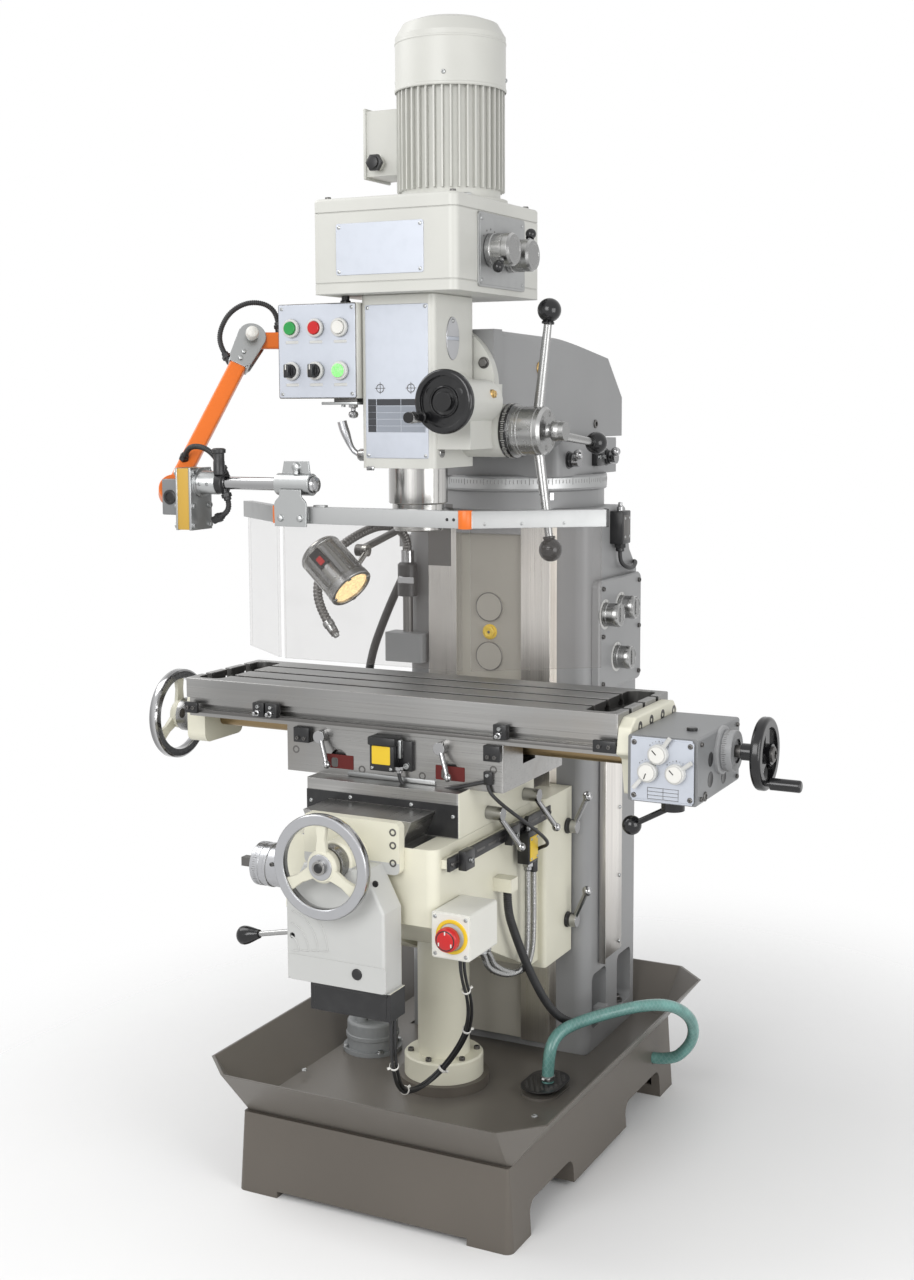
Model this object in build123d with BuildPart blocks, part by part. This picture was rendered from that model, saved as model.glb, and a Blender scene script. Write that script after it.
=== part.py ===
from build123d import *
import os
from math import atan, cos, degrees, pi, radians, sin, tan

# Milling drilling machine, millimetres. Drawn with x = 0 on the machine's centre plane, y = 0 at the
# table's front edge and z = 0 on the floor, with every slide where the photograph shows it.

# Clearances
RUN = 0.05          # radial play of a shaft in its bore
GAP = 0.3           # between sliding faces

# Base
BASE_W = 546
BASE_L = 804
BASE_Y = 320
BASE_H = 146
BASE_WALL = 18
BASE_TOP_T = 18
BASE_DRAFT = 9
BASE_CORNER = 14
FOOT_W = 83
FOOT_L = 82
FOOT_PAD_T = 22
ARCH_L = 190
ARCH_H = 58
ARCH_R = 22
SKIRT_RISE = 12
ANCHOR_R = 9
ANCHOR_IN = 46

# Chip tray
TRAY_T = 3
TRAY_H = 89
TRAY_FLARE = 70
TRAY_CORNER = 58
STRAINER_X = 190
STRAINER_Y = 246
STRAINER_R = 36
STRAINER_L = 110
STRAINER_T = 4
SPIGOT_H = 8

# Pedestal and lift screw
POST_Y = 205
POST_R = 48.5
POST_BORE = 38
POST_FLANGE_R = 74
POST_FLANGE_T = 40
PLINTH_R = 85
PLINTH_T = 22
POST_TOP = 470
LIFT_R = 16
LIFT_SCREW_L = 334
LIFT_GEAR_R = 40
LIFT_GEAR_T = 22

# Coolant pump and valve
PUMP_X = -200
PUMP_Y = 285
PUMP_R = 50
PUMP_H = 62
PUMP_FLANGE_R = 58
VALVE_X = -180
VALVE_Y = 407
VALVE_Z = 907
GOOSE_R = 9

# Column
COLUMN_W = 390
COLUMN_FRONT = 430
COLUMN_L = 254
COLUMN_TOP = 1215
COLUMN_WALL = 20
WAY_W = 260
WAY_ROOT = 224
WAY_T = 30
WAY_BOTTOM = 172
WAY_DROP = 25
PANEL_W = 138
PANEL_IN = 8
POCKET_H = 109
POCKET_L = 75
POCKET_D = 42
COVER_T = 16
COVER_Y0 = 450
COVER_Y1 = 672
COVER_Z0 = 862
COVER_Z1 = 1078
COLUMN_KNOB_R = 22
COLUMN_KNOBS = {"front": (478, 1012), "rear": (560, 1018), "lower": (540, 922)}

# Turret and ram
TURRET_Y = 552
TURRET_R = 170
TURRET_RING_T = 30
TURRET_SPIGOT_R = 60
NECK_R = 165
NECK_H = 32
TURRET_W = 296
TURRET_L = 300
TURRET_H = 68
RAM_W = 204
RAM_H = 200
RAM_FRONT = 215
RAM_REAR = 848
RAM_WALL = 20
RAM_DOVE_TOP = 118
RAM_DOVE_BOTTOM = 154
RAM_DOVE_H = 30
TILT_PIN_R = 30
TILT_PIN_L = 20

# Head, quill and spindle
QUILL_Y = 118
QUILL_R = 52
QUILL_L = 340
QUILL_BELOW = 63
QUILL_CAP_STEP = 6
QUILL_CAP_T = 14
QUILL_TRAVEL = 120
SPINDLE_R = 26
SPLINE_R = 18
NOSE_R = 44
NOSE_L = 34
SOCKET_R = 15.6
SOCKET_L = 96
SOCKET_TAPER = 1.49
DRAWBAR_R = 6.5
RACK_IN = 4
PINION_R = 13.5
HEAD_SIDE = 20
HEAD_FRONT_WALL = 23
HEAD_H = 297
HEAD_DROP = 142
HEAD_FLANGE_R = 112
PINION_DROP = 79
PINION_HOUSING_R = 46
PINION_HOUSING_X = 148
SHAFT_R = 12
FINE_X = 115
FINE_RISE = 51
FINE_HOUSING_R = 38
FINE_Y0 = 24
FINE_WHEEL_R = 54
SPOKE_L = 208
SPOKE_R = 6.5
SPOKE_LEAN = 8
BALL_R = 20
HUB_R = 42
HUB_L = 58
DIAL_R = 47
DIAL_L = 16

# Gearbox, motor and control box
CASE_W = 276
CASE_L = 336
CASE_Y0 = -3
CASE_H = 135
CASE_WALL = 10
LID_T = 25
MOTOR_Y = 250
MOTOR_R = 99
FIN_DEPTH = 10
FIN_T = 3.2
FIN_COUNT = 40
MOTOR_H = 328.4
COWL_H = 122
FLANGE_T = 14
BOX_W = 158
BOX_D = 62
BOX_H = 164
BOX_FRONT = 30
BOX_DROP = 21.6
BUTTON_R = 11
BUTTON_RISE = 122
SELECT_RISE = 48
BUTTON_PITCH = 49

# Knee
KNEE_W = 300
KNEE_FRONT = -110
KNEE_WALL = 18
KNEE_NOSE_Z = 553
KNEE_HEEL_Y = 262
KNEE_HEEL_Z = 375
KNEE_FLANGE_W = 330
KNEE_CLAMP_PIN = 16
KNEE_FLANGE_Y = 300
KNEE_FLANGE_Z = 361
CROSS_WAY_H = 44
CROSS_WAY_ROOT = 170
CROSS_WAY_TOP = 210
CROSS_SCREW_R = 12
CROSS_SCREW_DROP = 16
CROSS_FORWARD = 80
CROSS_BACK = 95
NUT_W = 36
NUT_L = 40
NUT_Y = 130
LIFT_SHAFT_Y = -40
LIFT_SHAFT_Z = 600
LIFT_SHAFT_END = -276
LIFT_COLLAR_R = 38
LIFT_COLLAR_END = -240
ESTOP_W = 71
ESTOP_L = 100
ESTOP_H = 78
ESTOP_Z = 511
ESTOP_R = 20
ESTOP_STEM_R = 11

# Cross feed
BRACKET_W = 184
BRACKET_T = 18
BOSS_R = 34
BOSS_L = 58
UNIT_W = 188
UNIT_Y0 = -185
UNIT_Y1 = -129
UNIT_Z0 = 455
UNIT_SHOULDER = 590
UNIT_NECK = 118
CAN_W = 152
CAN_X = 25
CAN_Z0 = 408
WHEEL_R = 80
WHEEL_TUBE = 8
WHEEL_HUB_R = 26
CROSS_WHEEL_Y = -222

# Saddle and table
TABLE_L = 850
TABLE_W = 240
TABLE_TOP = 916
SLAB_T = 36
SKIRT_T = 36
SKIRT_IN = 12
SADDLE_T = 83
SADDLE_W = 428
SADDLE_CLAMP_PIN = 12
SADDLE_Y0 = 14
SADDLE_Y1 = 268
PLATE_T = 33
PLATE_Y0 = -26
PLATE_Y1 = 285
TABLE_DOVE_H = 23.7
TABLE_DOVE_ROOT = 100
TABLE_DOVE_TOP = 130
SCREW_R = 13
SCREW_DROP = 95
JOURNAL_R = 11
TSLOT_PITCH = 63
TSLOT_W = 14
TSLOT_NECK = 12
TSLOT_HEAD_W = 24
TSLOT_HEAD_H = 11
POCKET_END = 52
POCKET_RIM = 14
POCKET_DEEP = 22
END_T = 22
LEFT_END_T = 40
TABLE_WHEEL_OUT = 65
FEED_L = 117
FEED_Y0 = -10
FEED_Y1 = 204
FEED_DROP = 136
FEED_H = 108
FEED_WALL = 10
FEED_WHEEL_R = 54
FEED_WHEEL_OUT = 72
FEED_WHEEL_Y = 110
FEED_WHEEL_RISE = 70
FEED_HANDLE_L = 68
FEED_KNOB_R = 16
FEED_KNOBS_IN = {"upper": (54, 81), "left": (37, 51), "right": (83, 52)}
FEED_LEVER_IN = 66
FEED_LEVER_Y = 20
FEED_BALL_Y = 14
FEED_BALL_DROP = 47

# Guard and lamp
GUARD_DROP = 216.6
GUARD_BAR_RISE = 51
GUARD_Y = -90
GUARD_RAIL_H = 28
GUARD_RAIL_T = 16
GUARD_PANE_T = 5
GUARD_PANE_H = 232
GUARD_LEFT = (-156, GUARD_Y)
GUARD_RIGHT = (197, GUARD_Y)
GUARD_LEFT_END = (-293, 18)
GUARD_RIGHT_END = (385, 46)
GUARD_BAR_R = 11
GUARD_BAR_L = 214
GUARD_CLAMP_X0 = -154
GUARD_CLAMP_L = 64
ARM_T = 30
ELBOW_AT = (-335, 100)
ELBOW_RISE = 84.4
WRIST_X = -376
WRIST_DROP = 12
LAMP_R = 40
LAMP_L = 100
LAMP_AT = (-140, 62, 1122)
LAMP_AIM = (0.76, -0.13, -0.64)
LAMP_PIVOT = (-108, 111, 1153)
LAMP_PIN_R = 4

# Cords
HOSE_R = 11.5
HOSE_END_Y = 612
HOSE_END_Z = 92
HOSE_ROUTE = [
    (STRAINER_X + 5, STRAINER_Y, BASE_H + TRAY_T + STRAINER_T + SPIGOT_H + 0.2),
    (STRAINER_X + 5, STRAINER_Y, 218),
    (202, 272, 252), (228, 318, 262), (268, 372, 268), (312, 424, 272), (350, 478, 262), (370, 532, 226),
    (366, 578, 178), (346, 606, 132), (306, HOSE_END_Y, HOSE_END_Z), (252, HOSE_END_Y, HOSE_END_Z),
]
LOOM_R = 7
LOOM_ROUTE = [
    (88, -150, CAN_Z0 - 0.2), (88, -150, 372), (80, -134, 330), (64, -98, 284), (44, -50, 242),
    (30, 2, 208),
    (34, 52, 198), (56, 82, 220), (88, 80, 262), (118, 62, 308), (140, 34, 352), (154, 2, 398),
    (162, -32, 438), (168, -54, 476), (168, -54, ESTOP_Z - 0.2),
]
RIB_ROOT = 0.82
RIB_BORE = 0.7
CONDUIT_R = 8
CONDUIT_PITCH = 4.2
RISER_R = 9
RISER_PITCH = 4.2
RISER_X = -206
RISER_TOP = 1130
RISER_FOOT = 544
RISER_ROUTE = [
    (RISER_X, 460, RISER_TOP - 0.2), (RISER_X, 460, 1092), (-232, 460, 1046), (-264, 460, 980),
    (-296, 462, 905), (-312, 468, 826), (-302, 478, 748),
    (-268, 488, 682), (-230, 494, 634), (RISER_X, 496, 584),
    (RISER_X, 496, RISER_FOOT + 0.2),
]
LOOP_R = 5
LOOP_PITCH = 3.6
CONDUIT_GLAND_Z = 560
CONDUIT_END_Y = 470
CONDUIT_ROUTE = [
    (172, 120, CONDUIT_GLAND_Z - 0.2), (172, 120, 524), (176, 142, 476), (180, 174, 420), (184, 216, 360),
    (186, 264, 306), (188, 316, 264), (194, 368, 236), (206, 420, 222), (206, CONDUIT_END_Y - 0.2, 222),
]

# Heights and places that follow
SADDLE_TOP = TABLE_TOP - SLAB_T - SKIRT_T
PLATE_TOP = SADDLE_TOP - SADDLE_T
CROSS_WAY_Z = PLATE_TOP - PLATE_T
KNEE_TOP = CROSS_WAY_Z - CROSS_WAY_H
CROSS_Z = KNEE_TOP - CROSS_SCREW_DROP
SCREW_Y = TABLE_W / 2
SCREW_Z = TABLE_TOP - SCREW_DROP
TRAY_TOP = BASE_H + TRAY_H
WAY_FRONT = COLUMN_FRONT - WAY_T
COLUMN_BACK = COLUMN_FRONT + COLUMN_L
NECK_TOP = COLUMN_TOP + NECK_H
RING_TOP = NECK_TOP + GAP + TURRET_RING_T
TURRET_TOP = RING_TOP + TURRET_H
RAM_BOTTOM = TURRET_TOP + GAP
RAM_TOP = RAM_BOTTOM + RAM_H
TILT_Z = RAM_BOTTOM + RAM_H / 2
HEAD_Z0 = TILT_Z - HEAD_DROP
HEAD_Z1 = HEAD_Z0 + HEAD_H
HEAD_W = 2 * (QUILL_R + HEAD_SIDE)
HEAD_Y0 = QUILL_Y - QUILL_R - HEAD_FRONT_WALL
HEAD_Y1 = RAM_FRONT - GAP
PINION_Y = QUILL_Y + QUILL_R - RACK_IN + PINION_R
PINION_Z = TILT_Z - PINION_DROP
FINE_Z = PINION_Z + FINE_RISE
CASE_Z0 = HEAD_Z1
CASE_TOP = CASE_Z0 + CASE_H
LID_TOP = CASE_TOP + LID_T
TABLE_END = TABLE_L / 2
FEED_X0 = TABLE_END + END_T
feed_x1 = FEED_X0 + FEED_L
FEED_Z0 = TABLE_TOP - FEED_DROP
FEED_WHEEL_X = feed_x1 + FEED_WHEEL_OUT
FEED_WHEEL_Z = FEED_Z0 + FEED_WHEEL_RISE
FEED_KNOBS = {place: (FEED_X0 + x, FEED_Z0 + z) for place, (x, z) in FEED_KNOBS_IN.items()}
FEED_LEVER_X = FEED_X0 + FEED_LEVER_IN
FEED_BALL = (FEED_X0 - 2, FEED_BALL_Y, FEED_Z0 - FEED_BALL_DROP)
TABLE_WHEEL_X = -TABLE_END - LEFT_END_T - TABLE_WHEEL_OUT
WAY_TOP = COLUMN_TOP - WAY_DROP
MOTOR_TOP = LID_TOP + MOTOR_H
BOX_Z = TILT_Z - BOX_DROP
GUARD_Z = TILT_Z - GUARD_DROP
GUARD_BAR_Z = GUARD_Z + GUARD_BAR_RISE
ELBOW = (*ELBOW_AT, TILT_Z + ELBOW_RISE)
WRIST = (WRIST_X, GUARD_Y, GUARD_BAR_Z - WRIST_DROP)
DATUM_X = (FEED_WHEEL_X + FEED_HANDLE_L + TABLE_WHEEL_X - 2 * WHEEL_TUBE) / 2
DATUM_Y = (CROSS_WHEEL_Y - 14 + RAM_REAR) / 2


def block(x0, x1, y0, y1, z0, z1, mode=Mode.ADD):
    """A box between two corners."""
    with Locations(((x0 + x1) / 2, (y0 + y1) / 2, (z0 + z1) / 2)):
        Box(x1 - x0, y1 - y0, z1 - z0, mode=mode)


def rod(start, direction, radius, length, mode=Mode.ADD):
    """A round bar from a point along a direction."""
    with Locations(Plane(origin=start, z_dir=direction)):
        Cylinder(radius, length, align=(Align.CENTER, Align.CENTER, Align.MIN), mode=mode)


def rod_between(start, end, radius, mode=Mode.ADD):
    """A round bar between two points."""
    run = Vector(*end) - Vector(*start)
    rod(start, run, radius, run.length, mode)


def ball(centre, radius):
    """A ball at a point."""
    with Locations(centre):
        Sphere(radius)


def prism(plane, points, depth, mode=Mode.ADD):
    """A closed outline on a plane, drawn out along the plane's normal."""
    with BuildSketch(plane) as outline:
        with BuildLine():
            Polyline(*points, close=True)
        make_face()
    extrude(outline.sketch, amount=depth, mode=mode)


def prism_x(points, x0, x1, mode=Mode.ADD):
    """An outline in y and z, from x0 to x1."""
    prism(Plane.YZ.offset(x0), points, x1 - x0, mode)


def prism_y(points, y0, y1, mode=Mode.ADD):
    """An outline in x and z, from y0 to y1."""
    prism(Plane.XZ.offset(-y1), points, y1 - y0, mode)


def prism_z(points, z0, z1, mode=Mode.ADD):
    """An outline in x and y, from z0 to z1."""
    prism(Plane.XY.offset(z0), points, z1 - z0, mode)


def way_half(y):
    """Half the width of the column's dovetail at a depth."""
    return WAY_W / 2 - (y - WAY_FRONT) * (WAY_W - WAY_ROOT) / 2 / WAY_T


def ram_half(z):
    """Half the width of the ram's dovetail at a height."""
    return RAM_DOVE_TOP / 2 + (TURRET_TOP - z) * (RAM_DOVE_BOTTOM - RAM_DOVE_TOP) / 2 / RAM_DOVE_H


def save(part, label):
    """Move a piece into the shared frame, name it and write it."""
    placed = part.moved(Location((-DATUM_X, -DATUM_Y, 0)))
    placed.label = label
    export_step(placed, f"parts/{label}.step")


def group(*parts):
    """Pieces that stay separate solids in one file."""
    return Compound(children=[solid for part in parts for solid in part.solids()])


def handwheel(plane, rim_r, tube_r, hub_r, hub_l, bore_r, spokes, spoke_w):
    """A wheel with a round rim, flat spokes and a bored hub, its axis along the plane's normal."""
    with BuildPart(plane) as wheel:
        Torus(rim_r, tube_r)
        Cylinder(hub_r, hub_l)
        with PolarLocations((rim_r + hub_r) / 2, spokes):
            Box(rim_r - hub_r + tube_r, spoke_w, tube_r)
        Cylinder(bore_r, hub_l * 2, mode=Mode.SUBTRACT)
    return wheel.part


def clamp_lever(pivot, axis, hub_r, hub_l, pin_r, pin_l, tip, arm_r, tip_r):
    """A clamping lever: a pin in its bore, a hub on the axis and a slim arm to a rounded tip."""
    out = Vector(*axis)
    root = Vector(*pivot) + out * (hub_l * 0.6)
    with BuildPart() as lever:
        rod(pivot, axis, hub_r, hub_l)
        rod(Vector(*pivot) - out * pin_l, axis, pin_r, pin_l + 1)
        rod_between(tuple(root), tip, arm_r)
        ball(tip, tip_r)
    return lever.part


def bored(pivot, axis, pin_r, depth):
    """The bore that a lever's or knob's pin turns in."""
    out = Vector(*axis)
    rod(Vector(*pivot) - out * depth, axis, pin_r + RUN, depth + 1, Mode.SUBTRACT)


def knob(pivot, axis, up, radius, length, pin_r, pin_l, grip_w, grip_l):
    """A round knob with a raised grip bar across its face and a pin into its bore."""
    with BuildPart(Plane(origin=pivot, z_dir=axis, x_dir=up)) as piece:
        with Locations((0, 0, length / 2 + GAP)):
            Cylinder(radius, length)
        chamfer(piece.edges().sort_by(Axis(pivot, axis))[-1], length * 0.12)
        if grip_l:
            with Locations((grip_l * 0.12, 0, length + GAP + grip_w / 3)):
                Box(grip_l, grip_w, grip_w)
        with Locations((0, 0, (length - pin_l) / 2)):
            Cylinder(pin_r, pin_l + length * 0.5)
    return piece.part


def bend_radii(points):
    """The bend at each corner of a route that leaves a short straight run beside it."""
    corners = [Vector(*point) for point in points]
    bends = []
    for before, here, after in zip(corners, corners[1:], corners[2:]):
        into, out = here - before, after - here
        turn = radians(into.get_angle(out))
        bends.append(0.45 * min(into.length, out.length) / tan(turn / 2))
    return bends


def cord(points, radius, name):
    """A round cord of straight runs and tangent arcs."""
    bends = bend_radii(points)
    with BuildPart() as tube:
        with BuildLine() as path:
            FilletPolyline(*points, radius=bends)
        with BuildSketch(Plane(origin=path.line @ 0, z_dir=path.line % 0)):
            Circle(radius)
        sweep()
    share = tube.part.volume / (pi * radius ** 2 * path.wires()[0].length)
    print(name, "bend radii", [round(bend) for bend in bends], "volume share", round(share, 3))
    return tube.part


def ribbed(points, crest_r, pitch, steady, name):
    """A ribbed hose of ruled rings round a bore, on straight runs and tangent arcs."""
    root_r = RIB_ROOT * crest_r
    with BuildPart() as hose:
        with BuildLine() as path:
            FilletPolyline(*points, radius=bend_radii(points))
        line = path.wires()[0]
        ribs = round(line.length / pitch)
        rings = [
            ((rib + share) / ribs, radius) for rib in range(ribs)
            for share, radius in ((0, root_r), (0.3, root_r), (0.45, crest_r), (0.85, crest_r))
        ]
        for share, radius in [*rings, (1, root_r)]:
            spot = line.position_at(share * line.length, position_mode=PositionMode.LENGTH)
            way = line.tangent_at(share * line.length, position_mode=PositionMode.LENGTH)
            with BuildSketch(Plane(origin=spot, x_dir=steady, z_dir=way)):
                Circle(radius)
        loft(ruled=True)
        with BuildSketch(Plane(origin=line @ 0, z_dir=line % 0)):
            Circle(RIB_BORE * crest_r)
        sweep(mode=Mode.SUBTRACT)
    print(name, ribs, "ribs, volume", round(hose.part.volume), "valid", hose.part.is_valid)
    return hose.part


os.makedirs("parts", exist_ok=True)

# Base casting: a drafted hollow box on four corner feet, with fork arches through both sides
base_taper = degrees(atan(BASE_DRAFT / BASE_H))
base_y0 = BASE_Y - BASE_L / 2
base_y1 = BASE_Y + BASE_L / 2
mid_y0 = base_y0 + FOOT_L + ARCH_L
mid_y1 = base_y1 - FOOT_L - ARCH_L
with BuildPart() as base_casting:
    with BuildSketch(Plane.XY):
        with Locations((0, BASE_Y)):
            RectangleRounded(BASE_W, BASE_L, BASE_CORNER)
    extrude(amount=BASE_H, taper=base_taper)
    with BuildSketch(Plane.XY):
        with Locations((0, BASE_Y)):
            Rectangle(BASE_W - 2 * BASE_WALL, BASE_L - 2 * BASE_WALL)
    extrude(amount=BASE_H - BASE_TOP_T, taper=base_taper, mode=Mode.SUBTRACT)
    for side in (-1, 1):
        x_in = side * (BASE_W / 2 - FOOT_W)
        x_out = side * (BASE_W / 2 - BASE_WALL / 2)
        for y_in, y_out in (
            (base_y0 + FOOT_L, base_y0 + BASE_WALL / 2),
            (base_y1 - FOOT_L, base_y1 - BASE_WALL / 2),
        ):
            block(*sorted((x_in, x_out)), *sorted((y_in, y_out)), 0, FOOT_PAD_T)
    for rib_y in (mid_y0, mid_y1 - BASE_WALL):
        block(
            BASE_WALL / 2 - BASE_W / 2, BASE_W / 2 - BASE_WALL / 2, rib_y, rib_y + BASE_WALL,
            0, BASE_H - BASE_TOP_T / 2,
        )
    with BuildSketch(Plane.YZ.offset(-BASE_W)):
        with Locations((base_y0 + FOOT_L + ARCH_L / 2, 0), (base_y1 - FOOT_L - ARCH_L / 2, 0)):
            RectangleRounded(ARCH_L, 2 * ARCH_H, ARCH_R)
        with Locations(((mid_y0 + mid_y1) / 2, 0)):
            Rectangle(mid_y1 - mid_y0 + 1, 2 * SKIRT_RISE)
    extrude(amount=2 * BASE_W, mode=Mode.SUBTRACT)
    block(
        FOOT_W - BASE_W / 2, BASE_W / 2 - FOOT_W, base_y0 - 5, base_y1 + 5,
        -SKIRT_RISE, SKIRT_RISE, Mode.SUBTRACT,
    )
    with Locations(*[
        (side * (BASE_W / 2 - ANCHOR_IN), end, 0)
        for side in (-1, 1) for end in (base_y0 + ANCHOR_IN, base_y1 - ANCHOR_IN)
    ]):
        Cylinder(ANCHOR_R, 3 * FOOT_PAD_T, mode=Mode.SUBTRACT)
    rod((0, POST_Y, BASE_H - 40), (0, 0, 1), POST_BORE, 60, Mode.SUBTRACT)
    rod((STRAINER_X, STRAINER_Y, BASE_H - 40), (0, 0, 1), STRAINER_R - 6, 60, Mode.SUBTRACT)
    rod((BASE_W / 2 - 40, HOSE_END_Y, HOSE_END_Z), (1, 0, 0), HOSE_R + GAP, 60, Mode.SUBTRACT)
save(base_casting.part, "base_casting")


def tray_outline(z, inset):
    """The tray's eight-sided outline at a height."""
    rise = (z - BASE_H) / TRAY_H
    half = BASE_W / 2 - BASE_DRAFT + TRAY_FLARE * rise - inset
    front = base_y0 + 2 * BASE_DRAFT - TRAY_FLARE * rise + inset
    back = base_y1 - 2 * BASE_DRAFT + TRAY_FLARE * rise - inset
    cut = 6 + TRAY_CORNER * rise
    return [
        (half - cut, front), (half, front + cut), (half, back - cut), (half - cut, back),
        (cut - half, back), (-half, back - cut), (-half, front + cut), (cut - half, front),
    ]


# Chip tray: folded sheet with flared walls, cut out round the column, pedestal and strainer
with BuildPart() as chip_tray:
    for level, inset, how in ((BASE_H, 0, Mode.ADD), (BASE_H + TRAY_T, 1.25 * TRAY_T, Mode.SUBTRACT)):
        for height in (level, TRAY_TOP + (0 if how == Mode.ADD else 10)):
            with BuildSketch(Plane.XY.offset(height)):
                with BuildLine():
                    Polyline(*tray_outline(height, inset), close=True)
                make_face()
        loft(ruled=True, mode=how)
    block(
        -COLUMN_W / 2, COLUMN_W / 2, COLUMN_FRONT, COLUMN_BACK, BASE_H - 5, TRAY_TOP, Mode.SUBTRACT,
    )
    rod((0, POST_Y, BASE_H - 5), (0, 0, 1), PLINTH_R, 40, Mode.SUBTRACT)
    rod((STRAINER_X, STRAINER_Y, BASE_H - 5), (0, 0, 1), STRAINER_R - 6, 40, Mode.SUBTRACT)
    with BuildSketch(Plane.XY.offset(BASE_H + TRAY_T)):
        with Locations((STRAINER_X, STRAINER_Y)):
            SlotOverall(STRAINER_L, 2 * STRAINER_R, rotation=90)
    extrude(amount=STRAINER_T)
    rod((STRAINER_X + 5, STRAINER_Y, BASE_H + TRAY_T), (0, 0, 1), HOSE_R + 3, STRAINER_T + SPIGOT_H)
    for side in (-1, 1):
        for slot_x in (-10, 0, 10):
            block(
                STRAINER_X + slot_x - 2, STRAINER_X + slot_x + 2,
                *sorted((STRAINER_Y + side * 17, STRAINER_Y + side * 27)), BASE_H, BASE_H + 20,
                Mode.SUBTRACT,
            )
save(chip_tray.part, "chip_tray")

# Column: hollow box with dovetail ways in front, pockets at the foot and a round neck on top
lamp_root = (-160, COLUMN_FRONT, WAY_TOP)
cover_x = COLUMN_W / 2 + COVER_T
with BuildPart() as column_body:
    prism_x(
        [
            (COLUMN_FRONT, BASE_H), (COLUMN_FRONT, COLUMN_TOP), (COLUMN_FRONT + 188, COLUMN_TOP),
            (COLUMN_FRONT + 214, COLUMN_TOP - 90), (COLUMN_BACK, COLUMN_TOP - 132), (COLUMN_BACK, BASE_H),
        ],
        -COLUMN_W / 2, COLUMN_W / 2,
    )
    fillet(column_body.edges().filter_by(Axis.Z).sort_by(Axis.Y)[:2], 26)
    fillet(column_body.faces().sort_by(Axis.Z)[-1].edges(), 10)
    prism_z(
        [
            (-way_half(WAY_FRONT), WAY_FRONT), (way_half(WAY_FRONT), WAY_FRONT),
            (way_half(COLUMN_FRONT + 1), COLUMN_FRONT + 1), (-way_half(COLUMN_FRONT + 1), COLUMN_FRONT + 1),
        ],
        WAY_BOTTOM, WAY_TOP,
    )
    block(
        -PANEL_W / 2, PANEL_W / 2, WAY_FRONT - 1, WAY_FRONT + PANEL_IN, WAY_BOTTOM - 1, WAY_TOP - 24,
        Mode.SUBTRACT,
    )
    for disc_z in (1024, 928):
        rod((0, WAY_FRONT + PANEL_IN + 1, disc_z), (0, -1, 0), 28, PANEL_IN - 2)
    with Locations((0, TURRET_Y, COLUMN_TOP - 22)):
        Cone(NECK_R - 46, NECK_R, 40)
    rod((0, TURRET_Y, COLUMN_TOP - 2.1), (0, 0, 1), NECK_R, NECK_TOP - COLUMN_TOP + 2.1)
    block(
        COLUMN_WALL - COLUMN_W / 2, COLUMN_W / 2 - COLUMN_WALL,
        COLUMN_FRONT + COLUMN_WALL, COLUMN_BACK - COLUMN_WALL,
        BASE_H + POCKET_H + 80, COLUMN_TOP - 150, Mode.SUBTRACT,
    )
    block(
        55 + COLUMN_WALL - COLUMN_W / 2, COLUMN_W / 2 - COLUMN_WALL - 55,
        COLUMN_FRONT + COLUMN_WALL, COLUMN_BACK - COLUMN_WALL,
        BASE_H + 20, BASE_H + POCKET_H + 81, Mode.SUBTRACT,
    )
    rod((0, TURRET_Y, NECK_TOP - 24), (0, 0, 1), TURRET_SPIGOT_R + RUN, 40, Mode.SUBTRACT)
    for side in (-1, 1):
        for pocket_y in (COLUMN_FRONT + 29, COLUMN_FRONT + 162):
            with BuildSketch(Plane.YZ.offset(side * COLUMN_W / 2)):
                with Locations((pocket_y + POCKET_L / 2, BASE_H + 46 + POCKET_H / 2)):
                    RectangleRounded(POCKET_L, POCKET_H, 14)
            extrude(amount=-side * POCKET_D, mode=Mode.SUBTRACT)
            rod(
                (side * (COLUMN_W / 2 - POCKET_D / 2), pocket_y + POCKET_L / 2, BASE_H - 1),
                (0, 0, 1), 9, 60, Mode.SUBTRACT,
            )
    with BuildSketch(Plane.YZ.offset(COLUMN_W / 2 - 1)):
        with Locations((COLUMN_FRONT + 115, 540)):
            RectangleRounded(110, 440, 8)
    extrude(amount=5)
    block(COLUMN_W / 2 - 1, COLUMN_W / 2 + 22, CONDUIT_END_Y, CONDUIT_END_Y + 24, 208, 236)
    for gland_y, gland_z in ((RISER_ROUTE[0][1], RISER_TOP), (RISER_ROUTE[-1][1], RISER_FOOT - 24)):
        block(RISER_X - 14, 1 - COLUMN_W / 2, gland_y - 13, gland_y + 13, gland_z, gland_z + 24)
    for knob_y, knob_z in COLUMN_KNOBS.values():
        bored((cover_x, knob_y, knob_z), (1, 0, 0), 8, 40)
with BuildPart() as gear_cover:
    with BuildSketch(Plane.YZ.offset(COLUMN_W / 2)):
        with Locations(((COVER_Y0 + COVER_Y1) / 2, (COVER_Z0 + COVER_Z1) / 2)):
            RectangleRounded(COVER_Y1 - COVER_Y0, COVER_Z1 - COVER_Z0, 14)
    extrude(amount=COVER_T)
    chamfer(gear_cover.faces().sort_by(Axis.X)[-1].edges(), 3)
    for knob_y, knob_z in COLUMN_KNOBS.values():
        bored((cover_x, knob_y, knob_z), (1, 0, 0), 8, 40)
with BuildPart() as lamp_arm:
    rod((lamp_root[0], lamp_root[1], lamp_root[2]), (0, -1, 0), 16, 6)
    lamp_end = (LAMP_PIVOT[0] - 8, LAMP_PIVOT[1], LAMP_PIVOT[2])
    rod_between((lamp_root[0], lamp_root[1] - 3, lamp_root[2]), lamp_end, 7)
    rod((LAMP_PIVOT[0] - 14, LAMP_PIVOT[1], LAMP_PIVOT[2]), (1, 0, 0), 11, 14)
    rod((LAMP_PIVOT[0] - 2, LAMP_PIVOT[1], LAMP_PIVOT[2]), (1, 0, 0), LAMP_PIN_R, 14)
save(group(column_body.part, gear_cover.part, lamp_arm.part), "column")

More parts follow.
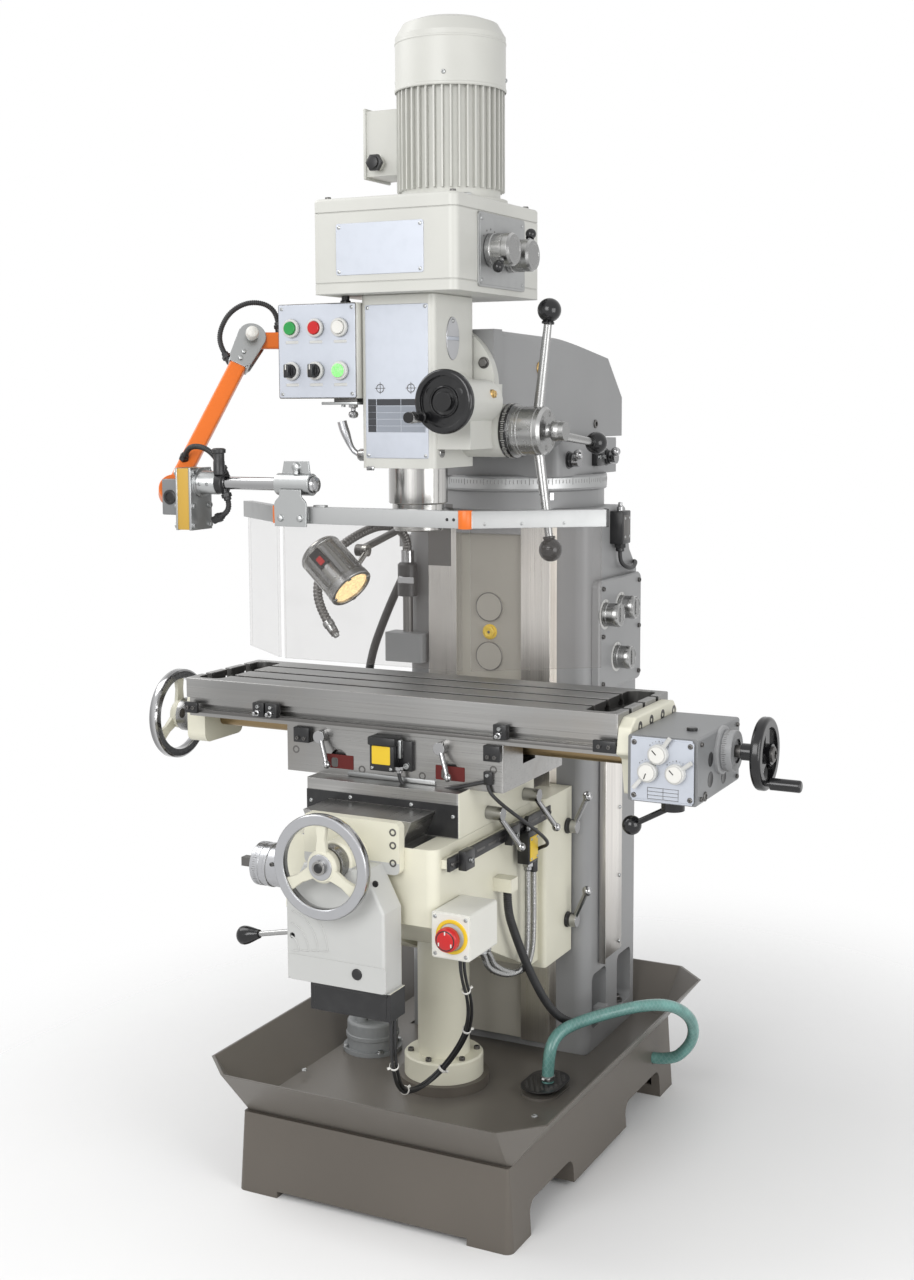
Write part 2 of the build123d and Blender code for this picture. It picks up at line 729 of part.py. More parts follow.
for place, (knob_y, knob_z) in COLUMN_KNOBS.items():
    turned = knob((cover_x, knob_y, knob_z), (1, 0, 0), (0, 0, 1), COLUMN_KNOB_R, 26, 8, 30, 9, 34)
    save(turned, f"column_knob_{place}")

# Pedestal tube under the knee, with the lift nut in its top
with BuildPart() as pedestal:
    rod((0, POST_Y, BASE_H), (0, 0, 1), PLINTH_R, PLINTH_T)
    rod((0, POST_Y, BASE_H + PLINTH_T), (0, 0, 1), POST_FLANGE_R, POST_FLANGE_T)
    chamfer(pedestal.edges().filter_by(GeomType.CIRCLE).sort_by(Axis.Z)[-1], 3)
    rod((0, POST_Y, BASE_H + PLINTH_T), (0, 0, 1), POST_R, POST_TOP - BASE_H - PLINTH_T)
    rod((0, POST_Y, BASE_H - 1), (0, 0, 1), POST_BORE, POST_TOP - BASE_H - 39, Mode.SUBTRACT)
    rod((0, POST_Y, BASE_H), (0, 0, 1), LIFT_R + RUN, POST_TOP, Mode.SUBTRACT)
save(pedestal.part, "pedestal")

# Coolant pump in the tray, and the valve block on the column's front
pump_z = BASE_H + TRAY_T
valve_top = VALVE_Z + 220
with BuildPart() as pump:
    rod((PUMP_X, PUMP_Y, pump_z), (0, 0, 1), PUMP_FLANGE_R, 8)
    rod((PUMP_X, PUMP_Y, pump_z + 7), (0, 0, 1), PUMP_R, PUMP_H - 7)
    fillet(pump.edges().filter_by(GeomType.CIRCLE).sort_by(Axis.Z)[-1], 6)
    rod((PUMP_X - 12, PUMP_Y + 14, pump_z + PUMP_H - 2), (0, 0, 1), 34, 124)
    fillet(pump.edges().filter_by(GeomType.CIRCLE).sort_by(Axis.Z)[-1], 8)
    rod((PUMP_X - 10, PUMP_Y - 26, pump_z + PUMP_H - 2), (0, 0, 1), 11, 40)
with BuildPart() as valve:
    block(VALVE_X - 42, VALVE_X + 42, VALVE_Y - 23, COLUMN_FRONT, VALVE_Z, VALVE_Z + 57)
    fillet(valve.edges().filter_by(Axis.Z).sort_by(Axis.Y)[:2], 6)
    rod((VALVE_X, VALVE_Y, VALVE_Z + 56), (0, 0, 1), 10, 80)
    rod((VALVE_X, VALVE_Y, VALVE_Z + 130), (0, 0, 1), 20, 66)
    chamfer(valve.edges().filter_by(GeomType.CIRCLE).sort_by(Axis.Z)[-1], 4)
    rod((VALVE_X, VALVE_Y, VALVE_Z + 190), (0, 0, 1), 13, 30)
    rod((VALVE_X, VALVE_Y, VALVE_Z + 164), (0, -1, 0), 7, 30)
    block(VALVE_X - 5, VALVE_X + 30, VALVE_Y - 32, VALVE_Y - 28, VALVE_Z + 158, VALVE_Z + 170)
save(group(pump.part, valve.part), "coolant_pump")

goose_route = [
    (VALVE_X, VALVE_Y, valve_top), (VALVE_X, VALVE_Y, valve_top + 32), (VALVE_X - 14, 344, 1184),
    (-212, 266, 1168), (-238, 206, 1132), (-247, 172, 1082), (-232, 160, 1032), (-198, 158, 990),
]
gooseneck = cord(goose_route, GOOSE_R, "gooseneck")
riser = ribbed(RISER_ROUTE, RISER_R, RISER_PITCH, (0, 1, 0), "riser")
save(group(gooseneck, riser), "column_lines")

save(cord(HOSE_ROUTE, HOSE_R, "hose"), "coolant_hose")

# Turret: graduated ring on the column's neck with the ram's dovetail on top
turret_y0 = TURRET_Y - TURRET_L / 2
turret_y1 = TURRET_Y + TURRET_L / 2
groove_z = TURRET_TOP - RAM_DOVE_H
turret_clamps = {"front": turret_y0 + 44, "rear": turret_y1 - 66}
turret_clamp_z = RING_TOP + 30
with BuildPart() as turret:
    rod((0, TURRET_Y, NECK_TOP + GAP), (0, 0, 1), TURRET_R, TURRET_RING_T)
    chamfer(turret.edges().filter_by(GeomType.CIRCLE), 2)
    prism_x(
        [
            (turret_y0, RING_TOP - 1), (turret_y1, RING_TOP - 1), (turret_y1, TURRET_TOP - 14),
            (turret_y1 - 14, TURRET_TOP), (turret_y0 + 14, TURRET_TOP), (turret_y0, TURRET_TOP - 14),
        ],
        -TURRET_W / 2, TURRET_W / 2,
    )
    fillet(turret.edges().filter_by(Axis.Z), 16)
    rod((0, TURRET_Y, NECK_TOP - 22), (0, 0, 1), TURRET_SPIGOT_R, 30)
    prism_y(
        [
            (-ram_half(TURRET_TOP + 1) - GAP, TURRET_TOP + 1),
            (ram_half(TURRET_TOP + 1) + GAP, TURRET_TOP + 1),
            (ram_half(groove_z) + GAP, groove_z), (-ram_half(groove_z) - GAP, groove_z),
        ],
        turret_y0 - 5, turret_y1 + 5, Mode.SUBTRACT,
    )
    for clamp_y in turret_clamps.values():
        bored((TURRET_W / 2, clamp_y, turret_clamp_z), (1, 0, 0), 7, 40)
save(turret.part, "turret")

for place, clamp_y in turret_clamps.items():
    at = (TURRET_W / 2 + GAP, clamp_y, turret_clamp_z)
    tip = (TURRET_W / 2 + 38, clamp_y - 46, turret_clamp_z + 12)
    save(clamp_lever(at, (1, 0, 0), 13, 22, 7, 30, tip, 5, 8), f"turret_clamp_{place}")

# Ram: hollow casting sliding in the turret, with the tilting pin for the head
with BuildPart() as ram:
    prism_x(
        [
            (RAM_FRONT, RAM_BOTTOM), (RAM_FRONT, RAM_TOP), (RAM_FRONT + 300, RAM_TOP - 6),
            (RAM_REAR - 80, RAM_TOP - 40), (RAM_REAR, RAM_TOP - 120), (RAM_REAR, RAM_BOTTOM),
        ],
        -RAM_W / 2 + 4, RAM_W / 2 - 4,
    )
    fillet(ram.edges().filter_by(lambda edge: abs((edge % 0.5).X) < 0.1).group_by(Axis.Z)[-1], 14)
    block(-RAM_W / 2, RAM_W / 2, RAM_FRONT, RAM_FRONT + 34, RAM_BOTTOM, RAM_TOP)
    prism_y(
        [
            (-ram_half(RAM_BOTTOM + 1), RAM_BOTTOM + 1), (ram_half(RAM_BOTTOM + 1), RAM_BOTTOM + 1),
            (ram_half(groove_z + 1), groove_z + 1), (-ram_half(groove_z + 1), groove_z + 1),
        ],
        RAM_FRONT + 40, RAM_REAR,
    )
    block(
        RAM_WALL - RAM_W / 2, RAM_W / 2 - RAM_WALL, RAM_FRONT + 60, RAM_REAR - 100,
        RAM_BOTTOM + RAM_WALL, RAM_TOP - 64, Mode.SUBTRACT,
    )
    rod((0, RAM_FRONT + 5, TILT_Z), (0, -1, 0), TILT_PIN_R, TILT_PIN_L + 5)
    for side in (-1, 1):
        for bolt_z in (RAM_BOTTOM + 22, RAM_TOP - 22):
            rod((side * (RAM_W / 2 - 20), RAM_FRONT + 33, bolt_z), (0, 1, 0), 9, 12)
save(ram.part, "ram")

# Head casting: quill housing with the tilt flange, the pinion housing and the fine-feed housing
lock_at = (-HEAD_W / 2, HEAD_Y0 + 22, HEAD_Z0 + 22)
with BuildPart() as head_casting:
    block(-HEAD_W / 2, HEAD_W / 2, HEAD_Y0, HEAD_Y1 - 16, HEAD_Z0, HEAD_Z1)
    fillet(head_casting.edges().filter_by(Axis.Z), 12)
    rod((0, HEAD_Y1, TILT_Z), (0, -1, 0), HEAD_FLANGE_R, 17)
    chamfer(head_casting.edges().filter_by(GeomType.CIRCLE).sort_by(Axis.Y)[:1], 2)
    pinion_x0 = HEAD_W / 2 - 20
    rod((pinion_x0, PINION_Y, PINION_Z), (1, 0, 0), PINION_HOUSING_R, PINION_HOUSING_X - pinion_x0)
    rod((FINE_X, FINE_Y0, FINE_Z), (0, 1, 0), FINE_HOUSING_R, 120)
    block(
        HEAD_W / 2 - 10, FINE_X + 20, FINE_Y0 + 30, PINION_Y, PINION_Z - 30, FINE_Z + 30,
    )
    block(
        -HEAD_W, 2 * HEAD_W, HEAD_Y1, HEAD_Y1 + 90, HEAD_Z0 - 20, HEAD_Z1 + 20, Mode.SUBTRACT,
    )
    rod((0, QUILL_Y, HEAD_Z0 - 1), (0, 0, 1), QUILL_R + RUN, HEAD_H - 14, Mode.SUBTRACT)
    rod((0, QUILL_Y, HEAD_Z0 - 1), (0, 0, 1), SPLINE_R + 4, HEAD_H + 10, Mode.SUBTRACT)
    rod((-QUILL_R / 2, PINION_Y, PINION_Z), (1, 0, 0), PINION_R + 1.5, QUILL_R, Mode.SUBTRACT)
    rod((0, PINION_Y, PINION_Z), (1, 0, 0), SHAFT_R - 2 + RUN, 200, Mode.SUBTRACT)
    rod((0, HEAD_Y1 + 1, TILT_Z), (0, -1, 0), TILT_PIN_R + RUN, TILT_PIN_L + 1, Mode.SUBTRACT)
    rod((FINE_X, FINE_Y0 - 1, FINE_Z), (0, 1, 0), 9 + RUN, 54, Mode.SUBTRACT)
    bored(lock_at, (-1, 0, 0), 6, 18)
save(head_casting.part, "head_casting")

lock_tip = (-HEAD_W / 2 - 46, HEAD_Y0 + 16, HEAD_Z0 + 78)
lock_pivot = (lock_at[0] - GAP, lock_at[1], lock_at[2])
save(clamp_lever(lock_pivot, (-1, 0, 0), 11, 20, 6, 15, lock_tip, 4.5, 7), "quill_lock")

# Gearbox case with its lid, a hollow box on the head
case_y1 = CASE_Y0 + CASE_L
speed_knobs = {"front": (118, CASE_Z0 + 72), "rear": (196, CASE_Z0 + 68)}
with BuildPart() as case_body:
    block(-CASE_W / 2, CASE_W / 2, CASE_Y0, case_y1, CASE_Z0, CASE_TOP)
    fillet(case_body.edges().filter_by(Axis.Z), 14)
    block(
        CASE_WALL - CASE_W / 2, CASE_W / 2 - CASE_WALL, CASE_Y0 + CASE_WALL, case_y1 - CASE_WALL,
        CASE_Z0 + CASE_WALL, CASE_TOP + 1, Mode.SUBTRACT,
    )
    rod((0, QUILL_Y, CASE_Z0 - 1), (0, 0, 1), SPLINE_R + 4, 30, Mode.SUBTRACT)
    with BuildSketch(Plane.XY.offset(CASE_Z0 + 17)):
        with Locations((0, CASE_Y0 + CASE_L / 2)):
            RectangleRounded(CASE_W + 4, CASE_L + 4, 15)
            RectangleRounded(CASE_W - 2, CASE_L - 2, 13, mode=Mode.SUBTRACT)
    extrude(amount=2, mode=Mode.SUBTRACT)
    with BuildSketch(Plane.YZ.offset(CASE_W / 2 - 1)):
        with Locations((166, CASE_Z0 + 72)):
            RectangleRounded(184, 124, 6)
    extrude(amount=5)
    for knob_y, knob_z in speed_knobs.values():
        bored((CASE_W / 2 + 4, knob_y, knob_z), (1, 0, 0), 9, 40)
with BuildPart() as case_lid:
    block(-CASE_W / 2, CASE_W / 2, CASE_Y0, case_y1, CASE_TOP, LID_TOP)
    fillet(case_lid.edges().filter_by(Axis.Z), 14)
    fillet(case_lid.faces().sort_by(Axis.Z)[-1].edges(), 6)
    rod((0, MOTOR_Y, CASE_TOP - 1), (0, 0, 1), 30, 60, Mode.SUBTRACT)
    with BuildSketch(Plane.XY.offset(CASE_TOP)):
        with Locations((0, CASE_Y0 + CASE_L / 2)):
            RectangleRounded(CASE_W + 4, CASE_L + 4, 15)
            RectangleRounded(CASE_W - 3, CASE_L - 3, 12.5, mode=Mode.SUBTRACT)
    extrude(amount=2, mode=Mode.SUBTRACT)
save(group(case_body.part, case_lid.part), "gearbox_case")

for place, (knob_y, knob_z) in speed_knobs.items():
    turned = knob((CASE_W / 2 + 4, knob_y, knob_z), (1, 0, 0), (0, 0, 1), 27, 46, 9, 30, 0, 0)
    save(turned, f"speed_knob_{place}")

# Motor: flange, finned body with its terminal box, and a fan cowl on top
cowl_z = MOTOR_TOP - COWL_H
with BuildPart() as motor_body:
    rod((0, MOTOR_Y, LID_TOP), (0, 0, 1), MOTOR_R + 3, FLANGE_T)
    body_l = cowl_z - LID_TOP - FLANGE_T + 13
    rod((0, MOTOR_Y, LID_TOP + FLANGE_T - 1), (0, 0, 1), MOTOR_R - FIN_DEPTH, body_l)
    with Locations((0, MOTOR_Y, (LID_TOP + FLANGE_T + 16 + cowl_z) / 2)):
        with PolarLocations(MOTOR_R - FIN_DEPTH, FIN_COUNT):
            Box(2 * FIN_DEPTH - 4, FIN_T, cowl_z - LID_TOP - FLANGE_T - 16)
    block(-MOTOR_R - 52, -MOTOR_R + 14, MOTOR_Y - 46, MOTOR_Y + 40, LID_TOP + 62, LID_TOP + 178)
    rod((-MOTOR_R - 22, MOTOR_Y - 46, LID_TOP + 84), (0, -1, 0), 12, 16)
    rod((0, MOTOR_Y, LID_TOP - 1), (0, 0, 1), 30, 18, Mode.SUBTRACT)
    rod((0, MOTOR_Y, LID_TOP + 34), (0, 0, 1), 54, cowl_z - LID_TOP - 60, Mode.SUBTRACT)
with BuildPart() as motor_cowl:
    with BuildSketch(Plane.XZ.offset(-MOTOR_Y)):
        with BuildLine():
            Polyline((0, MOTOR_TOP), (64, MOTOR_TOP), (86, MOTOR_TOP - 8), (MOTOR_R, MOTOR_TOP - 30),
                     (MOTOR_R, cowl_z), (MOTOR_R - 4, cowl_z), (MOTOR_R - 4, MOTOR_TOP - 29),
                     (84, MOTOR_TOP - 12), (63, MOTOR_TOP - 4), (0, MOTOR_TOP - 4), close=True)
        make_face()
    revolve(axis=Axis((0, MOTOR_Y, 0), (0, 0, 1)))
    with Locations((0, MOTOR_Y, MOTOR_TOP)):
        for ring in (24, 40, 56):
            with PolarLocations(ring, 12):
                Box(9, 4, 30, mode=Mode.SUBTRACT)
    with Locations((0, MOTOR_Y, cowl_z + 6)):
        Cylinder(MOTOR_R - 2, 12)
        Cylinder(MOTOR_R - FIN_DEPTH, 14, mode=Mode.SUBTRACT)
save(group(motor_body.part, motor_cowl.part), "motor")

# Control box on the head's left side, with its buttons and selectors
box_x1 = -HEAD_W / 2
box_x0 = box_x1 - BOX_W
box_xs = [box_x0 + 29 + place * BUTTON_PITCH for place in range(3)]
with BuildPart() as control_box:
    block(box_x0, box_x1, BOX_FRONT, BOX_FRONT + BOX_D, BOX_Z, BOX_Z + BOX_H)
    fillet(control_box.edges().filter_by(Axis.Z), 6)
    block(
        box_x0 + 4, box_x1 - 4, BOX_FRONT + 4, BOX_FRONT + BOX_D - 4, BOX_Z + 4, BOX_Z + BOX_H - 4,
        Mode.SUBTRACT,
    )
    for box_x in box_xs:
        for rise in (BUTTON_RISE, SELECT_RISE):
            rod((box_x, BOX_FRONT + 3, BOX_Z + rise), (0, -1, 0), 15, 9)
            rod((box_x, BOX_FRONT + 20, BOX_Z + rise), (0, -1, 0), BUTTON_R + RUN, 30, Mode.SUBTRACT)
    rod((box_xs[2], BOX_FRONT + 3, BOX_Z + SELECT_RISE), (0, -1, 0), BUTTON_R + 1, 14)
save(control_box.part, "control_box")

for label, box_x in zip(("start_button", "stop_button", "jog_button"), box_xs):
    with BuildPart() as button:
        rod((box_x, BOX_FRONT - 12, BOX_Z + BUTTON_RISE), (0, 1, 0), BUTTON_R, 30)
        chamfer(button.edges().sort_by(Axis.Y)[0], 1.2)
    save(button.part, label)
for label, box_x in zip(("selector_left", "selector_right"), box_xs):
    with BuildPart() as selector:
        rod((box_x, BOX_FRONT - 12, BOX_Z + SELECT_RISE), (0, 1, 0), BUTTON_R, 30)
        select_z = BOX_Z + SELECT_RISE
        block(box_x - 4, box_x + 4, BOX_FRONT - 24, BOX_FRONT - 11, select_z - 11, select_z + 11)
    save(selector.part, label)

# Quill with a flat for the rack, and the spindle inside it
quill_z0 = HEAD_Z0 - QUILL_BELOW
quill_z1 = quill_z0 + QUILL_L
cap_z0 = quill_z0 - QUILL_CAP_T
with BuildPart() as quill:
    rod((0, QUILL_Y, quill_z0), (0, 0, 1), QUILL_R, QUILL_L)
    rod((0, QUILL_Y, cap_z0), (0, 0, 1), QUILL_R - QUILL_CAP_STEP, QUILL_CAP_T + 1)
    chamfer(quill.edges().filter_by(GeomType.CIRCLE).sort_by(Axis.Z)[:3], 1.5)
    block(
        -QUILL_R / 2 - 1, QUILL_R / 2 + 1, QUILL_Y + QUILL_R - RACK_IN - GAP, QUILL_Y + QUILL_R + 5,
        PINION_Z - 20, PINION_Z + QUILL_TRAVEL + 20, Mode.SUBTRACT,
    )
    rod((0, QUILL_Y, cap_z0 - 1), (0, 0, 1), SPINDLE_R + RUN, QUILL_L + 40, Mode.SUBTRACT)
save(quill.part, "quill")

nose_z0 = cap_z0 - GAP - NOSE_L
with BuildPart() as spindle:
    rod((0, QUILL_Y, nose_z0), (0, 0, 1), NOSE_R, NOSE_L)
    chamfer(spindle.edges().filter_by(GeomType.CIRCLE), 2)
    rod((0, QUILL_Y, nose_z0), (0, 0, 1), SPINDLE_R, quill_z1 - nose_z0)
    rod((0, QUILL_Y, quill_z1 - 1), (0, 0, 1), SPLINE_R, CASE_TOP - quill_z1 - 10)
    with Locations((0, QUILL_Y, nose_z0 + SOCKET_L / 2)):
        Cone(SOCKET_R, SOCKET_R - SOCKET_L * tan(radians(SOCKET_TAPER)), SOCKET_L, mode=Mode.SUBTRACT)
    rod((0, QUILL_Y, nose_z0), (0, 0, 1), DRAWBAR_R, CASE_TOP, Mode.SUBTRACT)
    for side in (-1, 1):
        block(
            *sorted((side * (NOSE_R - 14), side * (NOSE_R + 2))), QUILL_Y - 8, QUILL_Y + 8,
            nose_z0 - 1, nose_z0 + 8, Mode.SUBTRACT,
        )
save(spindle.part, "spindle")

# Quill hub: pinion shaft, dial, hub and three spokes with balls
hub_x0 = PINION_HOUSING_X + GAP + DIAL_L
hub_mid = hub_x0 + HUB_L * 0.62
spoke_angles = (93, -7, -91)
with BuildPart() as quill_hub:
    rod((-QUILL_R / 2 + 2, PINION_Y, PINION_Z), (1, 0, 0), PINION_R - GAP, QUILL_R - 4)
    rod((0, PINION_Y, PINION_Z), (1, 0, 0), SHAFT_R - 2, hub_x0 + 1)
    rod((PINION_HOUSING_X + GAP, PINION_Y, PINION_Z), (1, 0, 0), DIAL_R, DIAL_L)
    rod((hub_x0 - 1, PINION_Y, PINION_Z), (1, 0, 0), HUB_R, HUB_L + 1)
    chamfer(quill_hub.edges().filter_by(GeomType.CIRCLE).sort_by(Axis.X)[-1], 5)
    rod((hub_x0 + HUB_L - 1, PINION_Y, PINION_Z), (1, 0, 0), 11, 14)
    rod((hub_x0 + HUB_L + 10, PINION_Y, PINION_Z), (1, 0, 0), 17, 24)
    for angle in spoke_angles:
        lean = radians(SPOKE_LEAN)
        along = (sin(lean), -cos(lean) * sin(radians(angle - 90)), cos(lean) * cos(radians(angle - 90)))
        root = (hub_mid, PINION_Y, PINION_Z)
        end = tuple(value + SPOKE_L * share for value, share in zip(root, along))
        rod_between(root, end, SPOKE_R)
        ball(end, BALL_R)
save(quill_hub.part, "quill_hub")

fine_wheel_y = FINE_Y0 - 26
fine_plane = Plane(origin=(FINE_X, fine_wheel_y, FINE_Z), z_dir=(0, -1, 0), x_dir=(1, 0, 0))
with BuildPart(fine_plane) as fine_feed_wheel:
    Cylinder(FINE_WHEEL_R, 16)
    fillet(fine_feed_wheel.edges().filter_by(GeomType.CIRCLE), 6)
    with Locations((0, 0, 6)):
        Cylinder(FINE_WHEEL_R - 11, 10, mode=Mode.SUBTRACT)
    with Locations((0, 0, -8)):
        Cylinder(FINE_WHEEL_R - 14, 8, mode=Mode.SUBTRACT)
    with PolarLocations(30, 3, start_angle=30):
        Cylinder(8, 40, mode=Mode.SUBTRACT)
    with Locations((0, 0, -8)):
        Cylinder(16, 34)
    with Locations((0, 0, -40)):
        Cylinder(9, 70)
    with Locations((-38, -26, 30)):
        Cylinder(4, 46)
    with Locations((-38, -26, 38)):
        Cylinder(9, 40)
save(fine_feed_wheel.part, "fine_feed_wheel")

# Knee: hollow casting on the column's ways with the cross dovetail on top
knee_back = WAY_FRONT - GAP
slope = (KNEE_NOSE_Z - KNEE_HEEL_Z) / (KNEE_HEEL_Y - KNEE_FRONT)
inner_nose = KNEE_NOSE_Z + KNEE_WALL - slope * KNEE_WALL
flange_y1 = COLUMN_FRONT - 5
nut_y1 = NUT_Y + NUT_L
knee_clamps = {"upper": 611, "lower": 427}
knee_clamp_y = flange_y1 - 22
with BuildPart() as knee_body:
    prism_x(
        [
            (KNEE_FRONT, KNEE_TOP), (KNEE_FRONT, KNEE_NOSE_Z), (KNEE_HEEL_Y, KNEE_HEEL_Z),
            (knee_back, KNEE_HEEL_Z), (knee_back, KNEE_TOP),
        ],
        -KNEE_W / 2, KNEE_W / 2,
    )
    fillet(knee_body.edges().filter_by(Axis.Z).sort_by(Axis.Y)[:2], 18)
    block(
        -KNEE_FLANGE_W / 2, KNEE_FLANGE_W / 2, KNEE_FLANGE_Y, flange_y1, KNEE_FLANGE_Z, KNEE_TOP,
    )
    upright = knee_body.edges().filter_by(Axis.Z)
    flange_front = upright.filter_by_position(Axis.Y, KNEE_FLANGE_Y - 1, KNEE_FLANGE_Y + 1)
    fillet([edge for edge in flange_front if abs(edge.center().X) > KNEE_FLANGE_W / 2 - 1], 8)
    prism_z(
        [
            (-way_half(knee_back) - GAP, knee_back), (way_half(knee_back) + GAP, knee_back),
            (way_half(COLUMN_FRONT) + GAP, COLUMN_FRONT), (-way_half(COLUMN_FRONT) - GAP, COLUMN_FRONT),
        ],
        KNEE_FLANGE_Z - 1, KNEE_TOP + 50, Mode.SUBTRACT,
    )
    prism_y(
        [
            (-CROSS_WAY_ROOT / 2, KNEE_TOP - 1), (CROSS_WAY_ROOT / 2, KNEE_TOP - 1),
            (CROSS_WAY_TOP / 2, CROSS_WAY_Z - GAP), (-CROSS_WAY_TOP / 2, CROSS_WAY_Z - GAP),
        ],
        KNEE_FRONT, knee_back,
    )
    prism_x(
        [
            (KNEE_FRONT + KNEE_WALL, KNEE_TOP - KNEE_WALL), (KNEE_FRONT + KNEE_WALL, inner_nose),
            (KNEE_HEEL_Y, KNEE_HEEL_Z + KNEE_WALL), (knee_back - KNEE_WALL, KNEE_HEEL_Z + KNEE_WALL),
            (knee_back - KNEE_WALL, KNEE_TOP - KNEE_WALL),
        ],
        KNEE_WALL - KNEE_W / 2, KNEE_W / 2 - KNEE_WALL, Mode.SUBTRACT,
    )
    block(-70, 70, POST_Y - 70, POST_Y + 70, KNEE_FLANGE_Z - 10, KNEE_TOP - KNEE_WALL, Mode.SUBTRACT)
    block(
        -NUT_W / 2 - 3, NUT_W / 2 + 3, NUT_Y - CROSS_FORWARD - 3, nut_y1 + CROSS_BACK + 3,
        KNEE_TOP - KNEE_WALL - 1, CROSS_WAY_Z + 1, Mode.SUBTRACT,
    )
    rod((0, KNEE_FRONT - 1, CROSS_Z), (0, 1, 0), CROSS_SCREW_R + RUN, 490, Mode.SUBTRACT)
    collar_l = -KNEE_W / 2 - LIFT_COLLAR_END + 1
    rod((-KNEE_W / 2 + 1, LIFT_SHAFT_Y, LIFT_SHAFT_Z), (-1, 0, 0), LIFT_COLLAR_R, collar_l)
    chamfer(knee_body.edges().filter_by(GeomType.CIRCLE).sort_by(Axis.X)[0], 3)
    rod((0, LIFT_SHAFT_Y, LIFT_SHAFT_Z), (-1, 0, 0), SHAFT_R + RUN, 400, Mode.SUBTRACT)
    for clamp_z in knee_clamps.values():
        bored((KNEE_FLANGE_W / 2, knee_clamp_y, clamp_z), (1, 0, 0), 7, KNEE_CLAMP_PIN + 4)
    block(KNEE_W / 2 - 1, KNEE_W / 2 + 12, KNEE_FRONT + 20, KNEE_FLANGE_Y + 20, 650, 665)
    block(KNEE_W / 2 - 1, KNEE_W / 2 + 36, 106, 134, CONDUIT_GLAND_Z, CONDUIT_GLAND_Z + 24)
with BuildPart() as estop_box:
    block(
        KNEE_W / 2, KNEE_W / 2 + ESTOP_W, KNEE_FRONT - 15, KNEE_FRONT - 15 + ESTOP_L,
        ESTOP_Z, ESTOP_Z + ESTOP_H,
    )
    fillet(estop_box.edges().filter_by(Axis.Y), 5)
    rod((KNEE_W / 2 + 38, KNEE_FRONT - 14, ESTOP_Z + 39), (0, -1, 0), 26, 3)
    rod((KNEE_W / 2 + 38, KNEE_FRONT + 20, ESTOP_Z + 39), (0, -1, 0), ESTOP_STEM_R + RUN, 60, Mode.SUBTRACT)
save(group(knee_body.part, estop_box.part), "knee")

with BuildPart() as estop_button:
    rod((KNEE_W / 2 + 38, KNEE_FRONT + 10, ESTOP_Z + 39), (0, -1, 0), ESTOP_STEM_R, 42)
    rod((KNEE_W / 2 + 38, KNEE_FRONT - 28, ESTOP_Z + 39), (0, -1, 0), ESTOP_R, 14)
    fillet(estop_button.edges().filter_by(GeomType.CIRCLE).sort_by(Axis.Y)[0], 5)
save(estop_button.part, "estop_button")

for place, clamp_z in knee_clamps.items():
    at = (KNEE_FLANGE_W / 2 + GAP, knee_clamp_y, clamp_z)
    tip = (KNEE_FLANGE_W / 2 + 46, knee_clamp_y - 10, clamp_z + 64)
    save(clamp_lever(at, (1, 0, 0), 13, 22, 7, KNEE_CLAMP_PIN, tip, 5, 8), f"knee_clamp_{place}")

# Lift shaft through the knee's left side, and the lift screw in the pedestal
with BuildPart() as lift_shaft:
    rod((-30, LIFT_SHAFT_Y, LIFT_SHAFT_Z), (-1, 0, 0), SHAFT_R, -30 - LIFT_COLLAR_END + 6)
    block(
        LIFT_SHAFT_END, LIFT_COLLAR_END - 5, LIFT_SHAFT_Y - 8, LIFT_SHAFT_Y + 8,
        LIFT_SHAFT_Z - 8, LIFT_SHAFT_Z + 8,
    )
    rod((-30, LIFT_SHAFT_Y, LIFT_SHAFT_Z), (-1, 0, 0), 30, 26)
    rod((-KNEE_W / 2 + KNEE_WALL + GAP, LIFT_SHAFT_Y, LIFT_SHAFT_Z), (1, 0, 0), 20, 12)
save(lift_shaft.part, "lift_shaft")
lift_top = CROSS_Z - 24
with BuildPart() as lift_screw:
    rod((0, POST_Y, lift_top), (0, 0, -1), LIFT_R, LIFT_SCREW_L)
    rod((0, POST_Y, lift_top), (0, 0, -1), LIFT_GEAR_R, LIFT_GEAR_T)
save(lift_screw.part, "lift_screw")

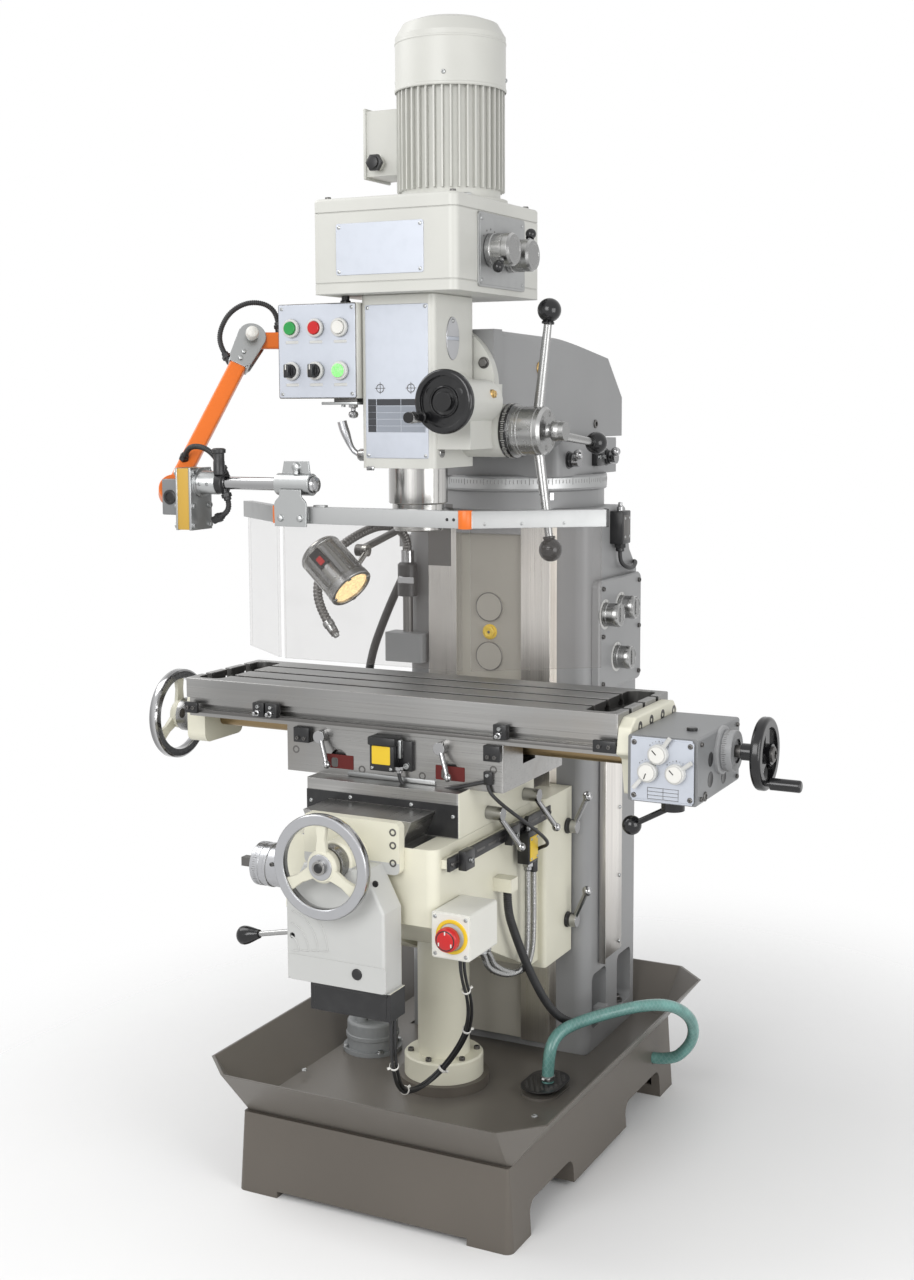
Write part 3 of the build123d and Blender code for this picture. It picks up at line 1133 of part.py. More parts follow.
# Cross feed: bracket with the bearing boss, the power unit below it and its motor can
feed_pivot = (-UNIT_W / 2, -157, 531)
with BuildPart() as cross_feed_unit:
    block(-BRACKET_W / 2, BRACKET_W / 2, KNEE_FRONT - BRACKET_T, KNEE_FRONT, CROSS_Z - 28, KNEE_TOP + 44)
    fillet(cross_feed_unit.edges().filter_by(Axis.Y), 10)
    rod((0, KNEE_FRONT - BRACKET_T + 1, CROSS_Z), (0, -1, 0), BOSS_R, BOSS_L)
    prism_y(
        [
            (-UNIT_W / 2, UNIT_Z0), (UNIT_W / 2, UNIT_Z0), (UNIT_W / 2, UNIT_SHOULDER),
            (UNIT_NECK / 2, CROSS_Z - 10), (-UNIT_NECK / 2, CROSS_Z - 10), (-UNIT_W / 2, UNIT_SHOULDER),
        ],
        UNIT_Y0, KNEE_FRONT - BRACKET_T + 1,
    )
    fillet(cross_feed_unit.faces().filter_by(Axis.Y).sort_by(Axis.Y)[0].edges(), 5)
    block(CAN_X - CAN_W / 2, CAN_X + CAN_W / 2, UNIT_Y0 + 6, UNIT_Y1, CAN_Z0, UNIT_Z0 + 1)
    rod((0, KNEE_FRONT + 1, CROSS_Z), (0, -1, 0), CROSS_SCREW_R + RUN, 200, Mode.SUBTRACT)
    rod((feed_pivot[0] - 1, feed_pivot[1], feed_pivot[2]), (1, 0, 0), 9, 30, Mode.SUBTRACT)
    rod((feed_pivot[0] + 12, UNIT_Y0 - 5, feed_pivot[2]), (0, 1, 0), 5 + RUN, 60, Mode.SUBTRACT)
    block(
        feed_pivot[0] - 1, feed_pivot[0] + 24, feed_pivot[1] - 8, feed_pivot[1] + 8,
        feed_pivot[2] - 18, feed_pivot[2] + 18, Mode.SUBTRACT,
    )
save(cross_feed_unit.part, "cross_feed_unit")

lever_axis = (feed_pivot[0] + 12, feed_pivot[1], feed_pivot[2])
lever_end = (-196, feed_pivot[1], 507)
lever_way = (Vector(*lever_end) - Vector(*lever_axis)).normalized()
grip_end = tuple(Vector(*lever_end) + lever_way * 10)
grip_start = tuple(Vector(*lever_end) - lever_way * 30)
with BuildPart() as cross_feed_lever:
    rod((lever_axis[0], UNIT_Y0 + 6, lever_axis[2]), (0, 1, 0), 5, 46)
    rod((lever_axis[0], lever_axis[1] - 7, lever_axis[2]), (0, 1, 0), 8, 14)
    rod_between(lever_axis, grip_start, 4.5)
    with BuildSketch(Plane(origin=grip_start, z_dir=lever_way)):
        Circle(7)
    with BuildSketch(Plane(origin=grip_end, z_dir=lever_way)):
        Circle(12)
    loft()
    fillet(cross_feed_lever.edges().filter_by(GeomType.CIRCLE).sort_by(Axis.X)[0], 5)
save(cross_feed_lever.part, "cross_feed_lever")

with BuildPart() as cross_screw:
    rod((0, CROSS_WHEEL_Y - 12, CROSS_Z), (0, 1, 0), CROSS_SCREW_R, 344 - CROSS_WHEEL_Y)
    dial_l = KNEE_FRONT - BRACKET_T + 1 - BOSS_L - GAP - CROSS_WHEEL_Y - 15
    rod((0, CROSS_WHEEL_Y + 15, CROSS_Z), (0, 1, 0), 30, dial_l)
save(cross_screw.part, "cross_screw")
cross_plane = Plane(origin=(0, CROSS_WHEEL_Y, CROSS_Z), z_dir=(0, -1, 0), x_dir=(0, 0, 1))
save(handwheel(cross_plane, WHEEL_R, WHEEL_TUBE, WHEEL_HUB_R, 28, CROSS_SCREW_R, 3, 20), "cross_handwheel")

loom = cord(LOOM_ROUTE, LOOM_R, "loom")
conduit = ribbed(CONDUIT_ROUTE, CONDUIT_R, CONDUIT_PITCH, (1, 0, 0), "conduit")
save(group(loom, conduit), "knee_cables")

# Saddle: lower plate on the knee's dovetail, upper block with the table's dovetail on top
plate_z0 = KNEE_TOP + GAP
dove_top = SADDLE_TOP + TABLE_DOVE_H
saddle_clamps = {"front": 86, "rear": 240}
saddle_clamp_z = KNEE_TOP + 22
table_clamps = {"left": -139, "right": 100}
table_clamp_z = SADDLE_TOP - 14
with BuildPart() as saddle:
    block(-KNEE_W / 2, KNEE_W / 2, PLATE_Y0, PLATE_Y1, plate_z0, PLATE_TOP + 1)
    fillet(saddle.edges().filter_by(Axis.Z), 4)
    block(-SADDLE_W / 2, SADDLE_W / 2, SADDLE_Y0, SADDLE_Y1, PLATE_TOP, SADDLE_TOP - GAP)
    upright = saddle.edges().filter_by(Axis.Z)
    fillet(upright.filter_by_position(Axis.X, SADDLE_W / 2 - 1, SADDLE_W / 2 + 1), 5)
    prism_y(
        [
            (-CROSS_WAY_ROOT / 2 - GAP, plate_z0 - 1), (CROSS_WAY_ROOT / 2 + GAP, plate_z0 - 1),
            (CROSS_WAY_TOP / 2 + GAP, CROSS_WAY_Z), (-CROSS_WAY_TOP / 2 - GAP, CROSS_WAY_Z),
        ],
        PLATE_Y0 - 5, PLATE_Y1 + 5, Mode.SUBTRACT,
    )
    prism_x(
        [
            (SCREW_Y - TABLE_DOVE_ROOT / 2, SADDLE_TOP - 1),
            (SCREW_Y + TABLE_DOVE_ROOT / 2, SADDLE_TOP - 1),
            (SCREW_Y + TABLE_DOVE_TOP / 2, dove_top), (SCREW_Y - TABLE_DOVE_TOP / 2, dove_top),
        ],
        -SADDLE_W / 2, SADDLE_W / 2,
    )
    for side in (-1, 1):
        block(
            *sorted((side * 34, side * (SADDLE_W / 2 + 5))), SCREW_Y - 26, SCREW_Y + 26,
            SCREW_Z - 24, dove_top + 1, Mode.SUBTRACT,
        )
    rod((-60, SCREW_Y, SCREW_Z), (1, 0, 0), SCREW_R + RUN, 120, Mode.SUBTRACT)
    block(-NUT_W / 2, NUT_W / 2, NUT_Y, nut_y1, CROSS_Z - 20, CROSS_WAY_Z + 1)
    rod((0, NUT_Y - 5, CROSS_Z), (0, 1, 0), CROSS_SCREW_R + RUN, NUT_L + 10, Mode.SUBTRACT)
    for recess_x in (-107, 112):
        rod((recess_x, SADDLE_Y0 + 10, 791), (0, -1, 0), 17, 20, Mode.SUBTRACT)
    for clamp_x in table_clamps.values():
        bored((clamp_x, SADDLE_Y0, table_clamp_z), (0, -1, 0), 6, 30)
    for clamp_y in saddle_clamps.values():
        bored((KNEE_W / 2, clamp_y, saddle_clamp_z), (1, 0, 0), 6, SADDLE_CLAMP_PIN + 4)
save(saddle.part, "saddle")

for place, clamp_x in table_clamps.items():
    at = (clamp_x, SADDLE_Y0 - GAP, table_clamp_z)
    tip = (clamp_x + 21, SADDLE_Y0 - 24, table_clamp_z - 46)
    save(clamp_lever(at, (0, -1, 0), 11, 16, 6, 26, tip, 4.5, 7), f"table_clamp_{place}")
for place, clamp_y in saddle_clamps.items():
    at = (KNEE_W / 2 + GAP, clamp_y, saddle_clamp_z)
    tip = (KNEE_W / 2 + 46, clamp_y + 40, saddle_clamp_z - 66)
    save(clamp_lever(at, (1, 0, 0), 12, 30, 6, SADDLE_CLAMP_PIN, tip, 5, 8), f"saddle_clamp_{place}")

# Table: slab with three T-slots and end pockets, on the saddle's dovetail
slot_ys = [SCREW_Y + step * TSLOT_PITCH for step in (-1, 0, 1)]
with BuildPart() as table:
    block(-TABLE_END, TABLE_END, 0, TABLE_W, TABLE_TOP - SLAB_T, TABLE_TOP)
    fillet(table.edges().filter_by(Axis.Z), 4)
    chamfer(table.faces().sort_by(Axis.Z)[-1].edges(), 1)
    block(-TABLE_END, TABLE_END, SKIRT_IN, TABLE_W - SKIRT_IN, SADDLE_TOP, TABLE_TOP - SLAB_T + 1)
    prism_x(
        [
            (SCREW_Y - TABLE_DOVE_ROOT / 2 - GAP, SADDLE_TOP - 1),
            (SCREW_Y + TABLE_DOVE_ROOT / 2 + GAP, SADDLE_TOP - 1),
            (SCREW_Y + TABLE_DOVE_TOP / 2 + GAP, dove_top + GAP),
            (SCREW_Y - TABLE_DOVE_TOP / 2 - GAP, dove_top + GAP),
        ],
        -TABLE_END - 5, TABLE_END + 5, Mode.SUBTRACT,
    )
    for slot_y in slot_ys:
        block(
            -TABLE_END - 5, TABLE_END + 5, slot_y - TSLOT_W / 2, slot_y + TSLOT_W / 2,
            TABLE_TOP - TSLOT_NECK - 1, TABLE_TOP + 5, Mode.SUBTRACT,
        )
        block(
            -TABLE_END - 5, TABLE_END + 5, slot_y - TSLOT_HEAD_W / 2, slot_y + TSLOT_HEAD_W / 2,
            TABLE_TOP - TSLOT_NECK - TSLOT_HEAD_H, TABLE_TOP - TSLOT_NECK, Mode.SUBTRACT,
        )
    with BuildSketch(Plane.XY.offset(TABLE_TOP + 5)):
        for side in (-1, 1):
            with Locations((side * (TABLE_END - POCKET_RIM - POCKET_END / 2), SCREW_Y)):
                RectangleRounded(POCKET_END, TABLE_W - 2 * POCKET_RIM, 16)
    extrude(amount=-POCKET_DEEP - 5, mode=Mode.SUBTRACT)
    block(
        -TABLE_END - 5, TABLE_END + 5, SKIRT_IN - 1, SKIRT_IN + 8, SADDLE_TOP + 15, SADDLE_TOP + 23,
        Mode.SUBTRACT,
    )
save(table.part, "table")

with BuildPart() as end_left:
    block(-TABLE_END - LEFT_END_T, -TABLE_END, SCREW_Y - 62, SCREW_Y + 62, SCREW_Z - 38, SADDLE_TOP + 30)
    fillet(end_left.edges().filter_by(Axis.X), 16)
    rod((-TABLE_END, SCREW_Y, SCREW_Z), (-1, 0, 0), 36, LEFT_END_T + 14)
    rod((-TABLE_END + 5, SCREW_Y, SCREW_Z), (-1, 0, 0), JOURNAL_R + RUN, 120, Mode.SUBTRACT)
with BuildPart() as end_right:
    prism_x(
        [
            (-6, TABLE_TOP - 64), (4, TABLE_TOP - 22), (26, TABLE_TOP - 8), (206, TABLE_TOP - 8),
            (222, TABLE_TOP - 24),
            (222, TABLE_TOP - 88), (196, SCREW_Z - 42), (30, SCREW_Z - 42), (18, TABLE_TOP - 76),
        ],
        TABLE_END, TABLE_END + END_T,
    )
    fillet(end_right.edges().filter_by(Axis.X), 6)
    fillet(end_right.faces().sort_by(Axis.X)[-1].edges(), 3)
    rod((TABLE_END - 5, SCREW_Y, SCREW_Z), (1, 0, 0), JOURNAL_R + RUN, 80, Mode.SUBTRACT)
save(group(end_left.part, end_right.part), "table_end_brackets")

with BuildPart() as table_screw:
    rod((-TABLE_END + GAP, SCREW_Y, SCREW_Z), (1, 0, 0), SCREW_R, TABLE_L - 2 * GAP)
    rod((TABLE_WHEEL_X - 12, SCREW_Y, SCREW_Z), (1, 0, 0), JOURNAL_R, FEED_X0 - TABLE_WHEEL_X + 72)
    dial_x = -TABLE_END - LEFT_END_T - 14 - GAP
    rod((dial_x, SCREW_Y, SCREW_Z), (-1, 0, 0), 32, dial_x - TABLE_WHEEL_X - 15)
    rod((FEED_X0 + 40, SCREW_Y, SCREW_Z), (1, 0, 0), 22, 20)
save(table_screw.part, "table_screw")
table_wheel_plane = Plane(origin=(TABLE_WHEEL_X, SCREW_Y, SCREW_Z), z_dir=(-1, 0, 0), x_dir=(0, 0, 1))
table_wheel = handwheel(table_wheel_plane, WHEEL_R - 2, WHEEL_TUBE, WHEEL_HUB_R, 28, JOURNAL_R, 3, 20)
save(table_wheel, "table_handwheel")

# Table feed gearbox with its wheel, selector knobs and ball lever
feed_z1 = FEED_Z0 + FEED_H
with BuildPart() as feed_gearbox:
    block(FEED_X0, feed_x1, FEED_Y0, FEED_Y1, FEED_Z0, feed_z1)
    fillet(feed_gearbox.edges().filter_by(Axis.Y), 5)
    block(
        FEED_X0 + FEED_WALL, feed_x1 - FEED_WALL, FEED_Y0 + FEED_WALL + 6, FEED_Y1 - FEED_WALL,
        FEED_Z0 + FEED_WALL + 6, feed_z1 - FEED_WALL, Mode.SUBTRACT,
    )
    block(FEED_X0 + 8, feed_x1 - 8, FEED_Y0 - 4, FEED_Y0 + 1, FEED_Z0 + 2, feed_z1 - 2)
    rod((feed_x1 - 1, FEED_WHEEL_Y, FEED_WHEEL_Z), (1, 0, 0), 33, 25)
    chamfer(feed_gearbox.edges().filter_by(GeomType.CIRCLE).sort_by(Axis.X)[-1], 3)
    rod((FEED_X0 - 5, SCREW_Y, SCREW_Z), (1, 0, 0), JOURNAL_R + 2, 40, Mode.SUBTRACT)
    rod((feed_x1 - 30, FEED_WHEEL_Y, FEED_WHEEL_Z), (1, 0, 0), 10 + RUN, 80, Mode.SUBTRACT)
    for knob_x, knob_z in FEED_KNOBS.values():
        bored((knob_x, FEED_Y0 - 4, knob_z), (0, -1, 0), 5, 24)
    rod((FEED_LEVER_X, FEED_LEVER_Y, FEED_Z0 - 1), (0, 0, 1), 8 + RUN, 14, Mode.SUBTRACT)
save(feed_gearbox.part, "feed_gearbox")

feed_plane = Plane(origin=(FEED_WHEEL_X, FEED_WHEEL_Y, FEED_WHEEL_Z), z_dir=(1, 0, 0), x_dir=(0, 1, 0))
with BuildPart(feed_plane) as feed_handwheel:
    Cylinder(FEED_WHEEL_R + 6, 18)
    fillet(feed_handwheel.edges().filter_by(GeomType.CIRCLE), 6)
    Cylinder(FEED_WHEEL_R - 10, 40, mode=Mode.SUBTRACT)
    with PolarLocations(FEED_WHEEL_R / 2 - 4, 3, start_angle=90):
        Box(FEED_WHEEL_R - 8, 22, 9)
    Cylinder(17, 26)
    with Locations((0, 0, -24)):
        Cylinder(14, 26)
    with Locations((0, 0, (feed_x1 - 26 - FEED_WHEEL_X) / 2)):
        Cylinder(10, FEED_WHEEL_X - feed_x1 + 26)
    with Locations((-24, -43, 12)):
        Cylinder(5, 24)
    with Locations((-24, -43, 43)):
        Cylinder(10, 50)
    fillet(feed_handwheel.edges().filter_by(GeomType.CIRCLE).sort_by(Axis.X)[-1], 4)
save(feed_handwheel.part, "feed_handwheel")

for place, (knob_x, knob_z) in FEED_KNOBS.items():
    rise = {"upper": (0.6, 0.8), "left": (-0.65, -0.76), "right": (0.8, 0.6)}[place]
    with BuildPart() as selector_knob:
        rod((knob_x, FEED_Y0 - 4 - GAP, knob_z), (0, -1, 0), FEED_KNOB_R, 12)
        chamfer(selector_knob.edges().sort_by(Axis.Y)[0], 1.5)
        rod((knob_x, FEED_Y0 + 14, knob_z), (0, -1, 0), 5, 22)
        rod_between(
            (knob_x + rise[0] * 10, FEED_Y0 - 11, knob_z + rise[1] * 10),
            (knob_x + rise[0] * 35, FEED_Y0 - 15, knob_z + rise[1] * 35), 3.6,
        )
    save(selector_knob.part, f"feed_knob_{place}")

with BuildPart() as feed_lever:
    rod((FEED_LEVER_X, FEED_LEVER_Y, FEED_Z0 - GAP), (0, 0, -1), 19, 16)
    rod((FEED_LEVER_X, FEED_LEVER_Y, FEED_Z0 - 2), (0, 0, 1), 8, 12)
    rod_between((FEED_LEVER_X, FEED_LEVER_Y, FEED_Z0 - 10), FEED_BALL, 5)
    ball(FEED_BALL, 16)
save(feed_lever.part, "feed_lever")

# Guard: arm bolted to the ram's left side, and the rail with its panes hanging on the arm's bar
shoulder = (-RAM_W / 2, RAM_FRONT + 70, ELBOW[2])
elbow_loop = [
    (-296, 131, ELBOW[2] + 30), (-298, 130, ELBOW[2] + 50), (-316, 120, ELBOW[2] + 68),
    (-346, 104, ELBOW[2] + 70),
    (-374, 89, ELBOW[2] + 52), (-388, 78, ELBOW[2] + 20), (-384, 71, ELBOW[2] - 8),
    (-370, 69, ELBOW[2] - 26),
]
wrist_loop = [
    (-363, -72, WRIST[2] + 57), (-353, -78, WRIST[2] + 69), (-334, -84, WRIST[2] + 75),
    (-308, -88, WRIST[2] + 72),
    (-286, GUARD_Y, WRIST[2] + 58), (-274, GUARD_Y, WRIST[2] + 40),
]
wrist_tail = [
    (-262, GUARD_Y, WRIST[2] - 14), (-258, GUARD_Y, WRIST[2] - 26), (-264, GUARD_Y, WRIST[2] - 40),
    (-276, GUARD_Y, WRIST[2] - 46),
]
with BuildPart() as guard_arm:
    block(
        shoulder[0] - 14, shoulder[0] + 4, shoulder[1] - 30, shoulder[1] + 30,
        shoulder[2] - 34, shoulder[2] + 14,
    )
    run = Vector(*ELBOW) - Vector(shoulder[0] - 6, shoulder[1], shoulder[2])
    with BuildSketch(Plane(origin=(shoulder[0] - 6, shoulder[1], shoulder[2]), z_dir=run, x_dir=(0, 0, 1))):
        RectangleRounded(ARM_T, ARM_T, 5)
    extrude(amount=run.length)
    rod((ELBOW[0], ELBOW[1], ELBOW[2] - 22), (0, 0, 1), 22, 44)
    drop = Vector(*WRIST) - Vector(*ELBOW)
    with BuildSketch(Plane(origin=ELBOW, z_dir=drop, x_dir=(0, 1, 0))):
        RectangleRounded(ARM_T, ARM_T, 5)
    extrude(amount=drop.length)
    rod((WRIST[0] - 26, WRIST[1], WRIST[2]), (1, 0, 0), 24, 52)
    block(WRIST[0] + 25, -292, GUARD_Y - 22, GUARD_Y + 22, GUARD_BAR_Z - 45, GUARD_BAR_Z + 16)
    rod((-293, GUARD_Y, GUARD_BAR_Z), (1, 0, 0), GUARD_BAR_R, GUARD_BAR_L)
    block(
        -RAM_W / 2 + 4, -RAM_W / 2 + 30, shoulder[1] - 40, shoulder[1] + 40,
        shoulder[2] - 60, shoulder[2] + 40,
        Mode.SUBTRACT,
    )
    for loop in (elbow_loop, wrist_loop, wrist_tail):
        for end, inner in ((loop[0], loop[1]), (loop[-1], loop[-2])):
            inward = (Vector(*end) - Vector(*inner)).normalized()
            rod(tuple(Vector(*end) + inward * 0.2), tuple(inward), LOOP_R + 2, 18)
loops = [
    ribbed(loop, LOOP_R, LOOP_PITCH, steady, name)
    for name, loop, steady in (
        ("elbow loop", elbow_loop, (0.47, -0.88, 0)), ("wrist loop", wrist_loop, (0, 1, 0)),
        ("wrist tail", wrist_tail, (0, 1, 0)),
    )
]
save(group(guard_arm.part, *loops), "guard_arm")

guard_folds = [GUARD_LEFT_END, GUARD_LEFT, GUARD_RIGHT, GUARD_RIGHT_END]


def strip(start, end, short0, short1, thick, z0, z1, push=0):
    """An upright strip between two points in plan, shortened at its ends and pushed sideways."""
    way = Vector(end[0] - start[0], end[1] - start[1])
    unit = way / way.length
    side = Vector(-unit.Y, unit.X)
    a = Vector(*start) + unit * short0 + side * push
    b = Vector(*end) - unit * short1 + side * push
    half = side * (thick / 2)
    prism_z([(p.X, p.Y) for p in (a - half, b - half, b + half, a + half)], z0, z1)


rail_z0 = GUARD_Z - GUARD_RAIL_H / 2
rail_z1 = GUARD_Z + GUARD_RAIL_H / 2
with BuildPart() as guard_screen:
    for start, end in zip(guard_folds, guard_folds[1:]):
        strip(start, end, 0, 0, GUARD_RAIL_T, rail_z0, rail_z1)
    for corner in (GUARD_LEFT, GUARD_RIGHT):
        rod((corner[0], corner[1], rail_z0), (0, 0, 1), GUARD_RAIL_T * 0.62, GUARD_RAIL_H)
    block(
        GUARD_CLAMP_X0, GUARD_CLAMP_X0 + GUARD_CLAMP_L, GUARD_Y - GUARD_BAR_R - 5, GUARD_Y + GUARD_BAR_R + 5,
        rail_z1 - 1, GUARD_BAR_Z + GUARD_BAR_R + 6,
    )
    rod(
        (GUARD_CLAMP_X0 - 2, GUARD_Y, GUARD_BAR_Z), (1, 0, 0), GUARD_BAR_R + RUN, GUARD_CLAMP_L + 4,
        Mode.SUBTRACT,
    )
save(guard_screen.part, "guard_screen")

with BuildPart() as guard_panes:
    for start, end in zip(guard_folds, guard_folds[1:]):
        strip(start, end, 8, 8, GUARD_PANE_T, rail_z0 - GUARD_PANE_H, rail_z0)
save(guard_panes.part, "guard_panes")

# Work lamp on its arm
aim = Vector(*LAMP_AIM).normalized()
lamp_back = Vector(*LAMP_AT) - aim * (LAMP_L / 2)
ear_x = LAMP_PIVOT[0] + GAP
with BuildPart() as work_lamp:
    rod(tuple(lamp_back), tuple(aim), LAMP_R, LAMP_L)
    fillet(work_lamp.edges().filter_by(GeomType.CIRCLE).sort_by(Axis(tuple(lamp_back), tuple(aim)))[0], 8)
    rod(tuple(lamp_back + aim * (LAMP_L - 4)), tuple(aim), LAMP_R - 5, 30, Mode.SUBTRACT)
    rod((ear_x, LAMP_PIVOT[1], LAMP_PIVOT[2]), (1, 0, 0), 11, 9)
    rod_between((ear_x + 7, LAMP_PIVOT[1], LAMP_PIVOT[2]), tuple(Vector(*LAMP_AT) + Vector(36, 22, 9)), 5)
    rod((ear_x - 2, LAMP_PIVOT[1], LAMP_PIVOT[2]), (1, 0, 0), LAMP_PIN_R + RUN, 40, Mode.SUBTRACT)
save(work_lamp.part, "work_lamp")
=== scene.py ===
"""Looks of a milling drilling machine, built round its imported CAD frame."""

import logging
import math
from collections.abc import Callable, Sequence
from dataclasses import dataclass
from enum import Enum
from itertools import product

import bmesh
import bpy
from mathutils import Matrix, Vector


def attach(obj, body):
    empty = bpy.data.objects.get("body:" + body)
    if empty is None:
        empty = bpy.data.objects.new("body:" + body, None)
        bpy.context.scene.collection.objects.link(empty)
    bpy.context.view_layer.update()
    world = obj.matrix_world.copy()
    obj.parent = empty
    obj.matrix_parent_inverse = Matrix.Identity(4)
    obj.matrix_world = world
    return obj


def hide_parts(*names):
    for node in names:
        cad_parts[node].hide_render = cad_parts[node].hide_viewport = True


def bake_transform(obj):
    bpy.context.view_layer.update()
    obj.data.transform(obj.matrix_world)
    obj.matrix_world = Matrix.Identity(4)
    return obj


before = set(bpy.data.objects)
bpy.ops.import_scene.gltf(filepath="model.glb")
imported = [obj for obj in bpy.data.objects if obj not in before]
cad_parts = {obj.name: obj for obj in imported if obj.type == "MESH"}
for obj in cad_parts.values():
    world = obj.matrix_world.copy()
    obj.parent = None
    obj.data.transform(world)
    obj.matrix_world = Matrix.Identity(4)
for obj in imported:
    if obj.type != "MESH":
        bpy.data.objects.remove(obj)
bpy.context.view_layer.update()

LOG = logging.getLogger("machine")
MM = 0.001
DATUM = Vector((79.0, 306.0, 0.0))      # the drawing's point that lies over the frame's origin
SHARP = math.radians(34)                # edges that turn further than this stay crisp
EDGE_RADIUS = 0.0014                    # how far the shaders ease an edge, in metres
# painted reflection: bright metal's colour is banded across this way as if it reflected its surroundings
REFLECTION_BAND_WAY = (0.86, 0.46, 0.22)          # the way across which bright metal is banded
TUBE_SIDES = 12                         # faces round a hoop's bar
BALL_BANDS = 14                         # bands from pole to pole of a ball
SHEATH_STEP = 0.003                     # rings along a plain sheath that bends, in metres
ROUTE_STEP = 0.006                      # points along a cord's declared route, in metres
SHEATH_SIDES = 18                       # faces round a meshed sheath
RIB_POINTS = 8                          # rings to each rib of a corrugated sheath
HEAD_SIDES = 24                         # faces round a screw's head

Triple = tuple[float, float, float]
Route = tuple[Triple, ...]
Outline = list[tuple[float, float]]
Profile = Sequence[tuple[float, ...]]   # radius, height and, where the ring has flats, their number

CAP_HEAD: Profile = ((0.75, 0), (0.75, 0.72), (0.68, 0.8), (0.43, 0.8, 6), (0.43, 0.35, 6), (0, 0.3))
CROSS_HEAD: Profile = ((1, 0), (0.97, 0.25), (0.75, 0.5), (0.34, 0.56, 4), (0.2, 0.2, 4), (0, 0.16))
HEX_HEAD: Profile = ((1.15, 0), (1.15, 0.16), (0.84, 0.17, 6), (0.84, 0.7, 6), (0.74, 0.82), (0, 0.82))


def spot(point: Sequence[float]) -> Vector:
    """A point of the drawing, in millimetres, as metres in the shared frame."""
    return (Vector(point) - DATUM) * MM


def shade(colour: Triple, share: float) -> Triple:
    """A colour made darker or lighter by a share."""
    return tuple(min(1.0, part * share) for part in colour)


class Way(Enum):
    """A direction of the drawing."""

    RIGHT = (1, 0, 0)
    LEFT = (-1, 0, 0)
    BACK = (0, 1, 0)
    FRONT = (0, -1, 0)
    UP = (0, 0, 1)
    DOWN = (0, 0, -1)

    @property
    def vector(self) -> Vector:
        """The direction as a vector."""
        return Vector(self.value)


RIGHT, LEFT, BACK, FRONT, UP, DOWN = Way


class Sock:
    """A shader socket that takes part in Python arithmetic."""

    def __init__(self, tree: "Graph", socket: bpy.types.NodeSocket) -> None:
        """Keep the tree that the socket belongs to."""
        self.tree = tree
        self.socket = socket

    def __add__(self, other: "Value") -> "Sock":
        """The sum."""
        return self.tree.maths("ADD", self, other)

    def __radd__(self, other: "Value") -> "Sock":
        """The sum, from the right."""
        return self.tree.maths("ADD", other, self)

    def __sub__(self, other: "Value") -> "Sock":
        """The difference."""
        return self.tree.maths("SUBTRACT", self, other)

    def __rsub__(self, other: "Value") -> "Sock":
        """The difference, from the right."""
        return self.tree.maths("SUBTRACT", other, self)

    def __mul__(self, other: "Value") -> "Sock":
        """The product."""
        return self.tree.maths("MULTIPLY", self, other)

    def __rmul__(self, other: "Value") -> "Sock":
        """The product, from the right."""
        return self.tree.maths("MULTIPLY", other, self)

    def __pow__(self, other: "Value") -> "Sock":
        """The power."""
        return self.tree.maths("POWER", self, other)

    def __gt__(self, other: "Value") -> "Sock":
        """One where this is the larger, else nought."""
        return self.tree.maths("GREATER_THAN", self, other)

    def __lt__(self, other: "Value") -> "Sock":
        """One where this is the smaller, else nought."""
        return self.tree.maths("LESS_THAN", self, other)

    def wave(self) -> "Sock":
        """The sine."""
        return self.tree.maths("SINE", self)

    def most(self, other: "Value") -> "Sock":
        """The larger of the two."""
        return self.tree.maths("MAXIMUM", self, other)

    def ease(self, low: float, high: float) -> "Sock":
        """Nought below low, one above high and a smooth rise between."""
        return self.tree.node(
            "ShaderNodeMapRange", {"interpolation_type": "SMOOTHSTEP"}, {0: self, 1: low, 2: high},
        )


Value = Sock | float


class Graph:
    """The nodes of a material or of the world, and the one way to add to them."""

    def __init__(self, owner: bpy.types.Material | bpy.types.World) -> None:
        """Start with no nodes.

        Args:
            owner: The material or the world that the nodes belong to.
        """
        owner.use_nodes = True
        self.nodes = owner.node_tree.nodes
        self.links = owner.node_tree.links
        self.nodes.clear()

    def node(
        self, kind: str, settings: dict | None = None, inputs: dict | None = None, out: int | str = 0,
    ) -> Sock:
        """Add a node.

        Args:
            kind: The node's type.
            settings: Its own settings, set first.
            inputs: Values or sockets for its inputs, by name or number.
            out: The output that is wanted.

        Returns:
            The wanted output.
        """
        made = self.nodes.new(kind)
        for key, value in (settings or {}).items():
            setattr(made, key, value)
        for key, value in (inputs or {}).items():
            self.feed(made.inputs[key], value)
        return Sock(self, (made.outputs or made.inputs)[out])

    def feed(self, socket: bpy.types.NodeSocket, value: Value | Triple) -> None:
        """Link a socket, or set its value.

        Args:
            socket: The input.
            value: An output to link, a number or a colour.
        """
        if isinstance(value, Sock):
            self.links.new(value.socket, socket)
        elif isinstance(value, tuple) and len(value) == 3 and socket.type == "RGBA":
            socket.default_value = (*value, 1)
        else:
            socket.default_value = value

    def maths(self, operation: str, *values: Value) -> Sock:
        """Add a Math node."""
        return self.node("ShaderNodeMath", {"operation": operation}, dict(enumerate(values)))

    def mix(self, share: Value, first: Sock | Triple, second: Sock | Triple) -> Sock:
        """Blend two colours by a share."""
        return self.node("ShaderNodeMix", {"data_type": "RGBA"}, {0: share, 6: first, 7: second}, 2)

    def vector(self, operation: str, *values: Sock | Triple, out: int | str = 0) -> Sock:
        """Add a Vector Math node."""
        return self.node("ShaderNodeVectorMath", {"operation": operation}, dict(enumerate(values)), out)


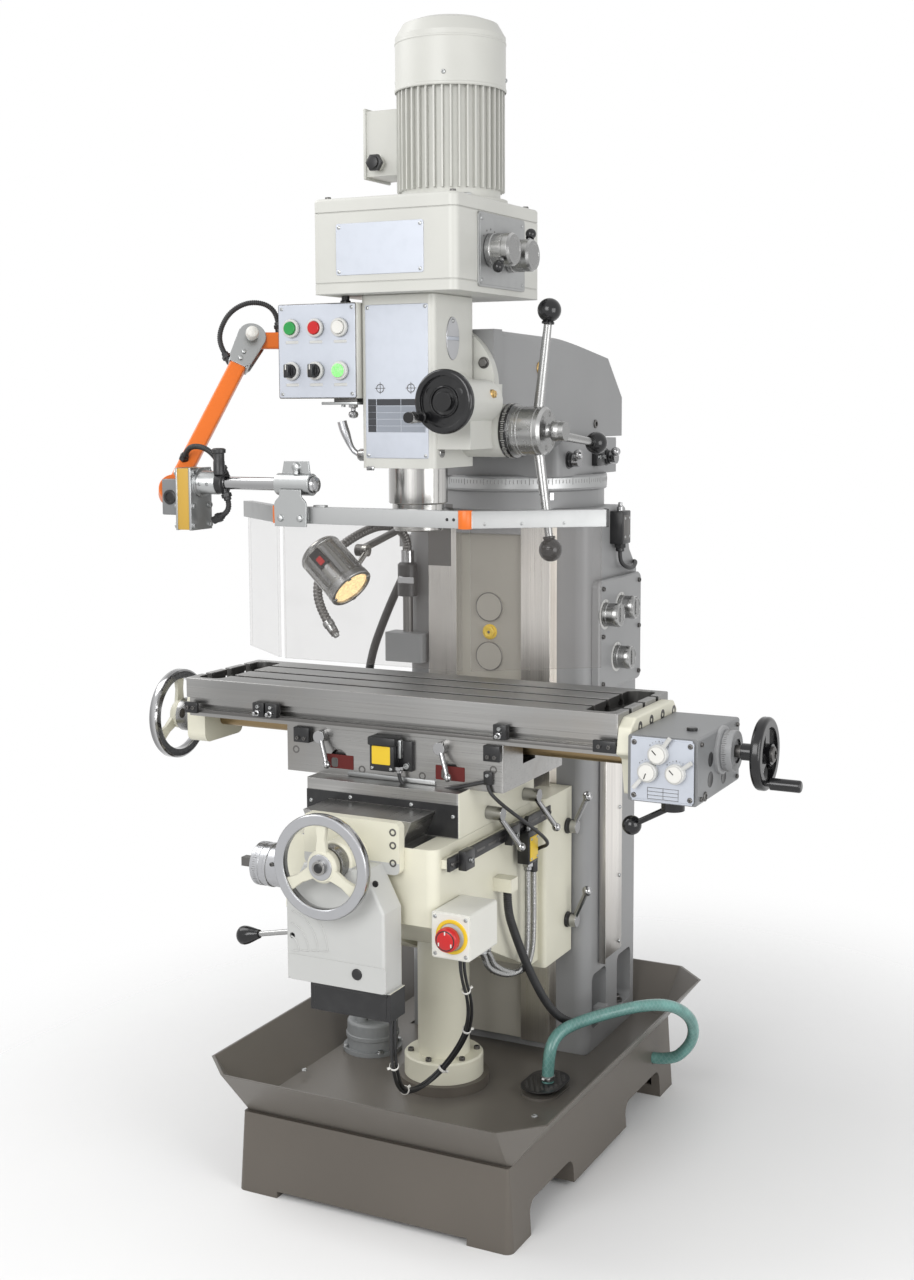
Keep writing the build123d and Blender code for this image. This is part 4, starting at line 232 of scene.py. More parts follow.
class Tree(Graph):
    """One material's nodes."""

    def __init__(self, name: str) -> None:
        """Start an empty material with the drawing's place on hand.

        Args:
            name: The material's name.
        """
        self.material = bpy.data.materials.new(name)
        super().__init__(self.material)
        self.place = self.node("ShaderNodeTexCoord", out="Object")
        parts = self.node("ShaderNodeSeparateXYZ", inputs={0: self.place}).socket.node
        self.axes = [Sock(self, socket) for socket in parts.outputs]
        self._edge: Sock | None = None
        self._soft: Sock | None = None

    def noise(self, scale: float, detail: float = 2, stretch: Triple = (1, 1, 1)) -> Sock:
        """Noise over the surface.

        Args:
            scale: Grains to the metre.
            detail: How many finer layers it has.
            stretch: How much closer the grains lie along each axis.

        Returns:
            Values round a half.
        """
        place = self.vector("MULTIPLY", self.place, stretch)
        return self.node("ShaderNodeTexNoise", None, {"Vector": place, "Scale": scale, "Detail": detail})

    def soft(self) -> Sock:
        """The surface's direction with its edges eased.

        Returns:
            The direction, made once for each material.
        """
        if self._soft is None:
            self._soft = self.node("ShaderNodeBevel", {"samples": 3}, {"Radius": EDGE_RADIUS})
        return self._soft

    def edge(self) -> Sock:
        """One on edges, nought on open faces.

        Returns:
            The share, made once for each material.
        """
        if self._edge is None:
            flat = self.node("ShaderNodeNewGeometry", out="Normal")
            turned = self.vector("DOT_PRODUCT", flat, self.soft(), out="Value")
            self._edge = (1 - turned).ease(0.01, 0.16)
        return self._edge

    def painted_reflection_bands(self, rate: float) -> Sock:
        """Painted reflection: bands from nought to one that follow how a bright surface is turned.

        Args:
            rate: How closely the bands follow each other.

        Returns:
            The bands.
        """
        facing = self.node("ShaderNodeNewGeometry", out="Normal")
        across = self.vector("DOT_PRODUCT", facing, REFLECTION_BAND_WAY, out="Value")
        return (across * rate + 0.6).wave() * 0.5 + 0.5

    def close(self, reach: float) -> Sock:
        """One deep in corners, nought in the open."""
        open_share = self.node(
            "ShaderNodeAmbientOcclusion", {"samples": 4, "only_local": False}, {"Distance": reach}, "AO",
        )
        return 1 - open_share

    def relief(self, height: Value, strength: float = 1.0, distance: float = 1.0, **more: Sock) -> Sock:
        """The surface's direction with the bumps of a height."""
        inputs = {"Strength": strength, "Distance": distance, "Height": height, **more}
        return self.node("ShaderNodeBump", None, inputs)

    def surface(self, inputs: dict[str, Value | Triple]) -> bpy.types.Material:
        """Finish the material and hand it out.

        Args:
            inputs: Values or sockets for the shader's inputs, by name.

        Returns:
            The material.
        """
        shader = self.node("ShaderNodeBsdfPrincipled", None, inputs)
        self.node("ShaderNodeOutputMaterial", None, {"Surface": shader})
        return self.material


@dataclass(frozen=True)
class Layer:
    """What a finish says at each point of a surface."""

    colour: Sock
    rough: Value
    metal: Value
    height: Value

    def under(self, tree: Tree, share: Sock, top: "Layer") -> "Layer":
        """This layer with another over it where the share is one."""
        return Layer(
            tree.mix(share, self.colour, top.colour), self.rough + (top.rough - self.rough) * share,
            self.metal + (top.metal - self.metal) * share, self.height + (top.height - self.height) * share,
        )


@dataclass(frozen=True)
class Enamel:
    """Sprayed enamel on a casting: orange peel, cloudy tone, painted shade darkening its corners, which are
    also rougher as if grimy, and paler edges.
    """

    colour: Triple
    rough: float = 0.4
    peel: float = 1.0
    shade_and_grime: float = 0.4
    wear: float = 0.35

    def layer(self, tree: Tree) -> Layer:
        """The finish at each point.

        Args:
            tree: The material's nodes.

        Returns:
            Colour, roughness, metal and height at each point.
        """
        cloud = tree.noise(5, 4)
        speck = tree.noise(230, 3)
        peel = tree.noise(520, 1)
        tone = tree.mix(cloud.ease(0.3, 0.7), shade(self.colour, 0.95), shade(self.colour, 1.03))
        tone = tree.mix(speck.ease(0.62, 0.8) * 0.25, tone, shade(self.colour, 0.88))
        # painted shade: the colour darkens deep in corners, where shade falls; the same mask makes the paint
        # rougher there
        corner_shade_and_grime = (tree.close(0.035) * (0.6 + cloud)).ease(0.2, 1.0) * self.shade_and_grime
        tone = tree.mix(corner_shade_and_grime, tone, shade(self.colour, 0.5))
        tone = tree.mix(tree.edge() * self.wear * (0.4 + speck), tone, shade(self.colour, 1.16))
        return Layer(tone, self.rough + (cloud - 0.5) * 0.16 + corner_shade_and_grime * 0.3, 0.0, peel * 0.00006 * self.peel)


@dataclass(frozen=True)
class Ground:
    """Machined steel: fine marks along one way, dull patches and bright edges."""

    colour: Triple = (0.42, 0.415, 0.405)
    along: Way = RIGHT
    rough: float = 0.3
    stain: float = 0.3
    # painted reflection: how strongly the colour darkens in bands by how the surface is turned
    painted_reflection_share: float = 0.0

    def layer(self, tree: Tree) -> Layer:
        """The finish at each point.

        Args:
            tree: The material's nodes.

        Returns:
            Colour, roughness, metal and height at each point.
        """
        fine = tuple(5.0 if abs(part) else 700.0 for part in self.along.value)
        coarse = tuple(1.2 if abs(part) else 70.0 for part in self.along.value)
        marks = tree.noise(1, 2, fine)
        bands = tree.noise(1, 2, coarse)
        patch = tree.noise(9, 4)
        slow = tree.noise(2.2, 1)
        tone = tree.mix(marks.ease(0.3, 0.7), shade(self.colour, 0.9), shade(self.colour, 1.08))
        tone = tree.mix(slow.ease(0.35, 0.65), tone, shade(self.colour, 0.62))
        tone = tree.mix(bands.ease(0.35, 0.75) * 0.6, tone, shade(self.colour, 0.72))
        # painted reflection: the colour darkens in bands by how the surface is turned
        tone = tree.mix(tree.painted_reflection_bands(7) * self.painted_reflection_share, tone, shade(self.colour, 0.4))
        old = patch.ease(0.5, 0.8) * self.stain
        tone = tree.mix(old, tone, shade((0.42, 0.37, 0.31), self.colour[0] / 0.6))
        tone = tree.mix(tree.edge() * 0.6, tone, shade(self.colour, 1.3))
        rough = self.rough + (marks - 0.5) * 0.16 + old * 0.25
        return Layer(tone, rough, 1.0, marks * 0.000008)


@dataclass(frozen=True)
class Plate:
    """Bright plated or turned metal with a little haze and smear."""

    colour: Triple = (0.50, 0.50, 0.505)
    rough: float = 0.12
    haze: float = 0.12
    # painted reflection: how strongly the colour darkens in bands by how the surface is turned
    painted_reflection_share: float = 0.75

    def layer(self, tree: Tree) -> Layer:
        """The finish at each point.

        Args:
            tree: The material's nodes.

        Returns:
            Colour, roughness, metal and height at each point.
        """
        smear = tree.noise(45, 4)
        pits = tree.noise(700, 2)
        tone = tree.mix(smear.ease(0.4, 0.75) * 0.15, shade(self.colour, 1.02), shade(self.colour, 0.8))
        # painted reflection: the colour darkens in bands by how the surface is turned
        tone = tree.mix(tree.painted_reflection_bands(8) * self.painted_reflection_share, tone, shade(self.colour, 0.3))
        # painted shade: the colour darkens deep in corners, where shade falls
        tone = tree.mix(tree.close(0.012).ease(0.35, 1.0) * 0.6, tone, shade(self.colour, 0.35))
        return Layer(tone, self.rough + smear.ease(0.3, 0.9) * self.haze * 0.5, 1.0, pits * 0.000004)


@dataclass(frozen=True)
class Moulded:
    """Moulded plastic or lacquer: a skin with faint texture and dust."""

    colour: Triple
    rough: float = 0.3
    grain: float = 1.0
    dust: float = 0.1

    def layer(self, tree: Tree) -> Layer:
        """The finish at each point.

        Args:
            tree: The material's nodes.

        Returns:
            Colour, roughness, metal and height at each point.
        """
        cloud = tree.noise(30, 4)
        grain = tree.noise(1400, 1)
        pale = tuple(part + (0.45 - part) * 0.25 for part in self.colour)
        tone = tree.mix(cloud.ease(0.45, 0.8) * self.dust, shade(self.colour, 1.0), pale)
        tone = tree.mix(tree.edge() * 0.3, tone, tuple(min(1, part * 1.25 + 0.012) for part in self.colour))
        return Layer(tone, self.rough + cloud.ease(0.4, 0.8) * 0.14, 0.0, grain * 0.00002 * self.grain)


@dataclass(frozen=True)
class Reinforced:
    """Soft clear hose with a net of pale threads in its wall."""

    colour: Triple
    rough: float = 0.16
    pitch: float = 0.0075

    def layer(self, tree: Tree) -> Layer:
        """The finish at each point.

        Args:
            tree: The material's nodes.

        Returns:
            Colour, roughness, metal and height at each point.
        """
        x, y, z = tree.axes
        rate = 2 * math.pi / self.pitch
        one = ((x * 0.7 + y * 0.5 + z * 0.6) * rate).wave().ease(0.55, 0.95)
        two = ((x * 0.7 + y * 0.5 - z * 0.6) * rate).wave().ease(0.55, 0.95)
        cloud = tree.noise(24, 3)
        tone = tree.mix(cloud.ease(0.3, 0.7), shade(self.colour, 0.8), shade(self.colour, 1.2))
        tone = tree.mix(one.most(two) * 0.14, tone, (0.46, 0.64, 0.60))
        # painted reflection: the hose's colour darkens in bands by how its surface is turned
        tone = tree.mix(tree.painted_reflection_bands(5) * 0.35, tone, shade(self.colour, 0.45))
        return Layer(tone, self.rough + cloud * 0.08, 0.0, one.most(two) * 0.00005)


Finish = Enamel | Ground | Plate | Moulded | Reinforced
Coat = Finish | bpy.types.Material


@dataclass(frozen=True)
class Box:
    """A zone of a casting between two corners of the drawing."""

    finish: Finish
    low: Triple
    high: Triple

    def mask(self, tree: Tree) -> Sock:
        """One inside the corners.

        Args:
            tree: The material's nodes.

        Returns:
            The share, from nought to one.
        """
        share: Value = 1.0
        for axis, low, high in zip(tree.axes, spot(self.low), spot(self.high)):
            share = (axis > low) * (axis < high) * share
        return share


@dataclass(frozen=True)
class Round:
    """A zone between two distances from an axis of the drawing, over a stretch of that axis."""

    finish: Finish
    centre: Triple
    along: Way
    inner: float
    outer: float
    start: float = -9999.0
    end: float = 9999.0

    def mask(self, tree: Tree) -> Sock:
        """One between the two distances.

        Args:
            tree: The material's nodes.

        Returns:
            The share, from nought to one.
        """
        here = spot(self.centre)
        which = [abs(part) for part in self.along.value].index(1)
        across = [(tree.axes[k] - here[k]) ** 2 for k in range(3) if k != which]
        gap = (across[0] + across[1]) ** 0.5
        low = [0.0, 0.0, 0.0]
        low[which] = self.start
        high = [0.0, 0.0, 0.0]
        high[which] = self.end
        share = (gap > self.inner * MM) * (gap < self.outer * MM)
        return share * (tree.axes[which] > spot(low)[which]) * (tree.axes[which] < spot(high)[which])


Zone = Box | Round


class Paints:
    """Makes each material once and hands it out again."""

    def __init__(self) -> None:
        """Start with nothing made."""
        self._made: dict[object, bpy.types.Material] = {}

    def coat(self, finish: Finish, *zones: Zone) -> bpy.types.Material:
        """A material of one finish with zones of others over it.

        Args:
            finish: The finish underneath.
            zones: Zones with their own finish, each over the last.

        Returns:
            The material.
        """
        key = (finish, zones)
        if key not in self._made:
            tree = Tree(f"{type(finish).__name__.lower()}_{len(self._made)}")
            layer = finish.layer(tree)
            for zone in zones:
                layer = layer.under(tree, zone.mask(tree), zone.finish.layer(tree))
            self._made[key] = tree.surface({
                "Base Color": layer.colour, "Roughness": layer.rough, "Metallic": layer.metal,
                "Normal": tree.relief(layer.height, Normal=tree.soft()),
            })
        return self._made[key]

    def lit(self, name: str, colour: Triple, strength: float) -> bpy.types.Material:
        """A glowing lens with a ribbed face.

        Args:
            name: The material's name.
            colour: The lens's colour.
            strength: How strongly it glows.

        Returns:
            The material.
        """
        tree = Tree(name)
        cells = tree.noise(330, 1)
        glow = tree.mix(cells.ease(0.35, 0.65), colour, shade(colour, 0.62))
        return tree.surface({
            "Base Color": glow, "Roughness": 0.25, "Emission Color": glow, "Emission Strength": strength,
            "Normal": tree.relief(cells, 0.4, MM),
        })

    def clear(self, name: str, colour: Triple, alpha: float) -> bpy.types.Material:
        """Clear sheet that is mostly seen through, with faint smears.

        Args:
            name: The material's name.
            colour: The sheet's colour.
            alpha: How much of the sheet itself is seen, up to one.

        Returns:
            The material.
        """
        tree = Tree(name)
        smear = tree.noise(14, 5)
        return tree.surface({
            "Base Color": tree.mix(smear.ease(0.4, 0.8) * 0.3, colour, shade(colour, 0.9)),
            "Roughness": 0.04 + smear.ease(0.45, 0.8) * 0.1, "Specular IOR Level": 0.15,
            "Alpha": alpha + smear.ease(0.5, 0.8) * 0.02 + tree.edge() * 0.35,
            "Normal": tree.relief(smear, 0.02, MM),
        })


PAINTS = Paints()


# Finishes of the machine
CREAM = Enamel((0.77, 0.75, 0.62))
IVORY = Enamel((0.63, 0.63, 0.59))
COLUMN_GREY = Enamel((0.30, 0.302, 0.305), rough=0.42)
TAUPE = Enamel((0.112, 0.098, 0.082), rough=0.42)
FEED_GREY = Enamel((0.22, 0.225, 0.23), rough=0.4)
DIAL_GREY = Enamel((0.36, 0.365, 0.37), rough=0.42)
PUMP_GREY = Enamel((0.26, 0.27, 0.275), rough=0.45)
BOX_WHITE = Enamel((0.76, 0.755, 0.70), rough=0.45, wear=0.15)
UNIT_WHITE = Enamel((0.58, 0.585, 0.57), rough=0.4, wear=0.15)
ORANGE = Enamel((0.80, 0.17, 0.015), rough=0.38, shade_and_grime=0.25)
OCHRE = Enamel((0.62, 0.38, 0.06), rough=0.42)
YELLOW = Enamel((0.85, 0.58, 0.03), rough=0.4, shade_and_grime=0.2)
STEEL_X = Ground(along=RIGHT)
STEEL_Y = Ground(along=BACK)
STEEL_Z = Ground(colour=(0.79, 0.76, 0.72), along=UP, rough=0.3, stain=0.1)
CHROME = Plate()
SATIN = Plate((0.45, 0.45, 0.445), rough=0.26, haze=0.1, painted_reflection_share=0.6)
ZINC = Plate((0.46, 0.47, 0.47), rough=0.34, haze=0.15, painted_reflection_share=0.35)
DARK_STEEL = Plate((0.16, 0.155, 0.15), rough=0.4, painted_reflection_share=0.2)
BRASS = Plate((0.66, 0.45, 0.19), rough=0.25, painted_reflection_share=0.3)
BRONZE = Plate((0.30, 0.22, 0.12), rough=0.34, painted_reflection_share=0.4)
ALUMINIUM = Plate((0.40, 0.405, 0.405), rough=0.4, haze=0.08, painted_reflection_share=0.15)
LABEL = Plate((0.49, 0.515, 0.565), rough=0.5, haze=0.06, painted_reflection_share=0.0)
FACED = Plate((0.46, 0.465, 0.48), rough=0.3, haze=0.1, painted_reflection_share=0.12)
BLACK = Moulded((0.012, 0.012, 0.013), rough=0.32)
GLOSS_BLACK = Moulded((0.008, 0.008, 0.009), rough=0.12, grain=0.3, dust=0.05)
RUBBER = Moulded((0.016, 0.016, 0.017), rough=0.5, dust=0.2)
WHITE = Moulded((0.78, 0.77, 0.73), rough=0.35)
PALE = Moulded((0.62, 0.62, 0.60), rough=0.4)
RED = Moulded((0.55, 0.012, 0.012), rough=0.28)
GREEN = Moulded((0.02, 0.30, 0.06), rough=0.3)
HOSE = Reinforced((0.15, 0.34, 0.31))
INK = Moulded((0.035, 0.037, 0.043), rough=0.5)
PRINT = Moulded((0.30, 0.325, 0.37), rough=0.5)
FELT = Moulded((0.13, 0.018, 0.016), rough=0.9, grain=6.0)


def ring(radius: float, count: int, first: float = 0.0, step: float = 0.0) -> Outline:
    """Places round a circle, across and up from its middle.

    Args:
        radius: The circle's radius.
        count: How many places there are.
        first: Where the first one lies, in degrees.
        step: Degrees from one to the next; nought shares out a full turn.

    Returns:
        The places.
    """
    angles = [math.radians(first + (step or 360 / count) * k) for k in range(count)]
    return [(radius * math.cos(angle), radius * math.sin(angle)) for angle in angles]


def band(inner: float, outer: float, wide: float, edge: float) -> Outline:
    """A raised band's profile, with both its edges eased."""
    return [(inner, 0), (outer, edge), (outer, wide - edge), (inner, wide)]


def rounded(wide: float, high: float, radius: float, steps: int = 5) -> Outline:
    """A rectangle's outline with round corners, about its middle.

    Args:
        wide: Its width.
        high: Its height.
        radius: The corners' radius.
        steps: Straight steps in a corner.

    Returns:
        The outline's points.
    """
    points = []
    for quarter, (sx, sy) in enumerate(((1, 1), (-1, 1), (-1, -1), (1, -1))):
        x, y = sx * (wide / 2 - radius), sy * (high / 2 - radius)
        points += [(x + dx, y + dy) for dx, dy in ring(radius, steps + 1, 90 * quarter, 90 / steps)]
    return points


def turn_to(way: Vector, up: Vector | None = None) -> Matrix:
    """The rotation that lays Z along a way, with X as level as it can be.

    Args:
        way: The way that Z is laid along.
        up: What counts as up; straight up if left out.

    Returns:
        The rotation.
    """
    along = way.normalized()
    side = (up or Vector((0, 0, 1))).cross(along)
    if side.length < 1e-4:
        side = Vector((1, 0, 0))
    side.normalize()
    return Matrix((side, along.cross(side), along)).transposed()


def skin(part: bmesh.types.BMesh, rows: list[list[bmesh.types.BMVert]]) -> None:
    """Close the walls between rows of points, of which one may be a single point.

    Args:
        part: The mesh that gets the walls.
        rows: The rows, from one end to the other.
    """
    for first, second in zip(rows, rows[1:]):
        sides = max(len(first), len(second))
        for k in range(sides):
            j = k + 1
            corners = dict.fromkeys((
                first[k % len(first)], first[j % len(first)], second[j % len(second)],
                second[k % len(second)],
            ))
            if len(corners) > 2:
                part.faces.new(list(corners))


class Piece:
    """One object of the machine, gathered from shapes given in the drawing's millimetres."""

    def __init__(self, name: str, body: str, *replaces: str, slot: str = "") -> None:
        """Start an empty piece that rides on a body and may stand for CAD nodes.

        Args:
            name: Its name.
            body: The body it rides on.
            replaces: The CAD nodes it stands for.
            slot: The slot it would fill; not used.
        """
        self.name, self.body, self.replaces, self.slot = name, body, replaces, slot
        self.mesh = bmesh.new()
        self.coats: list[bpy.types.Material] = []

    def _add(self, part: bmesh.types.BMesh, finish: Coat) -> None:
        """Take a shape into the piece with its finish.

        Args:
            part: The shape, which is used up.
            finish: Its finish.
        """
        coat = finish if isinstance(finish, bpy.types.Material) else PAINTS.coat(finish)
        if coat not in self.coats:
            self.coats.append(coat)
        bmesh.ops.recalc_face_normals(part, faces=part.faces)
        for face in part.faces:
            face.material_index = self.coats.index(coat)
            face.smooth = True
        for vert in part.verts:
            vert.co = spot(vert.co)
        store = bpy.data.meshes.new("shape")
        part.to_mesh(store)
        part.free()
        self.mesh.from_mesh(store)
        bpy.data.meshes.remove(store)

    def block(self, low: Triple, high: Triple, finish: Coat, ease: float = 1.0, steps: int = 2) -> None:
        """A block between two corners with eased edges.

        Args:
            low: Its lowest corner.
            high: Its highest corner.
            finish: Its finish.
            ease: How far its edges are eased.
            steps: Steps over an eased edge.
        """
        part = bmesh.new()
        bmesh.ops.create_cube(part, size=1)
        lows, highs = Vector(low), Vector(high)
        for vert in part.verts:
            vert.co = Vector(lows[k] + (highs[k] - lows[k]) * (vert.co[k] + 0.5) for k in range(3))
        if ease:
            bmesh.ops.bevel(
                part, geom=part.edges[:], offset=ease, segments=steps, profile=0.5, affect="EDGES",
            )
        self._add(part, finish)

    def turned(
        self, base: Sequence[float], way: Vector | Way, profile: Profile, finish: Coat, sides: int = 36,
    ) -> None:
        """A turned shape.

        Args:
            base: Where its axis starts.
            way: The way its axis runs.
            profile: Radius and height of each ring; a third entry gives the ring that many flats.
            finish: Its finish.
            sides: Faces round it.
        """
        along = way.vector if isinstance(way, Way) else way
        turn = turn_to(along)
        part = bmesh.new()
        rows = []
        for radius, height, *flats in profile:
            if radius <= 0:
                rows.append([part.verts.new(turn @ Vector((0, 0, height)) + Vector(base))])
                continue
            row = []
            for step in range(sides):
                angle = 2 * math.pi * step / sides
                reach = radius
                if flats:
                    half = math.pi / flats[0]
                    reach = radius / math.cos((angle % (2 * half)) - half)
                place = Vector((reach * math.cos(angle), reach * math.sin(angle), height))
                row.append(part.verts.new(turn @ place + Vector(base)))
            rows.append(row)
        skin(part, rows)
        self._add(part, finish)

    def slab(
        self, at: Sequence[float], way: Vector | Way, outline: Outline, thick: float, finish: Coat,
        ease: float = 0.4, up: Vector | None = None,
    ) -> None:
        """A flat outline standing off a face.

        Args:
            at: The outline's middle on the face.
            way: The way that it stands off.
            outline: Its corners, across and up.
            thick: How far it stands off.
            finish: Its finish.
            ease: How far its front edge is eased.
            up: What counts as up.
        """
        along = way.vector if isinstance(way, Way) else way.normalized()
        turn = turn_to(along, up)
        part = bmesh.new()
        middle = Vector((sum(x for x, _ in outline), sum(y for _, y in outline))) / len(outline)
        rows = []
        for height, inset in ((0, 0), (thick - ease, 0), (thick, ease)):
            row = []
            for x, y in outline:
                off = Vector((x, y)) - middle
                off *= max(0.0, 1 - inset / max(off.length, 1e-6))
                row.append(part.verts.new(turn @ Vector((*(middle + off), height)) + Vector(at)))
            rows.append(row)
        skin(part, rows)
        part.faces.new(rows[0])
        part.faces.new(rows[-1])
        self._add(part, finish)

    def pipe(
        self, points: Sequence[Sequence[float]], radius: float | Callable[[float], float], finish: Coat,
        sides: int = 14, metres: bool = False,
    ) -> None:
        """A round bar through points.

        Args:
            points: Where it runs.
            radius: Its radius, or the radius at each length run.
            finish: Its finish.
            sides: Faces round it.
            metres: Whether the points are in the frame's metres.
        """
        path = [Vector(p) / MM + DATUM if metres else Vector(p) for p in points]
        part = bmesh.new()
        side = None
        run = 0.0
        rows = []
        for k, here in enumerate(path):
            along = (path[min(k + 1, len(path) - 1)] - path[max(k - 1, 0)]).normalized()
            if side is None:
                side = along.orthogonal().normalized()
            side = (side - along * side.dot(along)).normalized()
            over = along.cross(side)
            run += (here - path[k - 1]).length if k else 0.0
            reach = radius(run) if callable(radius) else radius
            rows.append([part.verts.new(here + x * side + y * over) for x, y in ring(reach, sides)])
        skin(part, rows)
        part.faces.new(rows[0])
        part.faces.new(rows[-1])
        self._add(part, finish)

    def hoop(
        self, centre: Triple, way: Way, radius: float, tube: float, finish: Coat, sides: int = 64,
    ) -> None:
        """A closed round bar about an axis.

        Args:
            centre: Its middle.
            way: The way its axis runs.
            radius: From its middle to the bar's.
            tube: The bar's own radius.
            finish: Its finish.
            sides: Steps round the hoop.
        """
        turn = turn_to(way.vector)
        part = bmesh.new()
        rows = []
        for x, y in ring(1, sides):
            row = []
            for out, rise in ring(tube, TUBE_SIDES):
                place = Vector(((radius + out) * x, (radius + out) * y, rise))
                row.append(part.verts.new(turn @ place + Vector(centre)))
            rows.append(row)
        skin(part, rows + rows[:1])
        self._add(part, finish)

    def ball(self, centre: Sequence[float], radius: float, finish: Coat) -> None:
        """A round knob.

        Args:
            centre: Its middle.
            radius: Its radius.
            finish: Its finish.
        """
        steps = [math.pi * k / BALL_BANDS for k in range(BALL_BANDS + 1)]
        profile = [(radius * math.sin(a), -radius * math.cos(a)) for a in steps]
        profile[0], profile[-1] = (0, -radius), (0, radius)
        self.turned(centre, UP, profile, finish, 2 * BALL_BANDS)

    def cap_screw(self, at: Sequence[float], way: Way, size: float, finish: Coat = DARK_STEEL) -> None:
        """A socket cap screw's head, standing off a face."""
        self._head(CAP_HEAD, at, way, size, finish)

    def flat_screw(self, at: Sequence[float], way: Way, size: float, finish: Coat = ZINC) -> None:
        """A small round-headed screw with a cross recess."""
        self._head(CROSS_HEAD, at, way, size, finish)

    def hex_bolt(self, at: Sequence[float], way: Way, size: float, finish: Coat = ZINC) -> None:
        """A hexagon head on its washer."""
        self._head(HEX_HEAD, at, way, size, finish)

    def _head(self, shape: Profile, at: Sequence[float], way: Way, size: float, finish: Coat) -> None:
        """A screw's head, from its profile at a size of one."""
        self.turned(at, way, [(size * r, size * h, *flats) for r, h, *flats in shape], finish, HEAD_SIDES)

    def loose(self) -> bpy.types.Object:
        """Make the object without a body.

        Returns:
            The object, on no body yet.
        """
        store = bpy.data.meshes.new(self.name)
        self.mesh.to_mesh(store)
        self.mesh.free()
        for coat in self.coats:
            store.materials.append(coat)
        store.set_sharp_from_angle(angle=SHARP)
        made = bpy.data.objects.new(self.name, store)
        bpy.context.scene.collection.objects.link(made)
        LOG.info("piece %s on %s, %d faces", self.name, self.body or "two bodies", len(store.polygons))
        return made

    def done(self) -> bpy.types.Object:
        """Make the object, set it on its body and hide the CAD nodes it stands for.

        Returns:
            The object.
        """
        made = self.loose()
        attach(made, self.body)
        if self.replaces:
            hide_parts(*self.replaces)
        return made


def ticks(
    piece: Piece, centre: Triple, way: Way, radius: float, count: int, finish: Finish, depth: float,
    wide: float = 0.7, long_every: int = 5,
) -> None:
    """Graduation marks round a dial's rim.

    Args:
        piece: What they are added to.
        centre: The middle of the graduated band.
        way: The dial's axis.
        radius: The band's radius.
        count: Marks in a full turn.
        finish: Their finish.
        depth: Length of a short mark along the axis.
        wide: Width of a mark.
        long_every: Which marks are longer.
    """
    turn = turn_to(way.vector)
    for k, (x, y) in enumerate(ring(1, count)):
        out = turn @ Vector((x, y, 0))
        u, v = wide / 2, depth * (1.7 if k % long_every == 0 else 1.0) / 2
        mark = [(-u, -v), (u, -v), (u, v), (-u, v)]
        piece.slab(Vector(centre) + out * (radius - 0.3), out, mark, 0.5, finish, 0.05, up=way.vector)


def coat_node(node: str, finish: Finish, *zones: Zone) -> None:
    """Give a CAD node its finish, with zones of other finishes."""
    wear_coat(node, PAINTS.coat(finish, *zones))


def wear_coat(node: str, coat: bpy.types.Material) -> None:
    """Give a CAD node a material.

    Args:
        node: The node's name.
        coat: The material.
    """
    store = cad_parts[node].data
    store.materials.clear()
    store.materials.append(coat)
    LOG.info("node %s wears %s", node, coat.name)


def thread_curve(name: str, points: Sequence[Triple]) -> bpy.types.Object:
    """An open curve through a route's points, without thickness.

    Args:
        name: The curve's name.
        points: The route's points in the drawing.

    Returns:
        The curve's object.
    """
    store = bpy.data.curves.new(name, "CURVE")
    store.dimensions = "3D"
    store.resolution_u = 16
    line = store.splines.new("NURBS")
    line.points.add(len(points) - 1)
    for knot, point in zip(line.points, points):
        knot.co = (*spot(point), 1)
    line.order_u = 3
    line.use_endpoint_u = True
    made = bpy.data.objects.new(name, store)
    bpy.context.scene.collection.objects.link(made)
    return made


def read_route(points: Sequence[Triple]) -> list[Vector]:
    """The points of a route's curve, in metres.

    Args:
        points: The route's points in the drawing.

    Returns:
        Points close together along the curve.
    """
    guide = thread_curve("guide", points)
    store = bpy.data.meshes.new_from_object(guide)
    path = [vert.co.copy() for vert in store.vertices]
    bpy.data.meshes.remove(store)
    bpy.data.objects.remove(guide)
    return path


def even(path: Sequence[Vector], step: float) -> list[Vector]:
    """Points at even steps along a read route.

    Args:
        path: The read route.
        step: From one point to the next.

    Returns:
        The points, up to the route's end.
    """
    out = [path[0].copy()]
    left = step
    for first, second in zip(path, path[1:]):
        span = (second - first).length
        done = 0.0
        while span - done >= left:
            done += left
            out.append(first.lerp(second, done / span))
            left = step
        left -= span - done
    if (out[-1] - path[-1]).length > step * 0.3:
        out.append(path[-1].copy())
    return out


def length_of(path: Sequence[Vector]) -> float:
    """How long a route is."""
    return sum((b - a).length for a, b in zip(path, path[1:]))


